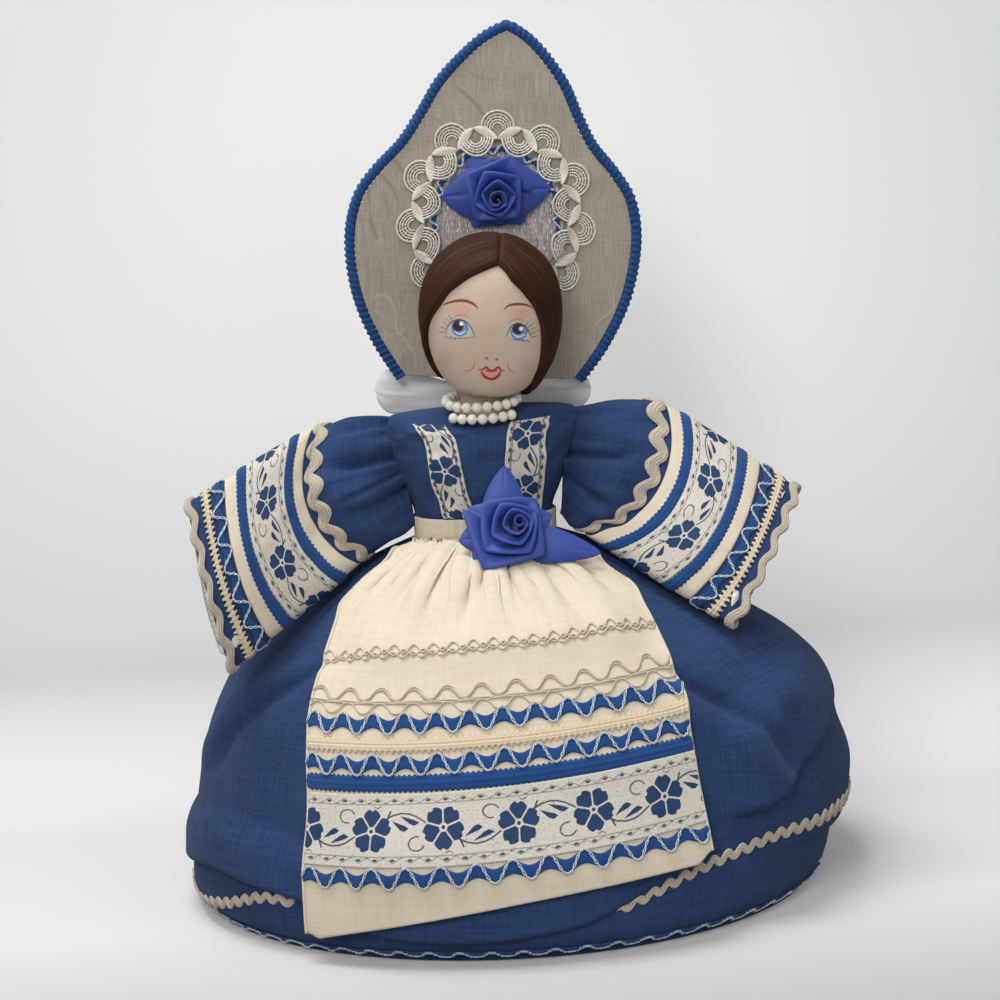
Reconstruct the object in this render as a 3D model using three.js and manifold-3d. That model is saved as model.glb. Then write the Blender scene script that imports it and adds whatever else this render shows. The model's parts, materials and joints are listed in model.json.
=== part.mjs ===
// Tea cozy doll: a padded bell skirt that stands over a teapot, with a stuffed body, two
// stuffed arms that swing at the shoulder, a cloth head and a stiff pointed headdress.
// Millimetres, +Z up, origin on the table under the middle of the hem. The front faces -Y.
// Left and right in the names are the doll's own, so her right arm is on the -X side.

import * as THREE from 'three';
import Module from 'manifold-3d';

const wasm = await Module();
wasm.setup();

const { PI, sin, cos, abs, sqrt, min, max, asin, floor } = Math;
const { lerp, clamp, smoothstep, degToRad, radToDeg } = THREE.MathUtils;

// Clearances
const seat = 0.3;
const bendGap = 0.8;
const curveGap = 0.8;
const waveGap = 0.5;

// Cloth, padding and trims
const linen = 1.2;
const liningCloth = 1.0;
const padding = 14;
const apronCloth = 0.8;
const ribbonThickness = 0.6;
const braidThickness = 0.9;
const gimpThickness = 1.3;
const rickrackThickness = 1.1;

// Skirt: each row of the bell is its height, then half-widths to her right and left, then half-depth
const hemThickness = 3;
const skirtFoot = hemThickness + seat;
const skirtRows = [
  [skirtFoot, 148, 142, 117],
  [13, 155.5, 149.5, 122],
  [48, 149.5, 155, 118],
  [75, 141.5, 150.5, 111],
  [96, 133.5, 142.5, 102],
  [113, 123, 130, 92],
  [128, 103, 108, 77],
  [140, 84, 88, 63],
  [150, 66, 68, 49.5],
  [158, 48.5, 48.5, 37],
];
const skirtTop = 164;
const skirtHeights = [
  skirtFoot, 9.5, 13, 17, 22, 28, 34, 41, 48, 57, 66, 75, 86, 96, 105, 113, 121, 128, 140, 150, 158,
  skirtTop,
];
const skirtColumns = 64;
const paddingRows = [0, 1, 2, 4, 5, 6, 8, 10];
const paddingColumns = 20;
const foldCount = 10;
const foldDepth = 4;
const foldTwist = 0.018;
const foldStart = [1.9, 2.4];
const foldFoot = [10, 40];
const foldHead = [90, 122];

// Overhanging folds: the cloth stands out above a line of angle in degrees, height and depth
const overhangRise = 6;
const overhangs = [
  {
    reach: 28,
    line: [[-165, 34, 0], [-120, 29, 4], [-84, 23, 5], [-63, 25, 6], [-48, 23.5, 5], [-38, 20, 0]],
  },
  {
    reach: 50,
    line: [[32, 44, 0], [39, 51, 5], [46, 55, 6], [55, 65, 6], [70, 76, 4], [90, 82, 0]],
  },
  {
    reach: 45,
    line: [[45, 26, 0], [60, 28, 3.5], [90, 28, 3.5], [120, 28, 4], [165, 26, 0]],
  },
];
const skirtTuck = 0.84;
const skirtLean = -7.5;
const leanStart = 100;

// Skirt trims: the wavy braid's heights are given every 15 degrees, from her back round by her right
const skirtRickrackLine = [
  30, 28.5, 26.5, 24, 21.5, 18.5, 15.5, 13.5, 14, 17.5, 16, 15, 15.5,
  20, 31, 35.5, 37.5, 38.5, 39, 38.5, 38.5, 38, 37, 33.5, 30,
];
const skirtRickrackGap = 0.65;
const skirtRickrackWidth = 2.6;
const skirtRickrackWave = 2.2;
const hemBraidLow = 3.9;
const hemBraidHigh = 8.6;

// Apron: lines give their heights at her right edge, in the middle and at her left edge
const apronTopHeight = 162.4;
const apronUpperLines = [[156.5, 156.5, 156.5], [148, 148, 148.5], [139, 139, 142], [131, 132, 137.5]];
const laceLine = [123.5, 124.5, 130.5];
const trimsTopLine = [113.5, 113, 122.5];
const apronHemLine = [10.4, 22.8, 38.9];
const zigzagLaceDrop = 10.5;
const zigzagBraidDrop = 8.6;
const creamBraidDrop = 6.4;
const blueBraidDrop = 8.2;
const jacquardDrop = 30;
const trimGap = 0.5;
const apronColumns = 14;
const apronEdges = [
  [8, -90.4, 78.4],
  [38, -90.7, 78],
  [63, -89.5, 77],
  [86, -88.8, 75],
  [102, -87.2, 73.5],
  [118, -83, 68.2],
  [134, -76, 60.5],
  [143, -70.5, 54.5],
  [152, -59, 42.5],
  [163, -39.5, 24.5],
];
const apronLift = 0.7;
const apronLiftAtHem = 2.8;
const apronFoldCount = 4;
const apronFoldDepth = 1.4;
const gatherFoot = [110, 148];
const gatherHead = [156, 162];
const hemLiftEnds = [50, 75];
const scallopWave = 1.5;
const zigzagWave = 2.6;
const laceStrand = 1.5;
const waistbandHeight = 10.8;
const waistbandThickness = 1.2;

// Body: height, middle in x and y, half-width and half-depth of each ring of the stuffing
const waistHalfWidth = 30;
const waistHalfDepth = 21.4;
const bodyRings = [
  [176, -7.5, 0, 30.5, 22.3],
  [190, -7.1, 0, 35, 24.3],
  [204, -6.7, 0, 40, 25],
  [213, -6.4, 0, 43, 23.5],
  [218, -6.2, -0.4, 42.5, 20],
  [221.3, -6, -1, 38, 14.5],
  [222.6, -5.6, -2.5, 14, 11.5],
];
const bodyColumns = 20;
const neckRings = [
  [224, -5.4, -3.5, 10.5, 9.5],
  [235.5, -5, -4.5, 10.5, 9.5],
];
const neckDip = 4.5;
const waistbandFoot = skirtTop + 2 * seat;

// Bodice straps, given as front-view distances of their two edges from the middle of the body
const strapRows = [1, 1.5, 2, 3, 4, 4.6, 5.3];
const rightStrapEdges = [[-18, -3.5], [-34.5, -13.5]];
const leftStrapEdges = [[7.5, 25.5], [12.2, 32]];

// Head and hair
const lean = degToRad(4.5);
const chin = new THREE.Vector3(-2.2, -12.5, 228.8);
const headProfile = [
  [0, 0], [9, 1.2], [17, 5], [23, 12], [27, 21], [29.3, 32],
  [29.5, 42], [27.5, 53], [22.5, 62], [13.5, 69.2], [5, 72], [0, 72.4],
];
const headDepthRatio = 0.8;
const headRows = [1.2, 5, 12, 21, 32, 42, 50, 56, 62, 67, 70.6];
const headColumns = 20;
const hairThickness = 1.9;
const hairGap = 1;
const hairlines = [80, 71, 62, 54, 42, 28, 3, 3.5, 7];
const hairColumns = 20;

// Necklaces
const beadDiameter = 4.7;
const beadPitch = 4.8;
const threadDiameter = 1.2;
const beadSides = 6;
const neckMiddle = new THREE.Vector3(-5.6, -5, 0);
const upperStrandHeight = 225.9;
const upperStrandRise = 3.2;
const upperStrandFront = 18;
const upperStrandBack = 13.4;
const lowerStrandHeight = 220.7;
const lowerStrandRise = 2.2;
const lowerStrandRadius = 19.6;
const lowerStrandBeads = 7;

// Headdress, in its own upright plane: half-widths and heights of the board above its foot
const boardFoot = new THREE.Vector3(-1.2, 0, 234.9);
const boardHalfOutline = [
  [39.5, 1], [51.5, 19], [60.5, 40], [64, 64], [61, 82], [53, 94.5],
  [42, 107], [34.5, 119.5], [27, 134], [17.5, 146], [8.5, 154.5], [0, 159.5],
];
const peakShift = 5;
const boardThickness = 3;
const edgingDiameter = 5.2;
const edgingSides = 6;
const archMiddle = new THREE.Vector2(1.5, 78);
const laceOuterRadius = 44.5;
const laceInnerRadius = 31.2;
const laceLegSpread = 7;
const laceScallop = 1.3;
const laceMedallions = 17;
const archReach = degToRad(139);
const panelRadius = 30.4;
const panelFoot = 48;
const braidRingWidth = 4.6;
const braidReach = degToRad(118);
const roseRadius = 17;
const roseDepth = 12;
const rosePetals = 5;
const roseTurns = 3;
const roseRimDrop = 0.75;
const petalStep = 0.28;
const petalBulge = 0.07;
const roseBackShare = 0.92;
const roseColumns = 20;
const roseRings = 7;
const headRoseAt = new THREE.Vector2(1.6, 86.6);
const roseBaseHalfWidth = 25.5;
const roseBaseHalfHeight = 15;

// Bow behind the neck
const bowKnotAt = new THREE.Vector3(-5, 21.6, 224.8);
const bowKnotRadius = 4.6;
const bowThickness = 5;
const rightLoop = { length: 45, height: 17, rise: 3 };
const leftLoop = { length: 47, height: 12, rise: -1 };

// Rose at the waist
const waistRoseAt = [2.3, 172];
const waistRoseTuck = 2.1;
const waistRoseTilt = degToRad(21);
const waistRoseRadius = 19;
const waistRoseDepth = 13;
const topLeaf = { length: 22.5, halfWidth: 10, turn: degToRad(4), root: [-1, 8] };
const sideLeaf = { length: 32, halfWidth: 9, turn: degToRad(-103), root: [10, -5] };
const leafThickness = 1.2;
const leafRidge = 1.6;

// Arms: the puff ends on a round face about the shoulder hinge, and the sleeve turns on it
const puffRadius = 44;
const faceSides = 64;
const faceTrim = 2;
const armColumns = 16;
const sectionFullness = 0.3;
const sleeveHalfThickness = [15, 17.5, 16, 11.5];
const puffHalfThickness = [12, 17, 15];
const armholeTop = [39, 221];
const armholeFoot = [31, 171.5];
const cuffRecess = 3;
const creamEdge = 6.6;
const sleeveBlueBraid = 5.8;
const sleeveJacquard = 20.5;
const sleeveZigzag = 9;
const sleevePicot = 5.4;
const shoulderStrip = 13 + faceTrim;
const sleeveRickrackWidth = 2.4;
const sleeveRickrackWave = 2;
const cuffStrip = sleeveRickrackWidth + 2 * sleeveRickrackWave + trimGap;
const shoulderRickrackAt = 5 + faceTrim;
const creamBandStart = shoulderStrip;
const creamBandWidth = 2 * creamEdge + 2 * sleeveBlueBraid + sleeveJacquard;
const zigzagStart = creamBandStart + creamBandWidth + trimGap;
const picotStart = zigzagStart + sleeveZigzag + trimGap;
const sleeveLength = picotStart + sleevePicot + cuffStrip;
const rightArm = {
  name: 'right',
  side: -1,
  hinge: new THREE.Vector3(42.3, 0, 198.9),
  faceMiddle: degToRad(-16.7),
  faceHalf: degToRad(47.5),
  startDepth: [0, -12],
  reach: new THREE.Vector3(-56, -42, -31),
  cuffHalf: new THREE.Vector3(-7.9, 8, 36.6),
};
const leftArm = {
  name: 'left',
  side: 1,
  hinge: new THREE.Vector3(32.5, 0, 210.9),
  faceMiddle: degToRad(-37.2),
  faceHalf: degToRad(53),
  startDepth: [0, -13],
  reach: new THREE.Vector3(65, -27, -43),
  cuffHalf: new THREE.Vector3(18.4, 19, 27.2),
};

// Colours
const navy = { color: 0x25406f, roughness: 0.85, metalness: 0 };
const cream = { color: 0xe9e1cf, roughness: 0.9, metalness: 0 };
const white = { color: 0xeceae4, roughness: 0.8, metalness: 0 };
const cobalt = { color: 0x1558a8, roughness: 0.8, metalness: 0 };
const satinBlue = { color: 0x2a3fae, roughness: 0.4, metalness: 0 };
const silver = { color: 0xb9b8b6, roughness: 0.4, metalness: 0.5 };
const brocade = { color: 0xb7aea4, roughness: 0.6, metalness: 0.1 };
const skin = { color: 0xe6d9cb, roughness: 0.8, metalness: 0 };
const brown = { color: 0x3a241a, roughness: 0.5, metalness: 0 };
const pearl = { color: 0xe8e4dc, roughness: 0.35, metalness: 0 };
const batting = { color: 0xf2f0ea, roughness: 1, metalness: 0 };

/** Points and triangles of one closed body. */
class Body {
  constructor() {
    this.positions = [];
    this.indices = [];
  }

  point(vector) {
    this.positions.push(vector.x, vector.y, vector.z);
    return this.positions.length / 3 - 1;
  }

  grid(rowCount, columnCount, pointAt) {
    const rows = Array.from({ length: rowCount }, (_, k) => k);
    const columns = Array.from({ length: columnCount }, (_, i) => i);
    return rows.map((k) => columns.map((i) => this.point(pointAt(k, i))));
  }

  quad(a, b, c, d) {
    this.indices.push(a, b, c, a, c, d);
  }

  /** Quads of a grid: outward when its rows climb and its columns run to the right. */
  skin(grid, closed, outward) {
    for (let k = 0; k + 1 < grid.length; k += 1) {
      const count = closed ? grid[k].length : grid[k].length - 1;
      for (let i = 0; i < count; i += 1) {
        const next = (i + 1) % grid[k].length;
        if (outward) {
          this.quad(grid[k][i], grid[k][next], grid[k + 1][next], grid[k + 1][i]);
        } else {
          this.quad(grid[k][i], grid[k + 1][i], grid[k + 1][next], grid[k][next]);
        }
      }
    }
  }

  /** Wall between two lines of points, facing away from the side where the rows climb. */
  wall(inner, outer, closed) {
    const count = closed ? inner.length : inner.length - 1;
    for (let i = 0; i < count; i += 1) {
      const next = (i + 1) % inner.length;
      this.quad(inner[i], inner[next], outer[next], outer[i]);
    }
  }

  /** Triangles from a ring to one point. */
  fan(ring, centre, flipped) {
    for (let i = 0; i < ring.length; i += 1) {
      const next = (i + 1) % ring.length;
      if (flipped) {
        this.indices.push(ring[next], ring[i], centre);
      } else {
        this.indices.push(ring[i], ring[next], centre);
      }
    }
  }

  /** Middle of a ring of points already in the body, as a new point. */
  middle(ring) {
    const sum = new THREE.Vector3();
    ring.forEach((index) => sum.add(new THREE.Vector3().fromArray(this.positions, 3 * index)));
    return this.point(sum.divideScalar(ring.length));
  }

  /** Straight strips across a ring whose points i and n - i face each other. */
  strips(ring, flipped) {
    const count = ring.length;
    for (let i = 0; i < count / 2; i += 1) {
      const corners = [ring[i], ring[i + 1], ring[(count - i - 1) % count], ring[(count - i) % count]];
      const order = [...new Set(flipped ? corners.reverse() : corners)];
      this.indices.push(order[0], order[1], order[2]);
      if (order.length === 4) this.indices.push(order[0], order[2], order[3]);
    }
  }

  geometry() {
    const geometry = new THREE.BufferGeometry();
    geometry.setAttribute('position', new THREE.Float32BufferAttribute(this.positions, 3));
    geometry.setIndex(this.indices);
    return geometry;
  }
}

/** Cloth between an outer and an inner skin. A closed one runs all the way round. */
function shell(rowCount, columnCount, outerAt, innerAt, { closed = false, domed = false } = {}) {
  const body = new Body();
  const outer = body.grid(rowCount, columnCount, outerAt);
  const inner = body.grid(rowCount, columnCount, innerAt);
  const last = rowCount - 1;
  body.skin(outer, closed, true);
  body.skin(inner, closed, false);
  body.wall(inner[0], outer[0], closed);
  if (domed) {
    body.fan(outer[last], body.middle(outer[last]), false);
    body.fan(inner[last], body.middle(inner[last]), true);
  } else {
    body.wall(outer[last], inner[last], closed);
  }
  if (!closed) {
    const side = (grid, i) => grid.map((row) => row[i]);
    body.wall(side(outer, 0), side(inner, 0), false);
    body.wall(side(inner, columnCount - 1), side(outer, columnCount - 1), false);
  }
  return body.geometry();
}

/** A surface held as a grid of points, which other pieces are laid on. */
class Sheet {
  constructor(rowCount, columnCount, closed, pointAt) {
    this.closed = closed;
    this.rows = rowCount;
    this.columns = columnCount;
    this.points = Array.from({ length: rowCount }, (_, k) => (
      Array.from({ length: columnCount }, (__, i) => pointAt(k, i))
    ));
    this.normals = this.points.map((row, k) => row.map((_, i) => this.normalAt(k, i)));
  }

  point(k, i) {
    const column = this.closed ? (i + this.columns) % this.columns : clamp(i, 0, this.columns - 1);
    return this.points[clamp(k, 0, this.rows - 1)][column];
  }

  normalAt(k, i) {
    const across = this.point(k, i + 1).clone().sub(this.point(k, i - 1));
    const along = this.point(k + 1, i).clone().sub(this.point(k - 1, i));
    return across.cross(along).normalize();
  }

  /** Point on the faceted surface at a fractional row and column, raised by lift. */
  at(row, column, lift) {
    const wrapped = this.closed ? (column + this.columns) % this.columns : column;
    const k = clamp(floor(row), 0, this.rows - 2);
    const i = clamp(floor(wrapped), 0, this.closed ? this.columns - 1 : this.columns - 2);
    const next = (i + 1) % this.columns;
    const raised = (r, c) => this.points[r][c].clone().addScaledVector(this.normals[r][c], lift);
    const across = wrapped - i;
    const along = row - k;
    const corner = raised(k, i);
    const far = raised(k + 1, next);
    const side = across >= along ? raised(k, next) : raised(k + 1, i);
    const [toSide, toFar] = across >= along ? [across, along] : [along, across];
    const first = side.clone().sub(corner).multiplyScalar(toSide);
    return corner.add(first).addScaledVector(far.sub(side), toFar);
  }

  /** Flat piece laid on the sheet, where place gives the row and column of its points. */
  lay(rowCount, columnCount, place, lift, thickness, closed = this.closed) {
    return shell(
      rowCount,
      columnCount,
      (k, i) => this.at(...place(k, i), lift + thickness),
      (k, i) => this.at(...place(k, i), lift),
      { closed },
    );
  }
}

/** Smooth value between the entries of a list, at a fractional index. */
function between(values, index) {
  const last = values.length - 1;
  const i = clamp(floor(index), 0, last - 1);
  const t = clamp(index - i, 0, 1);
  const [a, b, c, d] = [values[max(i - 1, 0)], values[i], values[i + 1], values[min(i + 2, last)]];
  const cubic = (3 * (b - c) + d - a) * t ** 3 + (2 * a - 5 * b + 4 * c - d) * t * t + (c - a) * t;
  return b + cubic / 2;
}

/** Index at which a rising list of values reaches a target. */
function indexOf(values, target) {
  let low = 0;
  let high = values.length - 1;
  for (let step = 0; step < 30; step += 1) {
    const middle = (low + high) / 2;
    if (between(values, middle) < target) low = middle;
    else high = middle;
  }
  return (low + high) / 2;
}

/** Value of a table of [position, value...] rows at a position, by straight lines. */
function readTable(table, position, column) {
  const i = clamp(table.findIndex((row) => row[0] > position) - 1, 0, table.length - 2);
  const k = position >= table[table.length - 1][0] ? table.length - 2 : i;
  const share = (position - table[k][0]) / (table[k + 1][0] - table[k][0]);
  return lerp(table[k][column], table[k + 1][column], clamp(share, 0, 1));
}

/** Height at share u across, through values at the right edge, the middle and the left edge. */
function lineHeight([right, middle, left], u) {
  const bend = 2 * (right + left - 2 * middle);
  return right + (left - right - bend) * u + bend * u * u;
}

// Bell surface shared by the skirt, its padding and its lining
const waistEase = 2 * seat + linen + skirtTuck;
const waistRow = [
  skirtTop,
  waistHalfWidth + waistEase,
  waistHalfWidth + waistEase,
  waistHalfDepth + waistEase,
];
const bell = [...skirtRows, waistRow];
const bellColumn = (column) => bell.map((row) => row[column]);
const bellHeights = bellColumn(0);
const bellRight = bellColumn(1);
const bellLeft = bellColumn(2);
const bellDepth = bellColumn(3);

function bellCentre(height) {
  return skirtLean * smoothstep(height, leanStart, skirtTop);
}

function bellSlope(index) {
  const step = 0.05;
  const widthAt = (v) => (between(bellRight, v) + between(bellLeft, v)) / 2;
  const from = max(index - step, 0);
  const to = min(index + step, bell.length - 1);
  const rise = between(bellHeights, to) - between(bellHeights, from);
  const run = widthAt(to) - widthAt(from);
  const length = Math.hypot(rise, run);
  const upright = 1 - clamp(index, 0, 1);
  return { out: lerp(rise / length, 1, upright), up: lerp(-run / length, 0, upright) };
}

/** Point of the bell at an angle from the front, at a fractional row, moved out by lift. */
function bellPoint(angle, index, lift) {
  const height = between(bellHeights, index);
  const slope = bellSlope(index);
  const width = lerp(between(bellRight, index), between(bellLeft, index), (1 + sin(angle)) / 2);
  const depth = between(bellDepth, index);
  return new THREE.Vector3(
    bellCentre(height) + (width + lift * slope.out) * sin(angle),
    -(depth + lift * slope.out) * cos(angle),
    height + lift * slope.up,
  );
}

/** Angle at which a row of the bell reaches a given x on its front. */
function bellAngle(x, index) {
  const centre = bellCentre(between(bellHeights, index));
  let angle = 0;
  for (let step = 0; step < 12; step += 1) {
    const width = lerp(between(bellRight, index), between(bellLeft, index), (1 + sin(angle)) / 2);
    angle = asin(clamp((x - centre) / width, -1, 1));
  }
  return angle;
}

const columnAngle = (i, count) => (2 * PI * i) / count;

/** Depth of the skirt's folds: soft ones that run aslant behind her, and overhanging ones. */
function skirtFold(angle, height) {
  const around = Math.atan2(sin(angle), cos(angle));
  const drop = smoothstep(height, ...foldFoot) * (1 - smoothstep(height, ...foldHead));
  const wave = 0.5 + 0.5 * cos(foldCount * (angle + foldTwist * height));
  const behind = foldDepth * smoothstep(abs(around), ...foldStart) * drop * wave;
  const turn = radToDeg(around);
  return overhangs.reduce((sum, { reach, line }) => {
    const rise = height - readTable(line, turn, 1);
    const shape = smoothstep(rise, 0, overhangRise) * (1 - smoothstep(rise, reach / 2, reach));
    return sum + readTable(line, turn, 2) * shape;
  }, behind);
}

const skirtIndices = skirtHeights.map((height) => indexOf(bellHeights, height));

/** Point of the folded skirt at a row and column of its grid, moved out by lift. */
function skirtPoint(k, i, lift) {
  const angle = columnAngle(i, skirtColumns);
  return bellPoint(angle, skirtIndices[k], skirtFold(angle, skirtHeights[k]) + lift);
}

/** Row of the skirt's grid at a height, with its share of the way to the next row. */
function skirtRow(height) {
  const above = skirtHeights.findIndex((value) => value > height);
  const k = clamp(above - 1, 0, skirtHeights.length - 2);
  return k + (height - skirtHeights[k]) / (skirtHeights[k + 1] - skirtHeights[k]);
}

const skirtSheet = new Sheet(skirtHeights.length, skirtColumns, true, (k, i) => skirtPoint(k, i, 0));

function addPiece(name, geometry, material, parent = doll) {
  const mesh = new THREE.Mesh(geometry, new THREE.MeshStandardMaterial(material));
  mesh.name = name;
  parent.add(mesh);
  return mesh;
}

const doll = new THREE.Group();

/** Skirt cloth, its padding and lining, and the flat bound hem that stands on the table. */
function addSkirt() {
  const paddingLift = -linen - seat;
  const liningLift = paddingLift - padding - seat;
  const innerLift = liningLift - liningCloth;
  const layer = (outerLift, lowerLift) => shell(
    paddingRows.length,
    paddingColumns,
    (k, i) => bellPoint(columnAngle(i, paddingColumns), paddingRows[k], outerLift),
    (k, i) => bellPoint(columnAngle(i, paddingColumns), paddingRows[k], lowerLift),
    { closed: true, domed: true },
  );
  const cloth = shell(
    skirtHeights.length,
    skirtColumns,
    (k, i) => skirtPoint(k, i, 0),
    (k, i) => skirtPoint(k, i, -linen),
    { closed: true },
  );
  const hemPoint = (angle, lift, height) => bellPoint(angle, 0, lift).setZ(height);
  const hem = shell(
    2,
    skirtColumns,
    (k, i) => hemPoint(columnAngle(i, skirtColumns), 0, k * hemThickness),
    (k, i) => hemPoint(columnAngle(i, skirtColumns), innerLift, k * hemThickness),
    { closed: true },
  );
  addPiece('hem_binding', hem, navy);
  addPiece('skirt_lining', layer(liningLift, innerLift), white);
  addPiece('skirt_padding', layer(paddingLift, paddingLift - padding), batting);
  addPiece('skirt', cloth, navy);
}

/** Wavy braid round the skirt and the flat braid along its hem. */
function addSkirtTrims() {
  const waves = 2 * skirtColumns;
  const rickrack = (k, i) => {
    const fromBack = (i / waves + 0.5) % 1;
    const middle = between(skirtRickrackLine, fromBack * (skirtRickrackLine.length - 1));
    const wave = i % 2 === 0 ? skirtRickrackWave : -skirtRickrackWave;
    const edge = (k - 0.5) * skirtRickrackWidth;
    return [skirtRow(middle + wave + edge), i / 2];
  };
  const braid = (k, i) => [skirtRow(k === 0 ? hemBraidLow : hemBraidHigh), i];
  const wavy = skirtSheet.lay(2, waves, rickrack, skirtRickrackGap, rickrackThickness);
  addPiece('skirt_rickrack', wavy, silver);
  addPiece('hem_braid', skirtSheet.lay(2, skirtColumns, braid, seat, braidThickness), cobalt);
}

// Lines of the apron from the hem up
const shift = (line, drop) => line.map((height) => height - drop);
const zigzagOneTop = shift(trimsTopLine, zigzagLaceDrop);
const creamTop = shift(zigzagOneTop, zigzagBraidDrop);
const zigzagTwoTop = shift(creamTop, creamBraidDrop);
const blueTop = shift(zigzagTwoTop, zigzagBraidDrop);
const jacquardTop = shift(blueTop, blueBraidDrop);
const zigzagThreeTop = shift(jacquardTop, jacquardDrop);
const zigzagThreeFoot = shift(zigzagThreeTop, zigzagBraidDrop);
const apronTopLine = [apronTopHeight, apronTopHeight, apronTopHeight];
const apronLines = [
  apronHemLine,
  zigzagThreeFoot,
  zigzagThreeTop,
  shift(jacquardTop, jacquardDrop / 2),
  jacquardTop,
  blueTop,
  zigzagTwoTop,
  creamTop,
  zigzagOneTop,
  trimsTopLine,
  laceLine,
  ...[...apronUpperLines].reverse(),
  apronTopLine,
];
const apronRow = (line) => apronLines.indexOf(line);

/** Point of the apron's face at a line and a share of its width, gathered under the band. */
function apronPoint(k, i) {
  const u = i / (apronColumns - 1);
  const height = lineHeight(apronLines[k], u);
  const x = lerp(readTable(apronEdges, height, 1), readTable(apronEdges, height, 2), u);
  const index = indexOf(bellHeights, height);
  const hemLift = (apronLiftAtHem - apronLift) * (1 - smoothstep(height, ...hemLiftEnds));
  const gathered = smoothstep(height, ...gatherFoot) * (1 - smoothstep(height, ...gatherHead));
  const fold = apronFoldDepth * gathered * (0.5 - 0.5 * cos(2 * PI * apronFoldCount * u));
  return bellPoint(bellAngle(x, index), index, apronLift + hemLift + apronCloth + fold);
}

/** Apron cloth, its waistband and the eight trims sewn across it. */
function addApron() {
  const sheet = new Sheet(apronLines.length, apronColumns, false, apronPoint);
  const last = apronColumns - 1;
  const whole = (k, i) => [k, i];
  addPiece('apron', sheet.lay(apronLines.length, apronColumns, whole, -apronCloth, apronCloth), cream);

  const strip = (name, top, foot, thickness, material) => {
    const rows = apronRow(top) - apronRow(foot) + 1;
    const place = (k, i) => {
      const edge = k === 0 ? trimGap / 2 : -trimGap / 2;
      const inset = k === 0 || k === rows - 1 ? edge : 0;
      const drop = lineHeight(top, 0.5) - lineHeight(foot, 0.5);
      return [apronRow(foot) + k + (inset * (rows - 1)) / drop, i];
    };
    addPiece(name, sheet.lay(rows, apronColumns, place, seat, thickness), material);
  };
  strip('apron_zigzag_braid_low', zigzagThreeTop, zigzagThreeFoot, braidThickness, cobalt);
  strip('apron_jacquard', jacquardTop, zigzagThreeTop, ribbonThickness, white);
  strip('apron_blue_braid', blueTop, jacquardTop, gimpThickness, cobalt);
  strip('apron_zigzag_braid_middle', zigzagTwoTop, blueTop, braidThickness, cobalt);
  strip('apron_cream_braid', creamTop, zigzagTwoTop, braidThickness, cream);
  strip('apron_zigzag_braid_high', zigzagOneTop, creamTop, braidThickness, cobalt);

  const points = 2 * last + 1;
  const wavy = (name, row, rowHeight, middle, wave) => {
    const place = (k, i) => {
      const swing = i % 2 === 0 ? wave : -wave;
      const height = middle + swing + (k - 0.5) * laceStrand;
      return [row + height / rowHeight, i / 2];
    };
    addPiece(name, sheet.lay(2, points, place, seat, braidThickness), cream);
  };
  wavy('apron_zigzag_lace', apronRow(zigzagOneTop), zigzagLaceDrop, zigzagLaceDrop / 2, zigzagWave);
  const laceRise = apronUpperLines[apronUpperLines.length - 1][1] - laceLine[1];
  wavy('apron_scallop_lace', apronRow(laceLine), laceRise, laceRise / 2, scallopWave);
}

const chestHeight = bodyRings[3][0];
const neckHeight = bodyRings[bodyRings.length - 1][0];

/** Sheet around the body, raised from the stuffing by lift. The neckline dips in front. */
function bodySheet(lift, rings) {
  return new Sheet(rings.length, bodyColumns, true, (k, i) => {
    const [height, x, y, halfWidth, halfDepth] = rings[k];
    const angle = columnAngle(i, bodyColumns);
    const rise = lift * smoothstep(height, chestHeight, neckHeight);
    const front = max(0, cos(angle)) ** 2 * (height > neckHeight ? 0 : 1);
    const dip = neckDip * smoothstep(height, chestHeight, neckHeight) * front;
    return new THREE.Vector3(
      x + (halfWidth + lift) * sin(angle),
      y - (halfDepth + lift) * cos(angle),
      height + rise - dip,
    );
  });
}

/** Closed solid of a closed sheet, with flat ends. */
function solidOf(sheet, lift = 0, footRow = 0, topRow = sheet.rows - 1, ends = 'fans') {
  const body = new Body();
  const rowNumbers = [];
  for (let row = footRow; row < topRow - 0.001; row = floor(row + 1.0001)) rowNumbers.push(row);
  rowNumbers.push(topRow);
  const grid = body.grid(rowNumbers.length, sheet.columns, (k, i) => sheet.at(rowNumbers[k], i, lift));
  const [foot, top] = [grid[0], grid[grid.length - 1]];
  body.skin(grid, true, true);
  if (ends === 'fans') {
    body.fan(foot, body.middle(foot), true);
    body.fan(top, body.middle(top), false);
  } else {
    body.strips(foot, true);
    body.strips(top, false);
  }
  return body.geometry();
}

const stuffingFoot = skirtTop - linen + 2 * seat;
const waistRing = [stuffingFoot, skirtLean, 0, waistHalfWidth, waistHalfDepth];
const coreRings = [waistRing, ...bodyRings];

function toManifold(geometry) {
  const vertProperties = new Float32Array(geometry.getAttribute('position').array);
  const triVerts = new Uint32Array(geometry.index.array);
  return new wasm.Manifold(new wasm.Mesh({ numProp: 3, vertProperties, triVerts }));
}

function fromManifold(solid) {
  const mesh = solid.getMesh();
  const geometry = new THREE.BufferGeometry();
  geometry.setAttribute('position', new THREE.Float32BufferAttribute(mesh.vertProperties, 3));
  geometry.setIndex(Array.from(mesh.triVerts));
  return geometry;
}

/** One solid less another. */
function cut(geometry, cutter) {
  return fromManifold(toManifold(geometry).subtract(toManifold(cutter)));
}

/** What two solids share. */
function common(geometry, other) {
  return fromManifold(toManifold(geometry).intersect(toManifold(other)));
}

// Head: rings of the egg, flattened front to back, and turned by the lean about the chin
const headFrame = new THREE.Matrix4().makeRotationY(lean).setPosition(chin);
const headHeights = headProfile.map((row) => row[1]);
const headRadii = headProfile.map((row) => row[0]);

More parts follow.
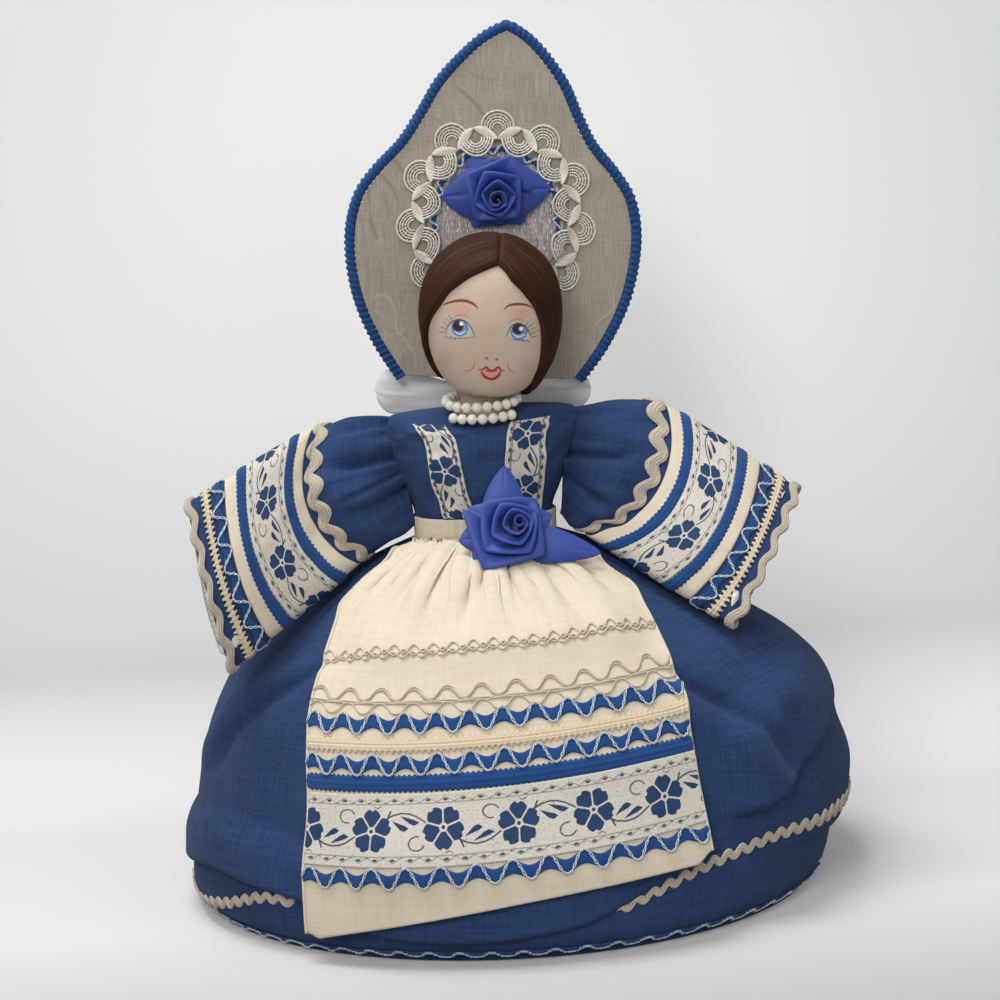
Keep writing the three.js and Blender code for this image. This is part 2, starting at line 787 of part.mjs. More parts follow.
function headPoint(angle, height, lift) {
  const index = indexOf(headHeights, height);
  const step = 0.04;
  const rise = between(headHeights, index + step) - between(headHeights, index - step);
  const run = between(headRadii, index + step) - between(headRadii, index - step);
  const length = Math.hypot(rise, run);
  const radius = between(headRadii, index) + (lift * rise) / length;
  return new THREE.Vector3(
    radius * sin(angle),
    -(radius * headDepthRatio + (lift * rise * (1 - headDepthRatio)) / length) * cos(angle),
    height - (lift * run) / length,
  ).applyMatrix4(headFrame);
}

function headSolid(lift) {
  const body = new Body();
  const grid = body.grid(headRows.length, headColumns, (k, i) => (
    headPoint(columnAngle(i, headColumns), headRows[k], lift)
  ));
  const pole = (height) => body.point(new THREE.Vector3(0, 0, height).applyMatrix4(headFrame));
  body.skin(grid, true, true);
  body.fan(grid[0], pole(headHeights[0] - lift), true);
  body.fan(grid[grid.length - 1], pole(headHeights[headHeights.length - 1] + lift), false);
  return body.geometry();
}

/** Stuffed body with its neck, the bodice over it, the straps, the waistband, head and hair. */
function addBody() {
  const stuffing = solidOf(bodySheet(0, [...coreRings, ...neckRings]));
  addPiece('body_stuffing', cut(stuffing, headSolid(seat)), white);

  const inner = bodySheet(seat, coreRings);
  const outer = bodySheet(seat + linen, coreRings);
  const bodice = shell(
    coreRings.length,
    bodyColumns,
    (k, i) => outer.points[k][i].clone(),
    (k, i) => inner.points[k][i].clone(),
    { closed: true },
  );
  addPiece('bodice', bodice, navy);

  const strap = (name, [footEdges, topEdges]) => {
    const place = (k, i) => {
      const row = strapRows[k];
      const share = k / (strapRows.length - 1);
      const edges = [0, 1].map((side) => lerp(footEdges[side], topEdges[side], share));
      const halfWidth = readTable(coreRings.map((ring, n) => [n, ring[3]]), row, 1) + seat + linen;
      const angle = asin(clamp(lerp(edges[0], edges[1], i / 3) / halfWidth, -1, 1));
      return [row, (angle / (2 * PI)) * bodyColumns];
    };
    addPiece(name, outer.lay(strapRows.length, 4, place, curveGap, ribbonThickness, false), white);
  };
  strap('right_bodice_strap', rightStrapEdges);
  strap('left_bodice_strap', leftStrapEdges);

  const bandRow = (height) => (height - stuffingFoot) / (bodyRings[0][0] - stuffingFoot);
  const band = (k, i) => [bandRow(waistbandFoot + k * waistbandHeight), i];
  const waistband = outer.lay(2, bodyColumns, band, seat, waistbandThickness);
  addPiece('apron_waistband', waistband, cream);

  addPiece('head', headSolid(0), skin);
  const hairPoint = (lift) => (k, i) => {
    const from = degToRad(hairlines[k]);
    const height = headRows[headRows.length - hairlines.length + k];
    return headPoint(lerp(from, 2 * PI - from, i / hairColumns), height, lift);
  };
  const rowCount = hairlines.length;
  const hair = shell(rowCount, hairColumns + 1, hairPoint(hairGap + hairThickness), hairPoint(hairGap));
  addPiece('hair', hair, brown);
}

/** String of beads on its thread. Its centre line is given by a share from 0 to 1. */
function beadString(centreAt, beadCount, closed) {
  const body = new Body();
  const widths = [threadDiameter / 2, beadDiameter / 2.1, beadDiameter / 2.1];
  const stations = [0, 0.3, 0.7];
  const count = 3 * beadCount + (closed ? 0 : 1);
  const ringAt = (k, i) => {
    const share = (floor(k / 3) + stations[k % 3]) / beadCount;
    const centre = centreAt(share);
    const along = centreAt(share + 0.001).sub(centreAt(share - 0.001)).normalize();
    const up = new THREE.Vector3(0, 0, 1).addScaledVector(along, -along.z).normalize();
    const out = along.clone().cross(up);
    const turn = columnAngle(i, beadSides);
    return centre
      .addScaledVector(out, widths[k % 3] * cos(turn))
      .addScaledVector(up, widths[k % 3] * sin(turn));
  };
  const grid = body.grid(count, beadSides, ringAt);
  if (closed) grid.push(grid[0]);
  body.skin(grid, true, false);
  if (!closed) {
    body.fan(grid[0], body.middle(grid[0]), false);
    body.fan(grid[count - 1], body.middle(grid[count - 1]), true);
  }
  return body.geometry();
}

/** Two strings of beads: the upper one goes round the neck, the lower one hangs in front. */
function addNecklaces() {
  const strandPoint = (angle, radius, height) => new THREE.Vector3(
    neckMiddle.x + radius * sin(angle),
    neckMiddle.y - radius * cos(angle),
    height,
  );
  const upper = (share) => {
    const angle = 2 * PI * share;
    const back = smoothstep(-cos(angle), -0.6, 0.5);
    const height = upperStrandHeight + upperStrandRise * smoothstep(-cos(angle), -1, 0.2);
    return strandPoint(angle, lerp(upperStrandFront, upperStrandBack, back), height);
  };
  const half = (lowerStrandBeads * beadPitch) / lowerStrandRadius / 2;
  const lower = (share) => {
    const angle = lerp(-half, half, share);
    const height = lowerStrandHeight + lowerStrandRise * (1 - cos(angle));
    return strandPoint(angle, lowerStrandRadius, height);
  };
  const roundCount = Math.round((PI * (upperStrandFront + upperStrandBack)) / beadPitch);
  addPiece('necklace_upper', beadString(upper, roundCount, true), pearl);
  addPiece('necklace_lower', beadString(lower, lowerStrandBeads, false), pearl);
}

/** Flat piece in the headdress plane: outline points in x and z, between two depths. */
function plate(outline, front, back) {
  const shape = new THREE.Shape(outline.map(([x, z]) => new THREE.Vector2(x, z)));
  const body = new Body();
  const near = outline.map(([x, z]) => body.point(new THREE.Vector3(x, front, z)));
  const far = outline.map(([x, z]) => body.point(new THREE.Vector3(x, back, z)));
  THREE.ShapeUtils.triangulateShape(shape.getPoints(), []).forEach(([a, b, c]) => {
    body.indices.push(near[a], near[b], near[c], far[c], far[b], far[a]);
  });
  body.wall(far, near, true);
  return body.geometry();
}

/** Right half of the board's outline from the foot to the peak, then back down the left. */
function boardOutline() {
  const curve = new THREE.SplineCurve(boardHalfOutline.map(([x, z]) => new THREE.Vector2(x, z)));
  const half = curve.getPoints(18).map((point) => [point.x, point.y]);
  const peak = half[half.length - 1][1];
  const moved = (side) => ([x, z]) => [side * x + peakShift * (z / peak) ** 3, z];
  return [...half.map(moved(1)), ...half.slice(0, -1).reverse().map(moved(-1))];
}

/** Tube that follows an open outline outside its edge, with a ring at each of its points. */
function edgeTube(outline, radius, gap) {
  const body = new Body();
  const points = outline.map(([x, z]) => new THREE.Vector2(x, z));
  const normalAfter = (i) => {
    const from = points[clamp(i, 0, points.length - 2)];
    const to = points[clamp(i, 0, points.length - 2) + 1];
    return new THREE.Vector2(to.y - from.y, from.x - to.x).normalize();
  };
  const ringAt = (k, i) => {
    const before = normalAfter(max(k - 1, 0));
    const after = normalAfter(k);
    const mitre = before.clone().add(after).normalize();
    const stretch = 1 / max(mitre.dot(after), 0.5);
    const turn = columnAngle(i, edgingSides);
    const out = (gap + radius + radius * cos(turn)) * stretch;
    return new THREE.Vector3(
      points[k].x + mitre.x * out,
      boardThickness / 2 - radius * sin(turn),
      points[k].y + mitre.y * out,
    );
  };
  const grid = body.grid(points.length, edgingSides, ringAt);
  body.skin(grid, true, false);
  body.fan(grid[0], body.middle(grid[0]), false);
  body.fan(grid[points.length - 1], body.middle(grid[points.length - 1]), true);
  return body.geometry();
}

/** Arch-shaped band round the middle of the headdress, from an outer and an inner radius. */
function archBand(count, reach, outerAt, innerAt, front, back) {
  const pointAt = (radiusAt) => (n) => {
    const angle = lerp(-reach, reach, n / count);
    const radius = radiusAt(angle, n) + laceLegSpread * max(0, -cos(angle));
    return [archMiddle.x + radius * sin(angle), archMiddle.y + radius * cos(angle)];
  };
  const steps = Array.from({ length: count + 1 }, (_, n) => n);
  const outer = steps.map(pointAt(outerAt));
  const inner = steps.map(pointAt(innerAt));
  const body = new Body();
  const line = (points, depth) => points.map(([x, z]) => body.point(new THREE.Vector3(x, depth, z)));
  const grid = [line(inner, front), line(outer, front), line(outer, back), line(inner, back)];
  grid.push(grid[0]);
  body.skin(grid, false, true);
  const end = (i) => grid.slice(0, 4).map((row) => row[i]);
  const [first, last] = [end(0), end(count)];
  body.quad(...first);
  body.quad(...last.reverse());
  return body.geometry();
}

/** Rosette of wound ribbon: petals spiral in and rise to a bud over a flat round back. */
function roseGeometry(radius, depth) {
  const body = new Body();
  const spiral = (ring, angle) => {
    const share = ring / roseRings;
    const phase = (angle / (2 * PI)) * rosePetals + share * roseTurns;
    const petal = phase - floor(phase);
    const dome = 1 - roseRimDrop * share ** 1.6;
    return depth * dome * lerp(1 - petalStep, 1, petal);
  };
  const grid = body.grid(roseRings, roseColumns, (k, i) => {
    const share = 1 - k / roseRings;
    const angle = columnAngle(i, roseColumns) + 0.3 * k;
    const outline = 1 + petalBulge * cos(rosePetals * angle) * share;
    const reach = radius * share * outline;
    return new THREE.Vector3(reach * sin(angle), -spiral(roseRings - k, angle), reach * cos(angle));
  });
  const back = body.grid(1, roseColumns, (k, i) => {
    const angle = columnAngle(i, roseColumns);
    return new THREE.Vector3(roseBackShare * radius * sin(angle), 0, roseBackShare * radius * cos(angle));
  })[0];
  body.skin([back, ...grid], true, false);
  body.fan(grid[roseRings - 1], body.point(new THREE.Vector3(0, -depth, 0)), true);
  body.fan(back, body.middle(back), false);
  return body.geometry();
}

/** Pointed leaf of folded ribbon: a kite with a raised midrib, its root at the origin. */
function leafGeometry({ length, halfWidth }) {
  const body = new Body();
  const across = [-1, 0, 1];
  const along = [0, 0.35, 0.7, 1];
  const widths = [0.8, 1, 0.6, 0.06];
  const front = body.grid(4, 3, (k, i) => new THREE.Vector3(
    across[i] * widths[k] * halfWidth,
    -leafThickness - (across[i] === 0 ? leafRidge : 0),
    along[k] * length,
  ));
  const back = body.grid(4, 3, (k, i) => new THREE.Vector3(
    across[i] * widths[k] * halfWidth,
    across[i] === 0 ? -leafRidge : 0,
    along[k] * length,
  ));
  body.skin(front, false, true);
  body.skin(back, false, false);
  body.wall(back[0], front[0], false);
  body.wall(front[3], back[3], false);
  const side = (grid, i) => grid.map((row) => row[i]);
  body.wall(side(front, 0), side(back, 0), false);
  body.wall(side(back, 2), side(front, 2), false);
  return body.geometry();
}

/** Stiff pointed headdress: covered board, corded edge, lace arch, braid, panel and rose. */
function addHeaddress() {
  const headBack = chin.y + max(...headRadii) * headDepthRatio;
  const headdress = new THREE.Group();
  headdress.position.copy(boardFoot).setY(headBack + hairGap + hairThickness + seat);
  headdress.rotation.y = lean;
  doll.add(headdress);

  const outline = boardOutline();
  addPiece('headdress_board', plate(outline, 0, boardThickness), brocade, headdress);
  addPiece('headdress_edging', edgeTube(outline, edgingDiameter / 2, seat), cobalt, headdress);

  const onBoard = (thickness) => [-seat - thickness, -seat];
  const scallop = (angle, n) => (n % 3 === 1 ? laceScallop : 0);
  const lace = archBand(
    3 * laceMedallions,
    archReach,
    (angle, n) => laceOuterRadius + scallop(angle, n),
    (angle, n) => laceInnerRadius + laceScallop - scallop(angle, n),
    ...onBoard(braidThickness),
  );
  addPiece('headdress_lace', lace, cream, headdress);

  const panelAngle = Math.acos((panelFoot - archMiddle.y) / panelRadius);
  const panel = Array.from({ length: 25 }, (_, n) => {
    const angle = lerp(panelAngle, -panelAngle, n / 24);
    return [archMiddle.x + panelRadius * sin(angle), archMiddle.y + panelRadius * cos(angle)];
  });
  addPiece('headdress_panel', plate(panel, ...onBoard(ribbonThickness)), silver, headdress);

  const panelFront = -seat - ribbonThickness;
  const braidFront = panelFront - seat - braidThickness;
  const braidOuter = panelRadius - seat;
  const tooth = (n) => (n % 2 === 0 ? 0.8 : 0);
  const braid = archBand(
    40,
    braidReach,
    (angle, n) => braidOuter - tooth(n) - laceLegSpread * max(0, -cos(angle)),
    (angle, n) => braidOuter - braidRingWidth - tooth(n + 1) - laceLegSpread * max(0, -cos(angle)),
    braidFront,
    panelFront - seat,
  );
  addPiece('headdress_zigzag_braid', braid, cobalt, headdress);

  const baseFront = braidFront - seat - ribbonThickness;
  const [w, h] = [roseBaseHalfWidth, roseBaseHalfHeight];
  const base = [[w, 0], [0.45 * w, 0.9 * h], [-0.45 * w, h], [-w, 0], [-0.4 * w, -h], [0.5 * w, -0.9 * h]]
    .map(([x, z]) => [headRoseAt.x + x, headRoseAt.y + z]);
  addPiece('headdress_rose_base', plate(base, baseFront, braidFront - seat), satinBlue, headdress);
  const rose = addPiece('headdress_rose', roseGeometry(roseRadius, roseDepth), satinBlue, headdress);
  rose.position.set(headRoseAt.x, baseFront - seat, headRoseAt.y);
}

/** White ribbon tied behind the neck: a knot and a loop to each side. */
function addBow() {
  const knot = new Body();
  const rings = [-0.9, -0.45, 0.45, 0.9];
  const grid = knot.grid(rings.length, 8, (k, i) => {
    const radius = bowKnotRadius * sqrt(1 - 0.7 * rings[k] ** 2);
    const turn = columnAngle(i, 8);
    return new THREE.Vector3(radius * sin(turn), -0.8 * radius * cos(turn), rings[k] * bowKnotRadius);
  });
  knot.skin(grid, true, true);
  knot.fan(grid[0], knot.middle(grid[0]), true);
  knot.fan(grid[3], knot.middle(grid[3]), false);
  addPiece('bow_knot', knot.geometry(), white).position.copy(bowKnotAt);

  const loop = (name, side, { length, height, rise }) => {
    const outline = Array.from({ length: 14 }, (_, n) => {
      const angle = (2 * PI * n) / 14;
      const share = (1 - cos(angle)) / 2;
      const swell = 0.22 + 0.78 * sqrt(share);
      return [side * (bowKnotRadius + seat + share * length), rise * share + (sin(angle) * height * swell) / 2];
    });
    const ordered = side > 0 ? outline.reverse() : outline;
    const mesh = addPiece(name, plate(ordered, -bowThickness / 2, bowThickness / 2), white);
    mesh.position.copy(bowKnotAt);
  };
  loop('bow_right_loop', -1, rightLoop);
  loop('bow_left_loop', 1, leftLoop);
}

/** Satin rose on the waistband, with two folded leaves behind it. */
function addWaistRose() {
  const group = new THREE.Group();
  const bust = bodyRings[2][4] + linen + curveGap + ribbonThickness + 2 * seat;
  const leafReach = topLeaf.root[1] + topLeaf.length;
  const standOut = bust + leafReach * sin(waistRoseTilt) - waistRoseTuck;
  group.position.set(waistRoseAt[0], -standOut, waistRoseAt[1]);
  group.rotation.x = -waistRoseTilt;
  doll.add(group);
  const leaf = (name, size) => {
    const mesh = addPiece(name, leafGeometry(size), satinBlue, group);
    mesh.rotation.y = -size.turn;
    mesh.position.set(size.root[0], 0, size.root[1]);
  };
  leaf('waist_rose_top_leaf', topLeaf);
  leaf('waist_rose_side_leaf', sideLeaf);
  const rose = addPiece('waist_rose', roseGeometry(waistRoseRadius, waistRoseDepth), satinBlue, group);
  rose.position.y = -leafThickness - leafRidge - seat;
}

/** Height share of a column of an arm, with its columns spread evenly over the flat faces. */
const heightShare = (turn) => cos(turn) * (1 - sectionFullness * sin(turn) ** 2);

/** Surface of one arm, from its round face at the hinge (share 0) to the cuff (share 1). */
class ArmShape {
  constructor(arm) {
    this.arm = arm;
    const { side, hinge, reach } = arm;
    this.hinge = new THREE.Vector3(side * hinge.x, hinge.y, hinge.z);
    this.sleeveRadius = puffRadius + bendGap - faceTrim;
    const chordTop = this.facePoint(1, this.sleeveRadius);
    const chordFoot = this.facePoint(-1, this.sleeveRadius);
    const chordMiddle = chordTop.add(chordFoot).divideScalar(2);
    this.cuffMiddle = chordMiddle.addScaledVector(reach.clone().normalize(), sleeveLength);
  }

  /** Round bar about the hinge, which the puff is trimmed to and the sleeve is hollowed by. */
  faceBar(radius) {
    const body = new Body();
    const grid = body.grid(2, faceSides, (k, i) => {
      const turn = columnAngle(i, faceSides);
      const x = this.hinge.x + radius * cos(turn);
      return new THREE.Vector3(x, (1 - 2 * k) * puffRadius, this.hinge.z + radius * sin(turn));
    });
    body.skin(grid, true, true);
    body.fan(grid[0], body.middle(grid[0]), true);
    body.fan(grid[1], body.middle(grid[1]), false);
    return body.geometry();
  }

  /** Point of the round face at height share c, from -1 at the foot to 1 at the top. */
  facePoint(c, radius) {
    const { side, faceMiddle, faceHalf, startDepth } = this.arm;
    const angle = faceMiddle + c * faceHalf;
    const depth = lerp(startDepth[1], startDepth[0], (c + 1) / 2);
    return new THREE.Vector3(
      this.hinge.x + side * radius * cos(angle),
      depth,
      this.hinge.z + radius * sin(angle),
    );
  }

  sleevePoint(share, turn) {
    const c = heightShare(turn);
    const from = this.facePoint(c, this.sleeveRadius);
    const to = this.cuffMiddle.clone().addScaledVector(this.arm.cuffHalf, c);
    const middle = from.lerp(to, share);
    const half = between(sleeveHalfThickness, share * (sleeveHalfThickness.length - 1));
    middle.y -= this.arm.side * half * sin(turn);
    return middle;
  }

  puffPoint(share, turn) {
    const c = heightShare(turn);
    const { side } = this.arm;
    const [topX, topZ] = armholeTop;
    const [footX, footZ] = armholeFoot;
    const shoulderX = bodyRings[3][1] + side * lerp(footX, topX, (c + 1) / 2);
    const depth = lerp(this.arm.startDepth[1], this.arm.startDepth[0], (c + 1) / 2);
    const from = new THREE.Vector3(shoulderX, depth * 0.4, lerp(footZ, topZ, (c + 1) / 2));
    const middle = from.lerp(this.facePoint(c, puffRadius + faceTrim), share);
    const half = between(puffHalfThickness, share * (puffHalfThickness.length - 1));
    middle.y -= side * half * sin(turn);
    return middle;
  }
}

/** One arm: the gathered puff on the bodice, and the sleeve with its stuffing and trims. */
function addArm(arm) {
  const shape = new ArmShape(arm);
  const named = (part) => `${arm.name}_${part}`;
  const turnOf = (i) => columnAngle(i, armColumns);

  const puffRows = 4;
  const puffSheet = new Sheet(puffRows, armColumns, true, (k, i) => (
    shape.puffPoint(k / (puffRows - 1), turnOf(i))
  ));
  const puff = common(solidOf(puffSheet, 0, 0, puffRows - 1, 'strips'), shape.faceBar(puffRadius));
  const bodiceCutter = solidOf(bodySheet(2 * seat + linen, coreRings));
  const waistCutter = solidOf(bodySheet(3 * seat + linen + waistbandThickness, coreRings), 0, 0, 1);
  addPiece(named('sleeve_puff'), cut(cut(puff, bodiceCutter), waistCutter), navy);

  const innerBraid = creamBandStart + creamEdge;
  const jacquard = innerBraid + sleeveBlueBraid;
  const outerBraid = jacquard + sleeveJacquard;
  const bandEnd = creamBandStart + creamBandWidth;
  const picotEnd = picotStart + sleevePicot;
  const marks = [0, creamBandStart, jacquard, outerBraid, bandEnd, picotStart, picotEnd, sleeveLength];
  const sheet = new Sheet(marks.length, armColumns, true, (k, i) => (
    shape.sleevePoint(marks[k] / sleeveLength, turnOf(i))
  ));
  const rowAt = (distance) => {
    const k = clamp(marks.findIndex((mark) => mark > distance) - 1, 0, marks.length - 2);
    const row = distance >= sleeveLength ? marks.length - 2 : k;
    return row + (distance - marks[row]) / (marks[row + 1] - marks[row]);
  };
  const whole = (k, i) => [k, i];
  const hollow = shape.faceBar(puffRadius + bendGap);
  const sleeve = sheet.lay(marks.length, armColumns, whole, -linen, linen);
  addPiece(named('sleeve'), cut(sleeve, hollow), navy);
  const stuffingEnd = rowAt(sleeveLength - cuffRecess);
  const stuffing = solidOf(sheet, -linen - seat, 0, stuffingEnd, 'strips');
  addPiece(named('arm_stuffing'), cut(stuffing, hollow), batting);

  const band = (part, from, width, lift, thickness, material) => {
    const inside = marks.filter((mark) => mark > from && mark < from + width);
    const stops = [from, ...inside, from + width];
    const place = (k, i) => [rowAt(stops[k]), i];
    addPiece(named(part), sheet.lay(stops.length, armColumns, place, lift, thickness), material);
  };
  const wavy = (part, middle, material) => {
    const place = (k, i) => {
      const swing = i % 2 === 0 ? sleeveRickrackWave : -sleeveRickrackWave;
      return [rowAt(middle + swing + (k - 0.5) * sleeveRickrackWidth), i / 2];
    };
    addPiece(named(part), sheet.lay(2, 2 * armColumns, place, waveGap, rickrackThickness), material);
  };
  const onBand = 2 * seat + ribbonThickness;
  const blueWidth = sleeveBlueBraid - trimGap;
  wavy('shoulder_rickrack', shoulderRickrackAt, silver);
  band('sleeve_cream_band', creamBandStart, creamBandWidth, seat, ribbonThickness, cream);
  band('sleeve_inner_blue_braid', innerBraid, blueWidth, onBand, gimpThickness, cobalt);
  band('sleeve_jacquard', jacquard, sleeveJacquard - trimGap, onBand, ribbonThickness, white);
  band('sleeve_outer_blue_braid', outerBraid, blueWidth, onBand, gimpThickness, cobalt);
  band('sleeve_zigzag_braid', zigzagStart, sleeveZigzag, seat, braidThickness, cobalt);
  band('sleeve_picot_braid', picotStart, sleevePicot, seat, braidThickness, cream);
  wavy('cuff_rickrack', sleeveLength - sleeveRickrackWave - sleeveRickrackWidth / 2, silver);
}

addSkirt();
addSkirtTrims();
addApron();
addBody();
addNecklaces();
addHeaddress();
addBow();
addWaistRose();
addArm(rightArm);
addArm(leftArm);

export default doll;
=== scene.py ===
"""Looks of the tea cozy doll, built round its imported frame. Shapes are worked out in millimetres."""

import json
import logging
import math
from abc import ABC, abstractmethod
from dataclasses import dataclass
from enum import Enum
from typing import Callable, ClassVar

import bpy
import numpy as np
from mathutils import Matrix, Vector

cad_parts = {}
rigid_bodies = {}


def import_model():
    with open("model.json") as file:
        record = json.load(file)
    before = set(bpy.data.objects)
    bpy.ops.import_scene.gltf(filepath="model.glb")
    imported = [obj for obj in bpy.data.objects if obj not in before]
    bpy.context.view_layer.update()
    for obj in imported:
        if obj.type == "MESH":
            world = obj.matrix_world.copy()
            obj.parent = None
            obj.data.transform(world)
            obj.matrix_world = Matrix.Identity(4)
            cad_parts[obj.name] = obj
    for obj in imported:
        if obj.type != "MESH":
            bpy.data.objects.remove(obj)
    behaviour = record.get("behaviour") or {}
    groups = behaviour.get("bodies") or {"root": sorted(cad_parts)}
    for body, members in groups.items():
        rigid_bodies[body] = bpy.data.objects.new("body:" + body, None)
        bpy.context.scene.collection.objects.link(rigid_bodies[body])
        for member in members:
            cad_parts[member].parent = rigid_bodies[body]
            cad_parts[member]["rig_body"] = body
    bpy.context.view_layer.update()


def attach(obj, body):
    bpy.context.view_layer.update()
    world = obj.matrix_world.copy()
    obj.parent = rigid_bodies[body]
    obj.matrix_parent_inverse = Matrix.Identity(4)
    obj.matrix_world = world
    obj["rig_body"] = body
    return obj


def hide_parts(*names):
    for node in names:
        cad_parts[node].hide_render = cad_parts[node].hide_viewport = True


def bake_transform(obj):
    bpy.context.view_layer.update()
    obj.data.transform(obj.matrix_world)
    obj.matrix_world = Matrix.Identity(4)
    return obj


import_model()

LOG = logging.getLogger("doll")
MM = 0.001
TAU = 2 * math.pi
Array = np.ndarray
Socket = bpy.types.NodeSocket


def smooth(x: Array, low: float, high: float) -> Array:
    """Smooth step of x, from 0 at low to 1 at high."""
    t = np.clip((x - low) / (high - low), 0, 1)
    return t * t * (3 - 2 * t)


def mix(a: Array, b: Array, share: Array) -> Array:
    """Value that lies at share of the way from a to b."""
    return a + (b - a) * share


def between(values: Array, index: Array) -> Array:
    """Smooth curve through a list of values or points, read at fractional indices.

    The formula is the cubic through each pair that leaves with the slope of its neighbours.

    Args:
        values: The list, one row per entry.
        index: Fractional indices into it.

    Returns:
        One value or point for each index.
    """
    v = np.asarray(values, float)
    last = len(v) - 1
    i = np.clip(np.floor(index).astype(int), 0, last - 1)
    t = np.clip(index - i, 0, 1)
    if v.ndim == 2:
        t = t[..., None]
    a, b, c, d = v[np.maximum(i - 1, 0)], v[i], v[i + 1], v[np.minimum(i + 2, last)]
    return b + 0.5 * ((c - a) * t + (2 * a - 5 * b + 4 * c - d) * t**2 + (3 * (b - c) + d - a) * t**3)


def unit(vectors: Array) -> Array:
    """Vectors scaled to a length of one."""
    return vectors / np.maximum(np.linalg.norm(vectors, axis=-1, keepdims=True), 1e-9)


def stack(*parts: Array) -> Array:
    """Coordinates of any shapes brought to one shape and stacked on a last axis."""
    return np.stack(np.broadcast_arrays(*parts), axis=-1)


def corners(grid: Array) -> Array:
    """The four corners of every cell of a grid, anticlockwise from the lowest row and column."""
    return np.stack([grid[:-1, :-1], grid[:-1, 1:], grid[1:, 1:], grid[1:, :-1]], axis=2)


def run_along(path: Array) -> Array:
    """Distance along a path at each of its points."""
    return np.concatenate([[0], np.cumsum(np.linalg.norm(np.diff(path, axis=0), axis=1))])


def around(count: int) -> Array:
    """Angles right round from the back, in one row, so that the seam lies behind."""
    return np.linspace(-math.pi, math.pi, count + 1)[None, :]


class Ripple:
    """Seeded smooth noise on a plane, from a lattice of random values that repeats."""

    CELLS: ClassVar[int] = 64

    def __init__(self, seed: int) -> None:
        """Draws the lattice."""
        self.lattice = np.random.default_rng(seed).uniform(-1, 1, (self.CELLS, self.CELLS))

    def __call__(self, x: Array, y: Array) -> Array:
        """Noise at places, one swing to about two units.

        Args:
            x: First coordinates.
            y: Second coordinates.

        Returns:
            Values from -1 to 1: the smooth mean of the four lattice values about each place.
        """
        x, y = np.broadcast_arrays(x, y)
        i, j = np.floor(x).astype(int), np.floor(y).astype(int)
        s, t = smooth(x - i, 0, 1), smooth(y - j, 0, 1)
        n = self.CELLS
        low = mix(self.lattice[i % n, j % n], self.lattice[(i + 1) % n, j % n], s)
        high = mix(self.lattice[i % n, (j + 1) % n], self.lattice[(i + 1) % n, (j + 1) % n], s)
        return mix(low, high, t)


class Caps(Enum):
    """Which open ends of a shell are closed by a fan of triangles."""

    NONE = "none"
    ENDS = "ends"
    POLES = "poles"


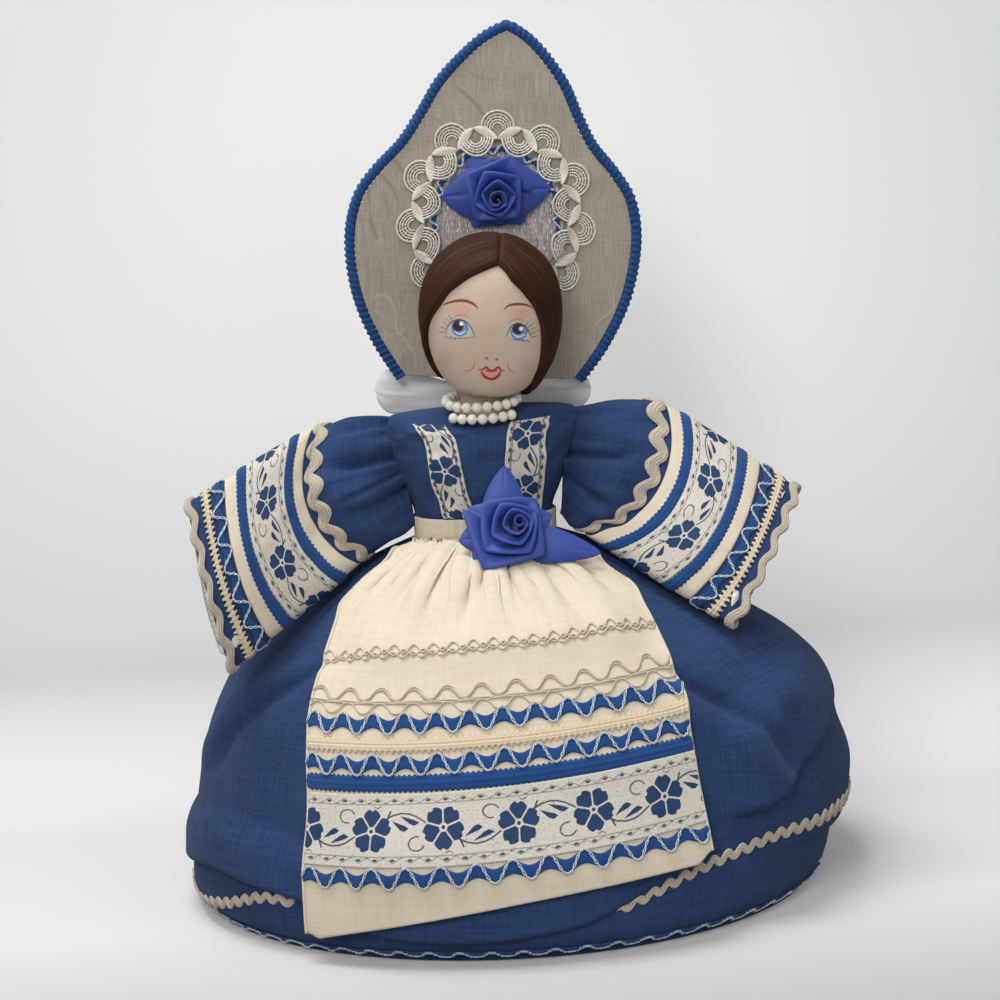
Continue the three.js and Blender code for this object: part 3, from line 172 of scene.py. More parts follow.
class PieceMesh:
    """Collects the points, faces, cloth coordinates and painted values of one piece."""

    def __init__(self, name: str) -> None:
        """Starts an empty piece with its name.

        Args:
            name: The node that it stands for.
        """
        self.name = name
        self.points: list[Array] = []
        self.faces: list[list[int]] = []
        self.cloth: list[Array] = []
        self.finish_of: list[int] = []
        self.painted: list[tuple[int, int, dict[str, Array]]] = []
        self.count = 0

    def shell(
        self,
        points: Array,
        cloth: Array | None = None,
        rows_close: bool = False,
        columns_close: bool = False,
        caps: Caps = Caps.NONE,
        finish: int = 0,
        painted: dict[str, Array] | None = None,
    ) -> None:
        """Adds a grid of points whose rows climb and whose columns run to the right, seen from outside.

        Args:
            points: Rows by columns by three, in mm. Where a side closes, its last line repeats the first.
            cloth: Rows by columns by two, the place on the cloth in mm.
            rows_close: True where the last row is the first one.
            columns_close: True where the last column is the first one.
            caps: Ends closes the first and last columns, poles the first and last rows.
            finish: Which of the piece's finishes these faces have.
            painted: Values held at the points, by name.
        """
        rows, columns = points.shape[:2]
        if cloth is None:
            cloth = np.zeros((rows, columns, 2))
        kept = (slice(0, rows - rows_close), slice(0, columns - columns_close))
        flat = points[kept].reshape(-1, 3)
        index = self.count + np.arange(len(flat)).reshape(points[kept].shape[:2])
        if rows_close:
            index = np.vstack([index, index[:1]])
        if columns_close:
            index = np.hstack([index, index[:, :1]])
        quads = corners(index).reshape(-1, 4)
        self.faces += quads.tolist()
        self.cloth.append(corners(cloth).reshape(-1, 2))
        self.points.append(flat)
        values = {name: grid[kept].reshape(len(flat), -1) for name, grid in (painted or {}).items()}
        self.painted.append((self.count, len(flat), values))
        self.count += len(flat)
        made = len(quads)
        if caps is Caps.ENDS:
            made += self._fan(index[:, 0], points[:, 0], cloth[:, 0], False)
            made += self._fan(index[:, -1], points[:, -1], cloth[:, -1], True)
        elif caps is Caps.POLES:
            made += self._fan(index[0], points[0], cloth[0], True)
            made += self._fan(index[-1], points[-1], cloth[-1], False)
        self.finish_of += [finish] * made

    def slab(self, near: Array, far: Array, cloth: Array, painted: dict[str, Array] | None = None) -> None:
        """Adds a sheet with two faces, joined along its four edges.

        Args:
            near: The outer face, rows by columns by three, as in shell.
            far: The inner face, of the same shape.
            cloth: Rows by columns by two, the place on the cloth in mm.
            painted: Values held at the points of the outer face, by name.
        """
        size = near.shape[0] * near.shape[1]
        front = self.count + np.arange(size).reshape(near.shape[:2])
        back = front + size
        edge = np.concatenate([front[0, :-1], front[:-1, -1], front[-1, :0:-1], front[:0:-1, 0]])
        after = np.roll(edge, -1)
        sides = np.stack([after, edge, edge + size, after + size], axis=1)
        quads = np.concatenate([corners(front).reshape(-1, 4), corners(back).reshape(-1, 4)[:, ::-1], sides])
        both = np.tile(cloth.reshape(-1, 2), (2, 1))
        self.faces += quads.tolist()
        self.cloth.append(both[quads.ravel() - self.count])
        self.points.append(np.concatenate([near.reshape(-1, 3), far.reshape(-1, 3)]))
        values = {name: np.tile(grid.reshape(size, -1), (2, 1)) for name, grid in (painted or {}).items()}
        self.painted.append((self.count, 2 * size, values))
        self.count += 2 * size
        self.finish_of += [0] * len(quads)

    def _fan(self, ring: Array, points: Array, cloth: Array, flipped: bool) -> int:
        """Closes a ring with triangles to its middle.

        Args:
            ring: Indices of its points, with the first one again at the end.
            points: The points themselves.
            cloth: Their places on the cloth.
            flipped: True to turn the triangles over.

        Returns:
            How many triangles there are.
        """
        middle = self.count
        self.points.append(points[:-1].mean(axis=0)[None])
        self.painted.append((middle, 1, {}))
        self.count += 1
        first, second = (ring[1:], ring[:-1]) if flipped else (ring[:-1], ring[1:])
        self.faces += [[int(a), int(b), middle] for a, b in zip(first, second)]
        one, two = (cloth[1:], cloth[:-1]) if flipped else (cloth[:-1], cloth[1:])
        hub = np.broadcast_to(cloth.mean(axis=0), one.shape)
        self.cloth.append(np.stack([one, two, hub], axis=1).reshape(-1, 2))
        return len(ring) - 1

    def tube(
        self,
        path: Array,
        radius: float | Array,
        sides: int = 8,
        up: Array | tuple[float, float, float] = (0, 0, 1),
        loop: bool = False,
        finish: int = 0,
    ) -> None:
        """Adds a cord: a ring at each point of a path, square to it.

        Args:
            path: Points of the middle line. A loop's last point repeats its first.
            radius: Radius, or one for each point of the path, or rings of them by sides.
            sides: Sides of each ring.
            up: Direction that one side of the cord keeps to, at all points or at each.
            loop: True where the cord closes on itself.
            finish: Which of the piece's finishes it has.
        """
        along = np.gradient(path, axis=0)
        if loop:
            along[0] = along[-1] = path[1] - path[-2]
        along = unit(along)
        side = unit(np.cross(along, np.broadcast_to(up, path.shape)))
        top = np.cross(side, along)
        turn = np.linspace(0, TAU, sides + 1)[:, None]
        reach = np.broadcast_to(radius, (sides + 1, len(path)))
        ring = np.cos(turn)[..., None] * side - np.sin(turn)[..., None] * top
        cloth = stack(run_along(path), turn * np.mean(radius))
        caps = Caps.NONE if loop else Caps.ENDS
        self.shell(path + reach[..., None] * ring, cloth, True, loop, caps, finish)

    def build(self, slot: str, *finishes: "Finish", nodes: tuple[str, ...] = ()) -> bpy.types.Object:
        """Makes the object in metres.

        Args:
            slot: The record's material slot; not used.
            finishes: Its finishes, in the order that the faces name them.
            nodes: CAD nodes that the piece stands for, or none for the node of its own name.

        Returns:
            The object, at the origin.
        """
        mesh = bpy.data.meshes.new(self.name)
        mesh.from_pydata(np.concatenate(self.points) * MM, [], self.faces)
        layer = mesh.uv_layers.new(name="cloth")
        layer.data.foreach_set("uv", np.concatenate(self.cloth).astype(np.float32).ravel())
        mesh.polygons.foreach_set("material_index", self.finish_of)
        mesh.polygons.foreach_set("use_smooth", [True] * len(self.faces))
        names = sorted({name for _, _, values in self.painted for name in values})
        for name in names:
            width = next(v[name].shape[1] for _, _, v in self.painted if name in v)
            held = np.zeros((self.count, width), np.float32)
            for start, length, values in self.painted:
                if name in values:
                    held[start : start + length] = values[name]
            kind, key = ("FLOAT", "value") if width == 1 else ("FLOAT_COLOR", "color")
            mesh.attributes.new(name, kind, "POINT").data.foreach_set(key, held.ravel())
        for finish in finishes:
            mesh.materials.append(finish.material())
        piece = bpy.data.objects.new(self.name + "_finished", mesh)
        bpy.context.scene.collection.objects.link(piece)
        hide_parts(*(nodes or (self.name,)))
        LOG.info("%s: %d points, %d faces", self.name, self.count, len(self.faces))
        return piece

    def on_doll(self, slot: str, *finishes: "Finish") -> bpy.types.Object:
        """Makes the object, which moves with the doll's body."""
        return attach(self.build(slot, *finishes), "doll")


class Surface(ABC):
    """A surface over two parameters: a runs to the right and b climbs, seen from outside."""

    step_a: float = 0.01
    step_b: float = 0.5

    @abstractmethod
    def place(self, a: Array, b: Array) -> Array:
        """Points of the surface.

        Args:
            a: The parameter that runs to the right.
            b: The parameter that climbs.

        Returns:
            Points in mm, of the shape that a and b make together.
        """

    def normal(self, a: Array, b: Array) -> Array:
        """Outward directions, from the differences of nearby points.

        Args:
            a: First coordinates on the surface.
            b: Second coordinates on the surface.

        Returns:
            Vectors of length one.
        """
        across = self.place(a + self.step_a, b) - self.place(a - self.step_a, b)
        along = self.place(a, b + self.step_b) - self.place(a, b - self.step_b)
        return unit(np.cross(across, along))

    def lifted(self, a: Array, b: Array, lift: Array | float) -> Array:
        """Points raised off the surface by lift."""
        a, b = np.broadcast_arrays(a, b)
        return self.place(a, b) + np.asarray(lift)[..., None] * self.normal(a, b)


class Track:
    """A line on a surface along which a trim is sewn. s runs along it and t climbs across it, in mm."""

    KEPT: ClassVar[float] = 0.74

    def __init__(
        self, surface: Surface, where: Callable[[Array, Array], tuple[Array, Array]], samples: int = 900
    ) -> None:
        """Measures the line.

        Args:
            surface: What the trim lies on.
            where: The surface's two parameters at a share of the line and a distance across it.
            samples: Points at which the line is measured.
        """
        self.surface = surface
        self.where = where
        self.shares = np.linspace(0, 1, samples)
        self.lengths = run_along(surface.place(*where(self.shares, np.zeros(samples))))
        self.length = float(self.lengths[-1])

    def at(self, s: Array, t: Array, lift: Array | float) -> Array:
        """Points at s along and t across the line, raised by lift."""
        return self.surface.lifted(*self.where(np.interp(s, self.lengths, self.shares), t), lift)

    def normal(self, s: Array, t: Array) -> Array:
        """Outward directions at s along and t across the line."""
        return self.surface.normal(*self.where(np.interp(s, self.lengths, self.shares), t))

    def stations(self, pitch: float) -> Array:
        """Evenly spread distances from end to end, the kept share of those that lie pitch apart."""
        return np.linspace(0, self.length, max(int(round(self.KEPT * self.length / pitch)), 4) + 1)

    def repeats(self, pitch: float) -> float:
        """The pitch nearest to the one given that fits the line a whole number of times."""
        return self.length / max(round(self.length / pitch), 1)


def hexed(text: str) -> tuple[float, float, float, float]:
    """Linear colour of a written colour such as 25406f.

    Args:
        text: Six hexadecimal digits, as 25406f.

    Returns:
        Red, green, blue and alpha.
    """
    parts = [int(text[i : i + 2], 16) / 255 for i in (0, 2, 4)]
    linear = [c / 12.92 if c <= 0.04045 else ((c + 0.055) / 1.055) ** 2.4 for c in parts]
    return (*linear, 1.0)


class Tree:
    """Short hand for laying nodes in one node tree."""

    def __init__(self, tree: bpy.types.NodeTree) -> None:
        """Holds the tree."""
        self.tree = tree

    def add(self, kind: str, inputs: dict | None = None, **settings: object) -> bpy.types.Node:
        """Adds a node.

        Args:
            kind: The node's type without its ShaderNode prefix.
            inputs: Sockets to link or plain values, by the input's name or number.
            settings: The node's own settings.

        Returns:
            The node.
        """
        node = self.tree.nodes.new("ShaderNode" + kind)
        for name, value in settings.items():
            setattr(node, name, value)
        for name, value in (inputs or {}).items():
            if isinstance(value, bpy.types.NodeSocket):
                self.tree.links.new(value, node.inputs[name])
            else:
                node.inputs[name].default_value = value
        return node

    def math(self, operation: str, a: Socket | float, b: Socket | float = 0.0) -> Socket:
        """Output of a math node."""
        return self.add("Math", {0: a, 1: b}, operation=operation).outputs[0]

    def mix(self, share: Socket | float, a: Socket | tuple, b: Socket | tuple, how: str = "MIX") -> Socket:
        """Colour at share of the way from a to b."""
        node = self.add("Mix", {0: share, 6: a, 7: b}, data_type="RGBA", blend_type=how)
        return node.outputs[2]

    def rescale(self, value: Socket, low: float, high: float, at: float = 0.0, to: float = 1.0) -> Socket:
        """Value brought from between low and high to between at and to, and held there."""
        return self.add("MapRange", {0: value, 1: low, 2: high, 3: at, 4: to}).outputs[0]

    def noise(self, place: Socket, scale: float, detail: float = 2.0, roughness: float = 0.5) -> Socket:
        """Noise value, with scale in swings per millimetre."""
        inputs = {"Vector": place, "Scale": scale, "Detail": detail, "Roughness": roughness}
        return self.add("TexNoise", inputs).outputs["Fac"]

    def stretched(self, place: Socket, scale: tuple[float, float, float]) -> Socket:
        """Coordinates multiplied by a scale on each axis."""
        return self.add("Mapping", {"Vector": place, "Scale": scale}).outputs[0]

    def object_place(self) -> Socket:
        """Object coordinates in millimetres."""
        return self.stretched(self.add("TexCoord").outputs["Object"], (1000, 1000, 1000))

    def cloth_place(self) -> Socket:
        """The piece's cloth coordinates in millimetres."""
        return self.add("UVMap", uv_map="cloth").outputs[0]

    def split(self, place: Socket) -> list[Socket]:
        """The x, y and z of a vector."""
        return list(self.add("SeparateXYZ", {0: place}).outputs)

    def value(self, name: str) -> Socket:
        """A value painted on the piece."""
        return self.add("Attribute", attribute_name=name).outputs["Fac"]

    def bump(self, height: Socket, strength: float, distance: float) -> Socket:
        """Normal of a surface with that height, whose full swing is distance in mm."""
        inputs = {"Height": height, "Strength": strength, "Distance": distance * MM}
        return self.add("Bump", inputs).outputs[0]


def node_group(
    name: str, inputs: dict[str, float | None], outputs: list[str]
) -> tuple[Tree, dict, bpy.types.Node]:
    """Starts a shared node group.

    Args:
        name: The group's name.
        inputs: Names of its inputs, with a default, or None for a vector.
        outputs: Names of its outputs, which are all values.

    Returns:
        Its tree, its inputs by name, and the node that takes its outputs.
    """
    tree = bpy.data.node_groups.new(name, "ShaderNodeTree")
    for key, default in inputs.items():
        kind = "NodeSocketVector" if default is None else "NodeSocketFloat"
        socket = tree.interface.new_socket(name=key, in_out="INPUT", socket_type=kind)
        if default is not None:
            socket.default_value = default
    for key in outputs:
        tree.interface.new_socket(name=key, in_out="OUTPUT", socket_type="NodeSocketFloat")
    start = tree.nodes.new("NodeGroupInput")
    end = tree.nodes.new("NodeGroupOutput")
    return Tree(tree), {key: start.outputs[key] for key in inputs}, end


def make_weave() -> bpy.types.NodeTree:
    """Plain weave: warp and weft threads that pass over each other in turn, with uneven slubs.

    Returns:
        The group.
    """
    inputs = {"Place": None, "Pitch": 0.8, "Slub": 0.5}
    t, given, end = node_group("plain_weave", inputs, ["Height", "Slubs"])
    wander = t.noise(t.stretched(given["Place"], (0.11, 0.11, 0.11)), 1.0, 1.0)
    x, y, _ = t.split(given["Place"])
    bend = t.math("MULTIPLY", t.math("SUBTRACT", wander, 0.5), 2.4)
    warp = t.math("DIVIDE", t.math("ADD", x, bend), given["Pitch"])
    weft = t.math("DIVIDE", t.math("ADD", y, bend), given["Pitch"])
    warp_wave = t.math("SINE", t.math("MULTIPLY", warp, math.pi))
    weft_wave = t.math("SINE", t.math("MULTIPLY", weft, math.pi))
    over = t.rescale(t.math("MULTIPLY", warp_wave, weft_wave), -0.25, 0.25)
    up_warp = t.math("MULTIPLY", t.math("ABSOLUTE", warp_wave), over)
    up_weft = t.math("MULTIPLY", t.math("ABSOLUTE", weft_wave), t.math("SUBTRACT", 1.0, over))
    plait = t.math("ADD", up_warp, up_weft)
    long_way = t.noise(t.stretched(given["Place"], (0.05, 0.9, 0.9)), 1.0, 2.0)
    cross_way = t.noise(t.stretched(given["Place"], (0.9, 0.05, 0.9)), 1.0, 2.0)
    slubs = t.rescale(t.math("ADD", long_way, cross_way), 0.75, 1.3)
    height = t.math("ADD", plait, t.math("MULTIPLY", slubs, given["Slub"]))
    t.tree.links.new(height, end.inputs["Height"])
    t.tree.links.new(slubs, end.inputs["Slubs"])
    return t.tree


def make_yarn() -> bpy.types.NodeTree:
    """Twisted yarn: plies that run aslant round a cord, with loose fibres.

    Returns:
        The group.
    """
    inputs = {"Place": None, "Twist": 1.0, "Fuzz": 0.4}
    t, given, end = node_group("twisted_yarn", inputs, ["Height", "Fibres"])
    x, y, _ = t.split(given["Place"])
    slant = t.math("DIVIDE", t.math("ADD", x, y), given["Twist"])
    ply = t.math("ABSOLUTE", t.math("SINE", t.math("MULTIPLY", slant, math.pi)))
    fibres = t.noise(given["Place"], 2.6, 3.0, 0.6)
    height = t.math("ADD", ply, t.math("MULTIPLY", fibres, given["Fuzz"]))
    t.tree.links.new(height, end.inputs["Height"])
    t.tree.links.new(fibres, end.inputs["Fibres"])
    return t.tree


def make_wear() -> bpy.types.NodeTree:
    """Broad soft patches with a finer grain in them: wear and fading on most finishes, and painted sheen on
    satin.

    Returns:
        The group.
    """
    t, given, end = node_group("wear", {"Place": None, "Size": 30.0}, ["Patches", "Grain"])
    scaled = t.add("VectorMath", {0: given["Place"]}, operation="SCALE")
    t.tree.links.new(t.math("DIVIDE", 1.0, given["Size"]), scaled.inputs["Scale"])
    broad = t.noise(scaled.outputs[0], 1.0, 3.0, 0.55)
    t.tree.links.new(t.rescale(broad, 0.35, 0.68), end.inputs["Patches"])
    t.tree.links.new(t.noise(given["Place"], 0.9, 4.0, 0.65), end.inputs["Grain"])
    return t.tree


@dataclass(frozen=True)
class Finish(ABC):
    """A finish of the doll: its name and its own colour."""

    name: str
    colour: str
    roughness: float = 0.8

    GROUPS: ClassVar[dict[str, bpy.types.NodeTree]] = {}
    MADE: ClassVar[dict[str, bpy.types.Material]] = {}

    def group(self, t: Tree, name: str, **inputs: Socket | float) -> bpy.types.Node:
        """Places a shared group in the material with its own values.

        Args:
            t: The material's node tree.
            name: Name of the group.
            inputs: Values or sockets for the group's inputs.

        Returns:
            The group's node in that tree.
        """
        makers = {"weave": make_weave, "yarn": make_yarn, "wear": make_wear}
        if name not in Finish.GROUPS:
            Finish.GROUPS[name] = makers[name]()
        return t.add("Group", inputs, node_tree=Finish.GROUPS[name])

    def material(self) -> bpy.types.Material:
        """The finish as a material, made once.

        Returns:
            The material.
        """
        if self.name in Finish.MADE:
            return Finish.MADE[self.name]
        made = Finish.MADE[self.name] = bpy.data.materials.new(self.name + "_look")
        made.use_nodes = True
        shader = made.node_tree.nodes["Principled BSDF"]
        shader.inputs["Base Color"].default_value = hexed(self.colour)
        shader.inputs["Roughness"].default_value = self.roughness
        self.dress(Tree(made.node_tree), shader)
        return made

    @abstractmethod
    def dress(self, t: Tree, shader: bpy.types.Node) -> None:
        """Lays the nodes of the finish.

        Args:
            t: The material's tree.
            shader: Its shader, which already has the colour and the roughness.
        """

    @staticmethod
    def feed(t: Tree, shader: bpy.types.Node, **sockets: Socket) -> None:
        """Links sockets to the shader: colour, roughness, normal or metallic.

        Args:
            t: The material's node tree.
            shader: Its surface shader.
            sockets: The sockets, by what they feed.
        """
        keys = {"colour": "Base Color", "roughness": "Roughness", "normal": "Normal", "metallic": "Metallic"}
        for key, socket in sockets.items():
            t.tree.links.new(socket, shader.inputs[keys[key]])


@dataclass(frozen=True)
class Linen(Finish):
    """Plain woven linen with slubs, fading and creases."""

    faded: str = "3b5a8c"
    dark: str = "182c52"
    pitch: float = 0.85
    relief: float = 0.18
    by_cloth: bool = True

    def dress(self, t: Tree, shader: bpy.types.Node) -> None:
        """Weave from the cloth coordinates, and patches of wear from the piece's own place.

        Args:
            t: The material's node tree.
            shader: Its surface shader.
        """
        place = t.cloth_place() if self.by_cloth else t.object_place()
        weave = self.group(t, "weave", Place=place, Pitch=self.pitch, Slub=0.7)
        wear = self.group(t, "wear", Place=t.object_place(), Size=42.0)
        slubs = t.rescale(weave.outputs["Slubs"], 0.1, 0.9, 0.0, 0.55)
        base = t.mix(slubs, hexed(self.colour), hexed(self.faded))
        base = t.mix(t.rescale(weave.outputs["Height"], 0.15, 0.9, 0.5, 0.0), base, hexed(self.dark))
        share = t.math("MULTIPLY", wear.outputs["Patches"], 0.35)
        colour = t.mix(share, base, hexed(self.faded))
        normal = t.bump(weave.outputs["Height"], 0.55, self.relief)
        grain = t.rescale(wear.outputs["Grain"], 0.3, 0.7, self.roughness - 0.08, self.roughness + 0.1)
        shader.inputs["Sheen Weight"].default_value = 0.05
        shader.inputs["Sheen Roughness"].default_value = 0.5
        shader.inputs["Specular IOR Level"].default_value = 0.25
        self.feed(t, shader, colour=colour, roughness=grain, normal=normal)


NAVY = Linen("navy_linen", "22385f", 0.9, "324b78", "121d38")
CREAM = Linen("cream_linen", "d9cbb4", 0.88, "e0d5c1", "bfae92", 0.7, 0.1)
COTTON = Linen("white_cotton", "e9e6de", 0.9, "f2f0ea", "cfcabd", 0.5, 0.06, False)
SKIN = Linen("face_cloth", "cdb7a4", 0.7, "d3bfad", "c3ab96", 0.35, 0.02, False)


@dataclass(frozen=True)
class Satin(Finish):
    """Satin ribbon: a tight sheen with fine ribs across it."""

    # lighter colour of the patches of painted sheen
    light: str = "4a63d0"

    def dress(self, t: Tree, shader: bpy.types.Node) -> None:
        """Fine ribs from the cloth coordinates, with soft patches of painted sheen in the lighter colour.

        Args:
            t: The material's node tree.
            shader: Its surface shader.
        """
        place = t.cloth_place()
        ribs = t.noise(t.stretched(place, (0.3, 5.0, 1.0)), 1.0, 2.0)
        # painted sheen: the wear group's soft patches bring the satin a quarter of the way to its lighter
        # colour
        wear = self.group(t, "wear", Place=t.object_place(), Size=9.0)
        share = t.math("MULTIPLY", wear.outputs["Patches"], 0.25)
        colour = t.mix(share, hexed(self.colour), hexed(self.light))
        shader.inputs["Sheen Weight"].default_value = 0.25
        shader.inputs["Sheen Roughness"].default_value = 0.35
        self.feed(t, shader, colour=colour, normal=t.bump(ribs, 0.3, 0.12))


# the last colour of each satin is that of its painted sheen
BLUE_SATIN = Satin("blue_satin", "243f92", 0.5, "3a57b4")
WHITE_SATIN = Satin("white_satin", "f0efeb", 0.4, "f8f7f4")


@dataclass(frozen=True)
class Yarn(Finish):
    """Twisted yarn or braid, with plies and fibres."""

    deep: str = "0c3470"
    twist: float = 1.1
    metal: float = 0.0
    relief: float = 0.3

    def dress(self, t: Tree, shader: bpy.types.Node) -> None:
        """Plies from the cloth coordinates, darker between them.

        Args:
            t: The material's node tree.
            shader: Its surface shader.
        """
        yarn = self.group(t, "yarn", Place=t.cloth_place(), Twist=self.twist, Fuzz=0.6)
        share = t.rescale(yarn.outputs["Height"], 0.2, 1.0, 0.75, 0.0)
        colour = t.mix(share, hexed(self.colour), hexed(self.deep))
        shader.inputs["Metallic"].default_value = self.metal
        shader.inputs["Sheen Weight"].default_value = 0.15
        self.feed(t, shader, colour=colour, normal=t.bump(yarn.outputs["Height"], 0.7, self.relief))


GIMP = Yarn("blue_gimp", "09488a", 0.9, "042448", 1.2)
SILVER = Yarn("silver_cord", "d5d8da", 0.5, "98a0a8", 1.3, 0.15, 0.25)
RICKRACK = Yarn("silver_rickrack", "cabdab", 0.75, "93867a", 1.2, 0.05)
LACE = Yarn("cream_lace", "dccfb8", 0.85, "ac9c80", 0.9)
WHITE_LACE = Yarn("white_lace", "ece6da", 0.85, "c6bcab", 0.9)
CREAM_BRAID = Yarn("cream_braid", "ead9bb", 0.85, "bfa882", 0.9)
BATTING = Yarn("batting", "efece4", 0.95, "d8d3c8", 3.0)
# its last colour is that of its painted sheen on the beads
PEARL = Satin("pearl_bead", "e6e0d4", 0.3, "f1ede4")


@dataclass(frozen=True)
class Strands(Finish):
    """Smooth combed hair: fine strands that differ a little in colour and lie in low ridges."""

    deep: str = "1d0e07"
    light: str = "5e3c26"

    def dress(self, t: Tree, shader: bpy.types.Node) -> None:
        """Noise drawn out along the strands, which run along the cloth's first coordinate.

        Args:
            t: The material's node tree.
            shader: Its surface shader.
        """
        place = t.cloth_place()
        fine = t.noise(t.stretched(place, (0.035, 3.2, 1.0)), 1.0, 3.0, 0.65)
        broad = t.noise(t.stretched(place, (0.02, 0.55, 1.0)), 1.0, 2.0)
        colour = t.mix(t.rescale(fine, 0.34, 0.62), hexed(self.deep), hexed(self.colour))
        share = t.math("MULTIPLY", t.rescale(fine, 0.5, 0.7), t.rescale(broad, 0.4, 0.65))
        colour = t.mix(share, colour, hexed(self.light))
        height = t.math("ADD", fine, broad)
        shader.inputs["Specular IOR Level"].default_value = 0.14
        self.feed(t, shader, colour=colour, normal=t.bump(height, 0.7, 0.35))


HAIR = Strands("brown_hair", "442816", 0.6)


def over_paint(t: Tree, colour: Socket) -> Socket:
    """Colour with the piece's painted strokes laid over it."""
    paint = t.add("Attribute", attribute_name="paint")
    return t.mix(paint.outputs["Alpha"], colour, paint.outputs["Color"])


@dataclass(frozen=True)
class FaceCloth(Finish):
    """Fine smooth cloth of the face, with the features painted on it."""

    def dress(self, t: Tree, shader: bpy.types.Node) -> None:
        """Faint threads under the paint.

        Args:
            t: The material's node tree.
            shader: Its surface shader.
        """
        weave = self.group(t, "weave", Place=t.object_place(), Pitch=0.4, Slub=0.2)
        wear = self.group(t, "wear", Place=t.object_place(), Size=16.0)
        ground = t.mix(t.math("MULTIPLY", wear.outputs["Patches"], 0.3), hexed(self.colour), hexed("c4ac98"))
        self.feed(t, shader, colour=over_paint(t, ground), normal=t.bump(weave.outputs["Height"], 0.3, 0.02))


FACE = FaceCloth("painted_face", "cdb7a4", 0.62)


@dataclass(frozen=True)
class Brocade(Finish):
    """Silver-grey brocade: fine upright threads, fainter cross threads, and a woven pattern."""

    dark: str = "857a6e"
    light: str = "c3b9ad"

    def dress(self, t: Tree, shader: bpy.types.Node) -> None:
        """Threads from the cloth coordinates, under the painted pattern.

        Args:
            t: The material's node tree.
            shader: Its surface shader.
        """
        place = t.cloth_place()
        upright = t.noise(t.stretched(place, (2.6, 0.07, 1.0)), 1.0, 3.0, 0.7)
        cross = t.noise(t.stretched(place, (0.09, 3.0, 1.0)), 1.0, 2.0, 0.6)
        wear = self.group(t, "wear", Place=t.object_place(), Size=24.0)
        threads = t.math("ADD", t.math("MULTIPLY", upright, 0.68), t.math("MULTIPLY", cross, 0.32))
        colour = t.mix(t.rescale(threads, 0.5, 0.36, 0.0, 0.9), hexed(self.colour), hexed(self.dark))
        colour = t.mix(t.rescale(threads, 0.52, 0.66, 0.0, 0.8), colour, hexed(self.light))
        colour = t.mix(t.math("MULTIPLY", wear.outputs["Patches"], 0.2), colour, hexed(self.dark))
        self.feed(t, shader, colour=over_paint(t, colour), normal=t.bump(threads, 0.6, 0.12))


BROCADE = Brocade("silver_brocade", "a89c8f", 0.62)


@dataclass(frozen=True)
class Lame(Finish):
    """Silver lame: pinkish grey gauze with upright threads of metal, and painted glints on them."""

    dark: str = "7f7375"
    light: str = "c8bdbb"

    def dress(self, t: Tree, shader: bpy.types.Node) -> None:
        """Upright threads, and short painted glints of near-white on some of them, which are a little
        metallic too.

        Args:
            t: The material's node tree.
            shader: Its surface shader.
        """
        place = t.cloth_place()
        threads = t.noise(t.stretched(place, (1.7, 0.12, 1.0)), 1.0, 3.0, 0.75)
        glint = t.rescale(t.noise(t.stretched(place, (2.3, 0.4, 1.0)), 1.0, 1.0), 0.6, 0.66)
        colour = t.mix(t.rescale(threads, 0.36, 0.62), hexed(self.dark), hexed(self.light))
        # painted glints: short near-white streaks mixed into the colour
        colour = t.mix(glint, colour, hexed("f4f1ee"))
        shine = t.math("MULTIPLY", glint, 0.35)
        self.feed(t, shader, colour=colour, metallic=shine, normal=t.bump(threads, 0.9, 0.35))


LAME = Lame("silver_lame", "b0a4a2", 0.4)


class Mark(ABC):
    """A painted mark of one colour."""

    @abstractmethod
    def cover(self, x: Array, y: Array) -> Array:
        """How far the mark covers the cloth.

        Args:
            x: Places across the cloth in mm.
            y: Places up the cloth in mm.

        Returns:
            Shares of the mark's colour, from 0 to 1.
        """


@dataclass(frozen=True)
class Stroke(Mark):
    """A painted stroke: a smooth line of points with a half-width that tapers to both ends."""

    points: tuple[tuple[float, float], ...]
    half: float
    colour: str
    taper: float = 0.35
    strength: float = 1.0
    soft: float = 0.14

    def cover(self, x: Array, y: Array) -> Array:
        """Cover from the distance to the nearest piece of the line, less the half-width there.

        Args:
            x: Places across.
            y: Places up.

        Returns:
            Share of the colour at each place, from 0 to 1.
        """
        count = len(self.points)
        line = between(np.array(self.points, float), np.linspace(0, count - 1, 8 * count))
        best = np.full(x.shape, 99.0)
        reach = self.half + 2 * self.soft + 1
        low, high = line.min(axis=0) - reach, line.max(axis=0) + reach
        near = (x > low[0]) & (x < high[0]) & (y > low[1]) & (y < high[1])
        px, py = x[near], y[near]
        found = np.full(px.shape, 99.0)
        steps = len(line) - 1
        for k in range(steps):
            (ax, ay), (bx, by) = line[k], line[k + 1]
            length = max((bx - ax) ** 2 + (by - ay) ** 2, 1e-9)
            along = np.clip(((px - ax) * (bx - ax) + (py - ay) * (by - ay)) / length, 0, 1)
            middle = 1 - np.abs(2 * (k + along) / steps - 1) ** 2
            half = self.half * mix(self.taper, 1.0, middle)
            off = np.hypot(px - ax - along * (bx - ax), py - ay - along * (by - ay)) - half
            found = np.minimum(found, off)
        best[near] = found
        return self.strength * smooth(-best, -self.soft, self.soft)


@dataclass(frozen=True)
class Spot(Mark):
    """A painted ellipse, filled to a soft edge, or a ring where it has a rim."""

    middle: tuple[float, float]
    radii: tuple[float, float]
    colour: str
    strength: float = 1.0
    soft: float = 0.14
    rim: float = 0.0

    def cover(self, x: Array, y: Array) -> Array:
        """Cover from the distance to the ellipse.

        Args:
            x: Places across.
            y: Places up.

        Returns:
            Share of the colour at each place, from 0 to 1.
        """
        across, up = (x - self.middle[0]) / self.radii[0], (y - self.middle[1]) / self.radii[1]
        off = (np.hypot(across, up) - 1) * min(self.radii)
        if self.rim:
            off = np.abs(off + self.rim / 2) - self.rim / 2
        return self.strength * smooth(-off, -self.soft, self.soft)


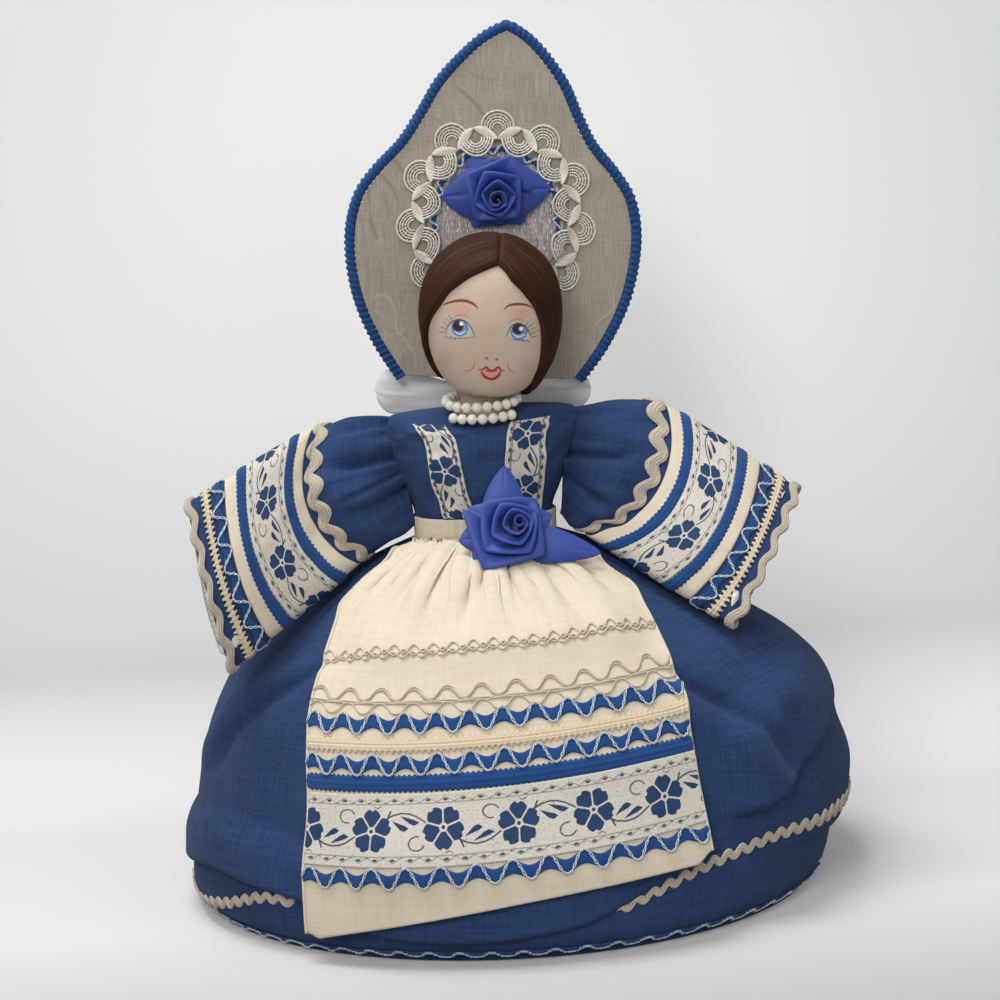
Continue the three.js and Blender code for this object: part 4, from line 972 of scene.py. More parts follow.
def painted_over(x: Array, y: Array, marks: list[Mark], ground: str) -> Array:
    """Marks laid over each other on a ground.

    Args:
        x: Places across the cloth in mm.
        y: Places up the cloth in mm.
        marks: The marks, from the lowest to the top one.
        ground: Written colour of the bare cloth.

    Returns:
        Red, green, blue and cover at each place.
    """
    colour = np.broadcast_to(np.array(hexed(ground)[:3]), (*x.shape, 3)).copy()
    cover = np.zeros(x.shape)
    for mark in marks:
        share = mark.cover(x, y)
        colour = mix(colour, np.array(hexed(mark.colour)[:3]), share[..., None])
        cover = cover + (1 - cover) * share
    return np.concatenate([colour, np.sqrt(cover)[..., None]], axis=-1)


# Bell of the skirt, as rows of its height, half-widths to her right and left, and half-depth
BELL_ROWS = np.array([
    [3.3, 148, 138.5, 117],
    [13, 155.5, 145, 122],
    [48, 150.5, 152.5, 118],
    [75, 145, 151, 111],
    [96, 137, 145, 102],
    [113, 125, 130, 92],
    [128, 104, 108, 77],
    [140, 84, 88, 63],
    [150, 66, 68, 49.5],
    [158, 48.5, 48.5, 37],
    [164, 32.64, 32.64, 24.04],
])


class Bell(Surface):
    """The bell of the skirt over the angle from the front, towards her left, and the height."""

    def __init__(self, lift: float = 0.0, folded: bool = False) -> None:
        """Reads the rows finely.

        Args:
            lift: Distance out from the cloth's face.
            folded: True where the folds of the outer cloth are wanted.
        """
        fine = np.linspace(0, len(BELL_ROWS) - 1, 1500)
        self.fine = between(BELL_ROWS, fine)
        self.lift = lift
        self.folded = folded
        self.broad = Ripple(3)

    def read(self, height: Array, column: int) -> Array:
        """A column of the rows at a height."""
        return np.interp(height, self.fine[:, 0], self.fine[:, column])

    def centre(self, height: Array) -> Array:
        """Where the middle of the bell leans to at a height."""
        return -7.5 * smooth(height, 100, 164)

    def bare(self, a: Array, b: Array) -> Array:
        """The bell without its folds."""
        width = mix(self.read(b, 1), self.read(b, 2), (1 + np.sin(a)) / 2)
        return stack(self.centre(b) + width * np.sin(a), -self.read(b, 3) * np.cos(a), b)

    def angle(self, x: Array, height: Array) -> Array:
        """Angle at which the front of the bell reaches x.

        Args:
            x: Places across.
            height: Heights in mm.

        Returns:
            Angles from the front.
        """
        angle = np.zeros(np.broadcast(x, height).shape)
        for _ in range(12):
            width = mix(self.read(height, 1), self.read(height, 2), (1 + np.sin(angle)) / 2)
            angle = np.arcsin(np.clip((x - self.centre(height)) / width, -1, 1))
        return angle

    def fold(self, a: Array, b: Array) -> Array:
        """Depth of the folds: soft ones behind, the overhangs, creases, slack and gathers.

        Args:
            a: First coordinates on the surface.
            b: Second coordinates on the surface.

        Returns:
            Distances out.
        """
        turned = np.arctan2(np.sin(a), np.cos(a))
        behind = smooth(np.abs(turned), 1.9, 2.4)
        drop = smooth(b, 10, 40) * (1 - smooth(b, 90, 122))
        wave = 4 * behind * drop * (0.5 + 0.5 * np.cos(10 * (a + 0.018 * b)))
        slack = self.broad(a * 64 / TAU / 2 + 7, b / 24) * 1.1 * smooth(b, 8, 30) * (1 - smooth(b, 135, 155))
        gathers = 0.9 * np.cos(52 * a + 3 * np.sin(5 * a)) * smooth(b, 128, 156)
        turns = np.degrees(turned)
        creases = sum(crease.depth_at(turns, b) for crease in CREASES)
        return wave + slack + gathers + self.hung(turns, b) + creases

    def hung(self, turns: Array, b: Array) -> Array:
        """How far the overhanging folds stand out."""
        return sum(over.shift(turns, b)[0] for over in OVERHANGS)

    def sag(self, a: Array, b: Array) -> Array:
        """How far the overhanging folds hang down."""
        turns = np.degrees(np.arctan2(np.sin(a), np.cos(a)))
        return sum(over.shift(turns, b)[1] for over in OVERHANGS)

    def place(self, a: Array, b: Array) -> Array:
        """Points of the bell, moved out by the lift and the folds.

        Args:
            a: First coordinates on the surface.
            b: Second coordinates on the surface.

        Returns:
            Points in mm.
        """
        points = self.bare(a, b)
        if not self.folded and not self.lift:
            return points
        across = self.bare(a + 0.01, b) - self.bare(a - 0.01, b)
        along = self.bare(a, b + 0.5) - self.bare(a, b - 0.5)
        out = self.lift + (self.fold(a, b) if self.folded else 0.0)
        moved = points + np.broadcast_to(out, a.shape)[..., None] * unit(np.cross(across, along))
        if self.folded:
            moved[..., 2] -= self.sag(a, b)
        return moved


@dataclass(frozen=True)
class Overhang:
    """A fold of the upper cloth that hangs out over a line, and a little down over it.

    The line has rows of degrees from the front, height and depth. The depth comes in over the rise
    above the line, and fades over the second half of the reach.
    """

    reach: float
    line: tuple[tuple[float, float, float], ...]
    rise: float = 6.0

    def shift(self, turns: Array, height: Array) -> tuple[Array, Array]:
        """How far the cloth is moved.

        Args:
            turns: Angles from the front in degrees.
            height: Heights.

        Returns:
            Distances out and down.
        """
        line = np.array(self.line)
        at = between(line, np.interp(turns, line[:, 0], np.arange(len(line))))
        off = height - at[..., 1]
        out = at[..., 2] * smooth(off, 0, self.rise) * (1 - smooth(off, self.reach / 2, self.reach))
        down = 0.8 * at[..., 2] * smooth(off, 0, 0.7 * self.rise)
        return out, down * (1 - smooth(off, self.rise, 4 * self.rise))


OVERHANGS = (
    Overhang(28, (
        (-165, 34, 0), (-120, 29, 4), (-84, 23, 5), (-62, 30, 6), (-50, 28.5, 6), (-42, 26, 5),
        (-36, 22.5, 4.5), (-29, 16.5, 4.5), (-21, 11.8, 4.5), (-7, 11.3, 5), (5, 14.3, 5),
        (12, 17.5, 4), (24, 27, 0),
    )),
    Overhang(50, ((35, 46, 0), (40, 50, 6), (46, 55, 9), (55, 65, 8), (70, 76, 5), (90, 82, 0)), 8.0),
    Overhang(45, ((45, 26, 0), (60, 28, 3.5), (90, 28, 3.5), (120, 28, 4), (165, 26, 0))),
)


@dataclass(frozen=True)
class Crease:
    """A crease or ridge of the skirt along a line of angles in degrees over heights.

    Its depth is a bell curve of the distance to the line, and fades out at its ends.
    """

    line: tuple[tuple[float, float], ...]
    width: float
    depth: float
    radius: float = 135.0

    def depth_at(self, turns: Array, height: Array) -> Array:
        """How far it moves the cloth out.

        Args:
            turns: Angles from the front in degrees.
            height: Heights.

        Returns:
            Distances, negative where it dips in.
        """
        line = np.array(self.line)[::-1]
        off = self.radius * np.radians(turns - np.interp(height, line[:, 1], line[:, 0]))
        lean = np.hypot(1, self.radius * np.radians(np.ptp(line[:, 0])) / np.ptp(line[:, 1]))
        share = (height - line[0, 1]) / (line[-1, 1] - line[0, 1])
        fade = smooth(share, -0.1, 0.25) * (1 - smooth(share, 0.75, 1.1))
        return fade * self.depth * np.exp(-((off / lean / self.width) ** 2))


CREASES = (
    Crease(((-41, 124), (-50, 113), (-58, 101), (-66, 85), (-72, 66)), 5.0, -4.5),
    Crease(((-47, 124), (-57, 113), (-66, 101), (-74, 85), (-80, 66)), 9.0, 2.5),
    Crease(((32, 114), (36.5, 103), (41.5, 92), (47, 81), (51, 68)), 4.0, -4.5),
    Crease(((29, 106), (33, 95), (38, 84), (43, 73), (47, 60)), 6.0, 2.0),
    Crease(((52, 92), (53, 84), (53, 76), (52, 66)), 9.0, -2.5),
    Crease(((-48, 90), (-46, 70), (-44, 50), (-42, 30)), 12.0, -2.5),
    Crease(((-92, 80), (-96, 60), (-99, 45), (-101, 30)), 10.0, -2.5),
    Crease(((100, 120), (103, 100), (104, 85), (106, 60)), 10.0, -3.0),
)


# Heights of the skirt's wavy braid, every 15 degrees from her back round by her right side
SKIRT_RICKRACK = np.array([
    30, 28.5, 26.5, 24, 21.5, 17, 11, 8, 14, 23.5, 17, 10.5, 11.5,
    20, 31.5, 36.5, 39, 39.5, 39.2, 38.8, 38.5, 38, 37, 33.5, 30,
])


class TuckedBell(Bell):
    """The folded bell, sunk under the cloth in front, where a fold hides what is sewn on it."""

    def fold(self, a: Array, b: Array) -> Array:
        """Depth of the folds, less the tuck between two angles."""
        turns = np.degrees(np.arctan2(np.sin(a), np.cos(a)))
        return super().fold(a, b) - 3.6 * (smooth(turns, -43, -37) - smooth(turns, 12, 17))


@dataclass
class Skirt:
    """The bell skirt: outer linen, padding, lining, bound hem and its two trims."""

    columns: int = 480
    rows: int = 150
    foot: float = 3.3
    top: float = 164.0
    linen: float = 1.2
    padding: float = 14.0
    seat: float = 0.3
    slack: float = 5.0

    def __post_init__(self) -> None:
        """Makes the surfaces of its layers."""
        self.face = Bell(folded=True)

    def outer(self) -> bpy.types.Object:
        """Outer cloth, with its edge turned in at the hem.

        Returns:
            The piece.
        """
        a = around(self.columns)
        b = np.linspace(self.foot, self.top, self.rows)[:, None]
        points = self.face.lifted(a, b, 0.0)
        inner = Bell(-self.linen).place(*np.broadcast_arrays(a, np.array([[14.0], [self.foot]])))
        rolled = np.concatenate([inner, points])
        cloth = stack(np.broadcast_to(a * 130, rolled.shape[:2]), np.concatenate([[[-8.0], [-1.0]], b]))
        mesh = PieceMesh("skirt")
        mesh.shell(rolled, cloth, columns_close=True)
        return mesh.on_doll("navy_linen", NAVY)

    def layer(self, name: str, outer: float, inner: float, finish: Finish, slot: str) -> bpy.types.Object:
        """An inner layer of the skirt, closed at its top and folded round at its foot.

        Args:
            name: Its node.
            outer: Distance of its outer face from the bell, which the slack brings further in.
            inner: Distance of its inner face from the bell.
            finish: Its finish.
            slot: The record's material slot.

        Returns:
            The finished object.
        """
        a = around(96)
        b = np.linspace(self.foot, self.top - 2, 40)[:, None]
        out = Bell(outer - self.slack).place(*np.broadcast_arrays(a, b))
        back = Bell(inner).place(*np.broadcast_arrays(a, b))
        points = np.concatenate([back[::-1], out])
        cloth = stack(a * 120, np.concatenate([-b[::-1], b]))
        mesh = PieceMesh(name)
        mesh.shell(points, cloth, columns_close=True, caps=Caps.POLES)
        return mesh.on_doll(slot, finish)

    def build(self) -> None:
        """Makes every piece of the skirt."""
        self.outer()
        start = -self.linen - self.seat
        self.layer("skirt_padding", start, start - self.padding, BATTING, "batting")
        lining = start - self.padding - self.seat
        self.layer("skirt_lining", lining + self.slack, lining - 1.0, COTTON, "white_cotton")
        self.binding(lining - 1.0)
        self.trims()

    def binding(self, inner: float) -> None:
        """Bound hem that the doll stands on: a flat ring of doubled linen, in to the lining's inside.

        Args:
            inner: How far in from the bell's foot it reaches, as a negative distance.
        """
        a = around(240)
        turn = np.linspace(0, TAU, 13)
        share = 0.5 - 0.5 * np.sign(np.cos(turn)) * np.abs(np.cos(turn)) ** 0.3
        height = 1.55 + 1.45 * np.sign(np.sin(turn)) * np.abs(np.sin(turn)) ** 0.5
        foot = Bell().bare(a, np.full(a.shape, self.foot))
        points = foot + (inner * share)[:, None, None] * unit(foot * (1, 1, 0))
        points[..., 2] = height[:, None]
        cloth = stack(a * 130, turn[:, None] * 4)
        mesh = PieceMesh("hem_binding")
        mesh.shell(points, cloth, rows_close=True, columns_close=True)
        mesh.on_doll("navy_linen", NAVY)

    def trims(self) -> None:
        """Wavy braid round the skirt and the zigzag stitching along its hem."""
        def rickrack(share: Array, t: Array) -> tuple[Array, Array]:
            """Angle and height along the wavy braid's line.

            Args:
                share: Shares of the way along the line.
                t: Distances across it.

            Returns:
                Both coordinates on the surface.
            """
            angle = (2 * share - 1) * math.pi
            height = between(SKIRT_RICKRACK, (np.degrees(angle) + 180) / 15)
            return np.broadcast_arrays(angle, height + t)

        def hem(share: Array, t: Array) -> tuple[Array, Array]:
            """Angle and height along the hem.

            Args:
                share: Shares of the way along the line.
                t: Distances across it.

            Returns:
                Both coordinates on the surface.
            """
            angle = (2 * share - 1) * math.pi
            turned_under = smooth(-np.degrees(angle), 15, 45)
            return np.broadcast_arrays(angle, 4.6 - 1.4 * turned_under + t)

        mesh = PieceMesh("skirt_rickrack")
        sunk = TuckedBell(folded=True)
        Rickrack(3.6, 1.2, 7.7, 0.8, 3).sew(mesh, Track(sunk, rickrack, 2400), 0.3, True)
        mesh.on_doll("silver_rickrack", RICKRACK)
        mesh = PieceMesh("hem_braid")
        ZigzagBraid(width=4.0, pitch=13.3).sew(mesh, Track(self.face, hem, 2000), 0.3, True)
        mesh.on_doll("zigzag_braid", GIMP, SILVER)


def strip(
    mesh: PieceMesh,
    track: Track,
    s: Array,
    t: Array,
    lift: Array,
    base: float,
    loop: bool,
    painted: dict[str, Array] | None = None,
) -> None:
    """Adds a flat trim with a closed cross-section: its top rows, and a plain underside.

    Args:
        mesh: The piece that it is added to.
        track: The line that it is sewn along.
        s: Distances along the line, one for each column or each point.
        t: Distances across it, rows by columns.
        lift: Heights of its top over the base, rows by columns.
        base: Height of its underside over the surface.
        loop: True where it goes right round.
        painted: Values held at its top rows.
    """
    rows, columns = t.shape
    wide = np.broadcast_to(s, (rows, columns))
    if loop:
        wide = wide % track.length
        wide = np.concatenate([wide[:, :-1], wide[:, :1]], axis=1)
    top = track.at(wide, t, base + lift)
    ends = [rows - 1, 0]
    under = track.at(wide[ends], t[ends], np.full((2, columns), base))
    points = np.concatenate([top, under, top[:1]])
    cloth = np.concatenate([stack(wide, t), stack(wide[ends], t[ends]), stack(wide[:1], t[:1])])
    values = {}
    for name, grid in (painted or {}).items():
        values[name] = np.concatenate([grid, grid[ends] * 0, grid[:1]])
    mesh.shell(points, cloth, True, loop, Caps.NONE if loop else Caps.ENDS, painted=values)


class Trim(ABC):
    """A trim that can be sewn along a track."""

    @abstractmethod
    def sew(self, mesh: PieceMesh, track: Track, base: float, loop: bool) -> None:
        """Lays it along a track.

        Args:
            mesh: The piece that it is added to.
            track: The line that it is sewn along.
            base: Height of its underside over the surface.
            loop: True where it goes right round.
        """


@dataclass(frozen=True)
class Rickrack(Trim):
    """Ric-rac: a flat ridged braid that swings from side to side as a sine."""

    width: float
    wave: float
    pitch: float
    height: float = 1.0
    ridges: int = 4

    def sew(self, mesh: PieceMesh, track: Track, base: float, loop: bool) -> None:
        """Lays it along a track, with its width kept square to its swing and a ridge for each thread.

        Args:
            mesh: The piece that it is added to.
            track: The line that it follows.
            base: Height of its underside over the cloth.
            loop: True where the line closes on itself.
        """
        pitch = track.repeats(self.pitch)
        s = track.stations(pitch / 26)
        v = np.linspace(-1, 1, 19)[:, None]
        phase = TAU * s / pitch
        slope = self.wave * TAU / pitch * np.cos(phase)
        half = v * self.width / 2 / np.hypot(1, slope)
        t = self.wave * np.sin(phase) + half
        along = s - 0.85 * slope * half
        crown = self.height * (1 - np.abs(v) ** 4 * 0.75)
        ridge = 0.4 * np.abs(np.cos(v * math.pi * self.ridges / 2)) - 0.12
        twist = 0.12 * np.cos(TAU * s / 1.3 + 5 * v)
        strip(mesh, track, along, t, crown + ridge + twist, base, loop)


@dataclass(frozen=True)
class ZigzagBraid(Trim):
    """Cobalt ground with lobes on both edges, under a wave of doubled silver cord."""

    width: float
    pitch: float
    height: float = 0.8
    cord: float = 0.26

    def sew(self, mesh: PieceMesh, track: Track, base: float, loop: bool) -> None:
        """Lays the ground, then the two cords that plait over it.

        Args:
            mesh: The piece that it is added to.
            track: The line that it follows.
            base: Height of its underside over the cloth.
            loop: True where the line closes on itself.
        """
        pitch = track.repeats(self.pitch)
        s = track.stations(pitch / 24)
        v = np.linspace(-1, 1, 13)[:, None]
        phase = TAU * s / pitch
        half = self.width / 2
        t = half * (0.26 * np.sin(phase) + 0.58 * v)
        knit = 0.22 * np.cos(TAU * s / 1.15) * np.cos(v * 5)
        strip(mesh, track, s, t, self.height * (1 - 0.5 * v**4) + knit, base, loop)
        swing = half - self.cord
        for side in (-1, 1):
            fine = track.stations(pitch / 60)
            phase = TAU * fine / pitch
            chain = np.sin(TAU * fine / (pitch / 9) + side * math.pi / 2)
            shape = np.sin(phase) * (1 - 0.12 * np.sin(phase) ** 2) / 0.88
            across = swing * shape + 0.34 * chain
            lift = base + self.height + 0.3 + 0.22 * np.cos(TAU * fine / (pitch / 9) + side * math.pi / 2)
            path = track.at(fine + 0.34 * side * np.abs(np.cos(phase)), across, lift)
            mesh.tube(path, self.cord, 6, track.normal(fine, across), loop=loop, finish=1)


@dataclass(frozen=True)
class Gimp(Trim):
    """Gimp braid: a raised knitted middle on a flat ground with picot teeth on both edges."""

    width: float
    tooth: float = 2.3
    height: float = 1.0

    def sew(self, mesh: PieceMesh, track: Track, base: float, loop: bool) -> None:
        """Lays it along a track. The teeth narrow to points and the middle has a bump for each knot.

        Args:
            mesh: The piece that it is added to.
            track: The line that it follows.
            base: Height of its underside over the cloth.
            loop: True where the line closes on itself.
        """
        tooth = track.repeats(self.tooth)
        s = track.stations(tooth / 7)
        v = np.linspace(-1, 1, 19)[:, None]
        peak = np.abs(np.cos(math.pi * s / tooth))
        half = self.width / 2 * (0.8 + 0.2 * peak**2)
        knots = 0.14 * np.cos(TAU * s / tooth * 2.0 + 3 * v)
        ridge = np.exp(-((v / 0.4) ** 2)) + 0.6 * np.exp(-(((np.abs(v) - 0.62) / 0.2) ** 2))
        lift = self.height * (0.35 + 0.65 * ridge) + knots * ridge
        lift = lift * (1 - 0.6 * np.abs(v) ** 8)
        strip(mesh, track, s, v * half, np.broadcast_to(lift, (len(v), len(s))), base, loop)


@dataclass(frozen=True)
class CombBraid(Trim):
    """Cream braid: a smooth or railed middle, with a row of teeth or small loops on each edge."""

    width: float
    middle: float
    tooth: float
    rails: int
    height: float = 0.8

    def sew(self, mesh: PieceMesh, track: Track, base: float, loop: bool) -> None:
        """Lays it along a track. The rails are ridges, and a tooth reaches out once every step.

        Args:
            mesh: The piece that it is added to.
            track: The line that it follows.
            base: Height of its underside over the cloth.
            loop: True where the line closes on itself.
        """
        tooth = track.repeats(self.tooth)
        s = track.stations(tooth / 9)
        v = np.linspace(-1, 1, 25)[:, None]
        reach = smooth(np.cos(TAU * s / tooth), -0.1, 0.55)
        half = mix(self.middle, self.width, reach) / 2
        inner = np.abs(v) * half / (self.middle / 2)
        rail = 0.3 * np.abs(np.sin(np.clip(inner, 0, 1) * math.pi * self.rails / 2))
        knit = 0.1 * np.cos(TAU * s / (tooth * 0.9)) * (inner < 1)
        lift = self.height * mix(1.0, 0.55, smooth(inner, 0.9, 1.1)) + rail + knit
        lift = lift * (1 - 0.5 * np.abs(v) ** 8)
        strip(mesh, track, s, v * half, lift, base, loop)


@dataclass(frozen=True)
class CordLace(Trim):
    """Lace of fine cords: each swings as a sine about its own line."""

    pitch: float
    cords: tuple[tuple[float, float, float, float], ...]
    radius: float = 0.42

    def sew(self, mesh: PieceMesh, track: Track, base: float, loop: bool) -> None:
        """Lays each cord, given by its middle, its swing, its phase in turns and its waves a pitch.

        Args:
            mesh: The piece that it is added to.
            track: The line that it follows.
            base: Height of its underside over the cloth.
            loop: True where the line closes on itself.
        """
        pitch = track.repeats(self.pitch)
        s = track.stations(pitch / 22)
        for number, (middle, swing, phase, waves) in enumerate(self.cords):
            turn = TAU * (s / pitch * waves + phase)
            t = middle + swing * np.sin(turn)
            lift = base + self.radius * (1.1 + 0.8 * np.cos(turn + number * math.pi))
            path = track.at(s - 0.02 * pitch / waves * np.sin(2 * turn) * (swing > 1.5), t, lift)
            mesh.tube(path, self.radius, 6, track.normal(s, t), loop=loop)


@dataclass(frozen=True)
class FlowerRibbon(Trim):
    """Woven ribbon with a running vine of five-petalled flowers between two narrow borders.

    A flower and its vine are distances to ellipses and tapered strokes, in shares of the pitch,
    and every other one is mirrored across the ribbon.
    """

    width: float
    pitch: float
    radius: float = 0.285
    grain: float = 0.4
    thickness: float = 0.6
    phase: float = 0.0

    STEM: ClassVar[tuple] = (
        (0.13, 0.1), (0.2, 0.15), (0.3, 0.2), (0.42, 0.225), (0.53, 0.215), (0.63, 0.18), (0.76, 0.1),
    )
    STROKES: ClassVar[tuple] = (
        ((0.265, 0.25), (0.175, 0.06), 0.013, 0.011),
        ((0.03, 0.315), (0.075, 0.29), 0.007, 0.007),
        ((0.075, 0.29), (0.13, 0.315), 0.007, 0.007),
    )
    LEAVES: ClassVar[tuple] = (
        ((0.29, 0.125), (0.42, 0.045), 0.004, 0.036),
        ((0.42, 0.045), (0.46, 0.03), 0.036, 0.038),
        ((0.46, 0.03), (0.52, 0.03), 0.038, 0.006),
        ((0.4, 0.19), (0.55, 0.12), 0.004, 0.032),
        ((0.55, 0.12), (0.6, 0.1), 0.032, 0.035),
        ((0.6, 0.1), (0.67, 0.1), 0.035, 0.006),
    )

    @staticmethod
    def stroke(x: Array, y: Array, start: tuple, end: tuple, first: float, last: float) -> Array:
        """Distance to a straight stroke that tapers.

        Args:
            x: Places along the ribbon, in shares of the pitch.
            y: Places across it.
            start: Where the stroke starts.
            end: Where it ends.
            first: Half-width at its start.
            last: Half-width at its end.

        Returns:
            Distances, negative inside the stroke.
        """
        dx, dy = end[0] - start[0], end[1] - start[1]
        along = np.clip(((x - start[0]) * dx + (y - start[1]) * dy) / (dx * dx + dy * dy), 0, 1)
        off = np.hypot(x - start[0] - along * dx, y - start[1] - along * dy)
        return off - mix(first, last, along)

    def flower(self, x: Array, y: Array) -> Array:
        """Distance to five heart-shaped petals and the small round middle.

        Args:
            x: Places across.
            y: Places up.

        Returns:
            Distances, negative inside the flower.
        """
        radius = np.hypot(x, y)
        sector = TAU / 5
        turn = np.arctan2(y, x) - 0.3
        near = turn - sector * np.round(turn / sector)
        out, side = radius * np.cos(near), radius * np.sin(near)
        r = self.radius
        wedge = np.abs(side) * 0.809 - out * 0.588 + 0.04 * r
        petal = np.maximum(wedge, np.hypot(out - 0.57 * r, side) - 0.43 * r)
        notch = 0.12 * r - np.hypot(out - 1.02 * r, side)
        petals = np.maximum(np.maximum(petal, notch), 0.2 * r - radius)
        return np.minimum(petals, radius - 0.09 * r)

    def drawn(self, s: Array, t: Array) -> dict[str, Array]:
        """Distances to what is woven in.

        Args:
            s: Places along the ribbon in mm.
            t: Places across it in mm.

        Returns:
            Distances in mm to the blue parts and to the dark lines, negative inside them.
        """
        blue, line = np.full(s.shape, 9.0), np.full(s.shape, 9.0)
        cell = np.floor(s / self.pitch + self.phase + 0.5)
        for shift in (-1, 0, 1):
            flip = np.where((cell + shift) % 2 == 0, 1.0, -1.0)
            x = s / self.pitch + self.phase - cell - shift
            y = t / self.pitch * flip + 0.015
            blue = np.minimum(blue, self.flower(x, y))
            for leaf in self.LEAVES:
                blue = np.minimum(blue, self.stroke(x, y, *leaf))
            for first, last in zip(self.STEM[:-1], self.STEM[1:]):
                line = np.minimum(line, self.stroke(x, y, first, last, 0.011, 0.011))
            for stroke in self.STROKES:
                line = np.minimum(line, self.stroke(x, y, *stroke))
            hook = np.abs(np.hypot((x + 0.36) * 0.8, y - 0.19) - 0.085) - 0.009
            open_side = 0.07 - np.hypot(x + 0.26, y - 0.14)
            line = np.minimum(line, np.maximum(hook, open_side))
        blue, line = blue * self.pitch, line * self.pitch
        half = self.width / 2
        rim = half - np.abs(t)
        border = np.abs(rim - 0.29 * half) - 0.2
        step = self.width * 0.26
        swing = np.abs((s / step) % 1 - 0.5) * 2
        zigzag = np.abs(rim - half * (0.12 + 0.14 * swing)) - 0.17
        dots = np.hypot((((s / step) % 1) - 0.5) * step / 2.2, rim - half * 0.2) - 0.52
        line = np.minimum(np.minimum(line, border), np.minimum(zigzag, dots))
        return {"blue": blue, "line": line}

    def sew(self, mesh: PieceMesh, track: Track, base: float, loop: bool) -> None:
        """Lays it along a track. Round a loop the vine is fitted to a whole number of flower pairs.

        Args:
            mesh: The piece that it is added to.
            track: The line that it follows.
            base: Height of its underside over the cloth.
            loop: True where the line closes on itself.
        """
        fitted = self
        if loop:
            fitted = FlowerRibbon(self.width, track.repeats(2 * self.pitch) / 2, self.radius, self.grain)
        s = track.stations(self.grain)
        rows = int(self.width / self.grain)
        v = np.linspace(-1, 1, rows)[:, None]
        t = np.broadcast_to(v * self.width / 2, (rows, len(s)))
        wide = np.broadcast_to(s[None, :], t.shape)
        selvage = 0.12 * np.exp(-(((np.abs(t) - self.width / 2 + 0.5) / 0.4) ** 2))
        lift = self.thickness * (1 - 0.3 * np.abs(v) ** 24) + selvage
        strip(mesh, track, s, t, lift, base, loop, fitted.drawn(wide, t))


@dataclass(frozen=True)
class WovenRibbon(Finish):
    """Off-white woven ribbon with blue flowers, slate lines and small grey-brown dashes."""

    blue: str = "0f3664"
    slate: str = "3c4454"
    dash: str = "a89a88"

    def dress(self, t: Tree, shader: bpy.types.Node) -> None:
        """Reads the distances painted on the ribbon, and frays them by the weave.

        Args:
            t: The material's node tree.
            shader: Its surface shader.
        """
        place = t.cloth_place()
        weave = self.group(t, "weave", Place=place, Pitch=0.55, Slub=0.3)
        fray = t.math("MULTIPLY", t.math("SUBTRACT", t.noise(place, 2.2, 1.0), 0.5), 0.3)
        dashes = t.noise(t.stretched(place, (0.8, 1.5, 1.0)), 1.0, 0.0)
        speck = t.rescale(dashes, 0.66, 0.71, 0.0, 0.7)
        wear = self.group(t, "wear", Place=t.object_place(), Size=25.0)
        ground = t.mix(speck, hexed(self.colour), hexed(self.dash))
        ground = t.mix(t.math("MULTIPLY", wear.outputs["Patches"], 0.25), ground, hexed("d6cebf"))
        line = t.rescale(t.math("ADD", t.value("line"), fray), 0.12, -0.12)
        blue = t.rescale(t.math("ADD", t.value("blue"), fray), 0.1, -0.1)
        colour = t.mix(line, ground, hexed(self.slate))
        colour = t.mix(blue, colour, hexed(self.blue))
        shade = t.rescale(weave.outputs["Height"], 0.2, 1.0, 0.78, 1.03)
        grey = t.add("CombineColor", {0: shade, 1: shade, 2: shade}).outputs[0]
        colour = t.mix(1.0, colour, grey, "MULTIPLY")
        raised = t.math("ADD", weave.outputs["Height"], t.math("MULTIPLY", blue, 0.8))
        self.feed(t, shader, colour=colour, normal=t.bump(raised, 0.6, 0.12))


RIBBON = WovenRibbon("jacquard_ribbon", "d9d2c6", 0.7)


# Apron: lines give their heights at her right edge, in the middle and at her left edge
APRON_EDGES = np.array([
    [8, -90.4, 78.4],
    [38, -90.7, 78],
    [63, -89.5, 77],
    [86, -88.8, 75],
    [102, -87.2, 73.5],
    [118, -83, 68.2],
    [134, -76, 60.5],
    [143, -70.5, 54.5],
    [152, -59, 42.5],
    [163, -39.5, 24.5],
])


# Gathers of the apron: share across at the waist, how far it drifts below, width and depth
APRON_VALLEYS = (
    (0.07, -0.03, 0.02, 2.2), (0.19, -0.02, 0.018, 2.6), (0.33, -0.03, 0.018, 3.0), (0.49, -0.1, 0.024, 3.2),
    (0.6, -0.01, 0.024, 3.2), (0.77, 0.02, 0.022, 3.0), (0.9, 0.02, 0.02, 2.4),
)


def line_height(line: Array, u: Array) -> Array:
    """Height at a share u across the apron: the curve of second degree through a line's three heights.

    Args:
        line: Heights at the apron's right, middle and left.
        u: Shares across the apron.

    Returns:
        Heights in mm.
    """
    right, middle, left = line
    bend = 2 * (right + left - 2 * middle)
    return right + (left - right - bend) * u + bend * u * u


class ApronBell(Bell):
    """The bell as the apron lies on it, which goes over the overhanging folds and not into them."""

    def hung(self, turns: Array, b: Array) -> Array:
        """A drape that stands about as far out as the folds do, down to the hem."""
        return 6.0 * (1 - smooth(b, 35, 72)) + 0 * turns

    def sag(self, a: Array, b: Array) -> Array:
        """Nothing: the apron hangs straight over the folds."""
        return 0 * a * b


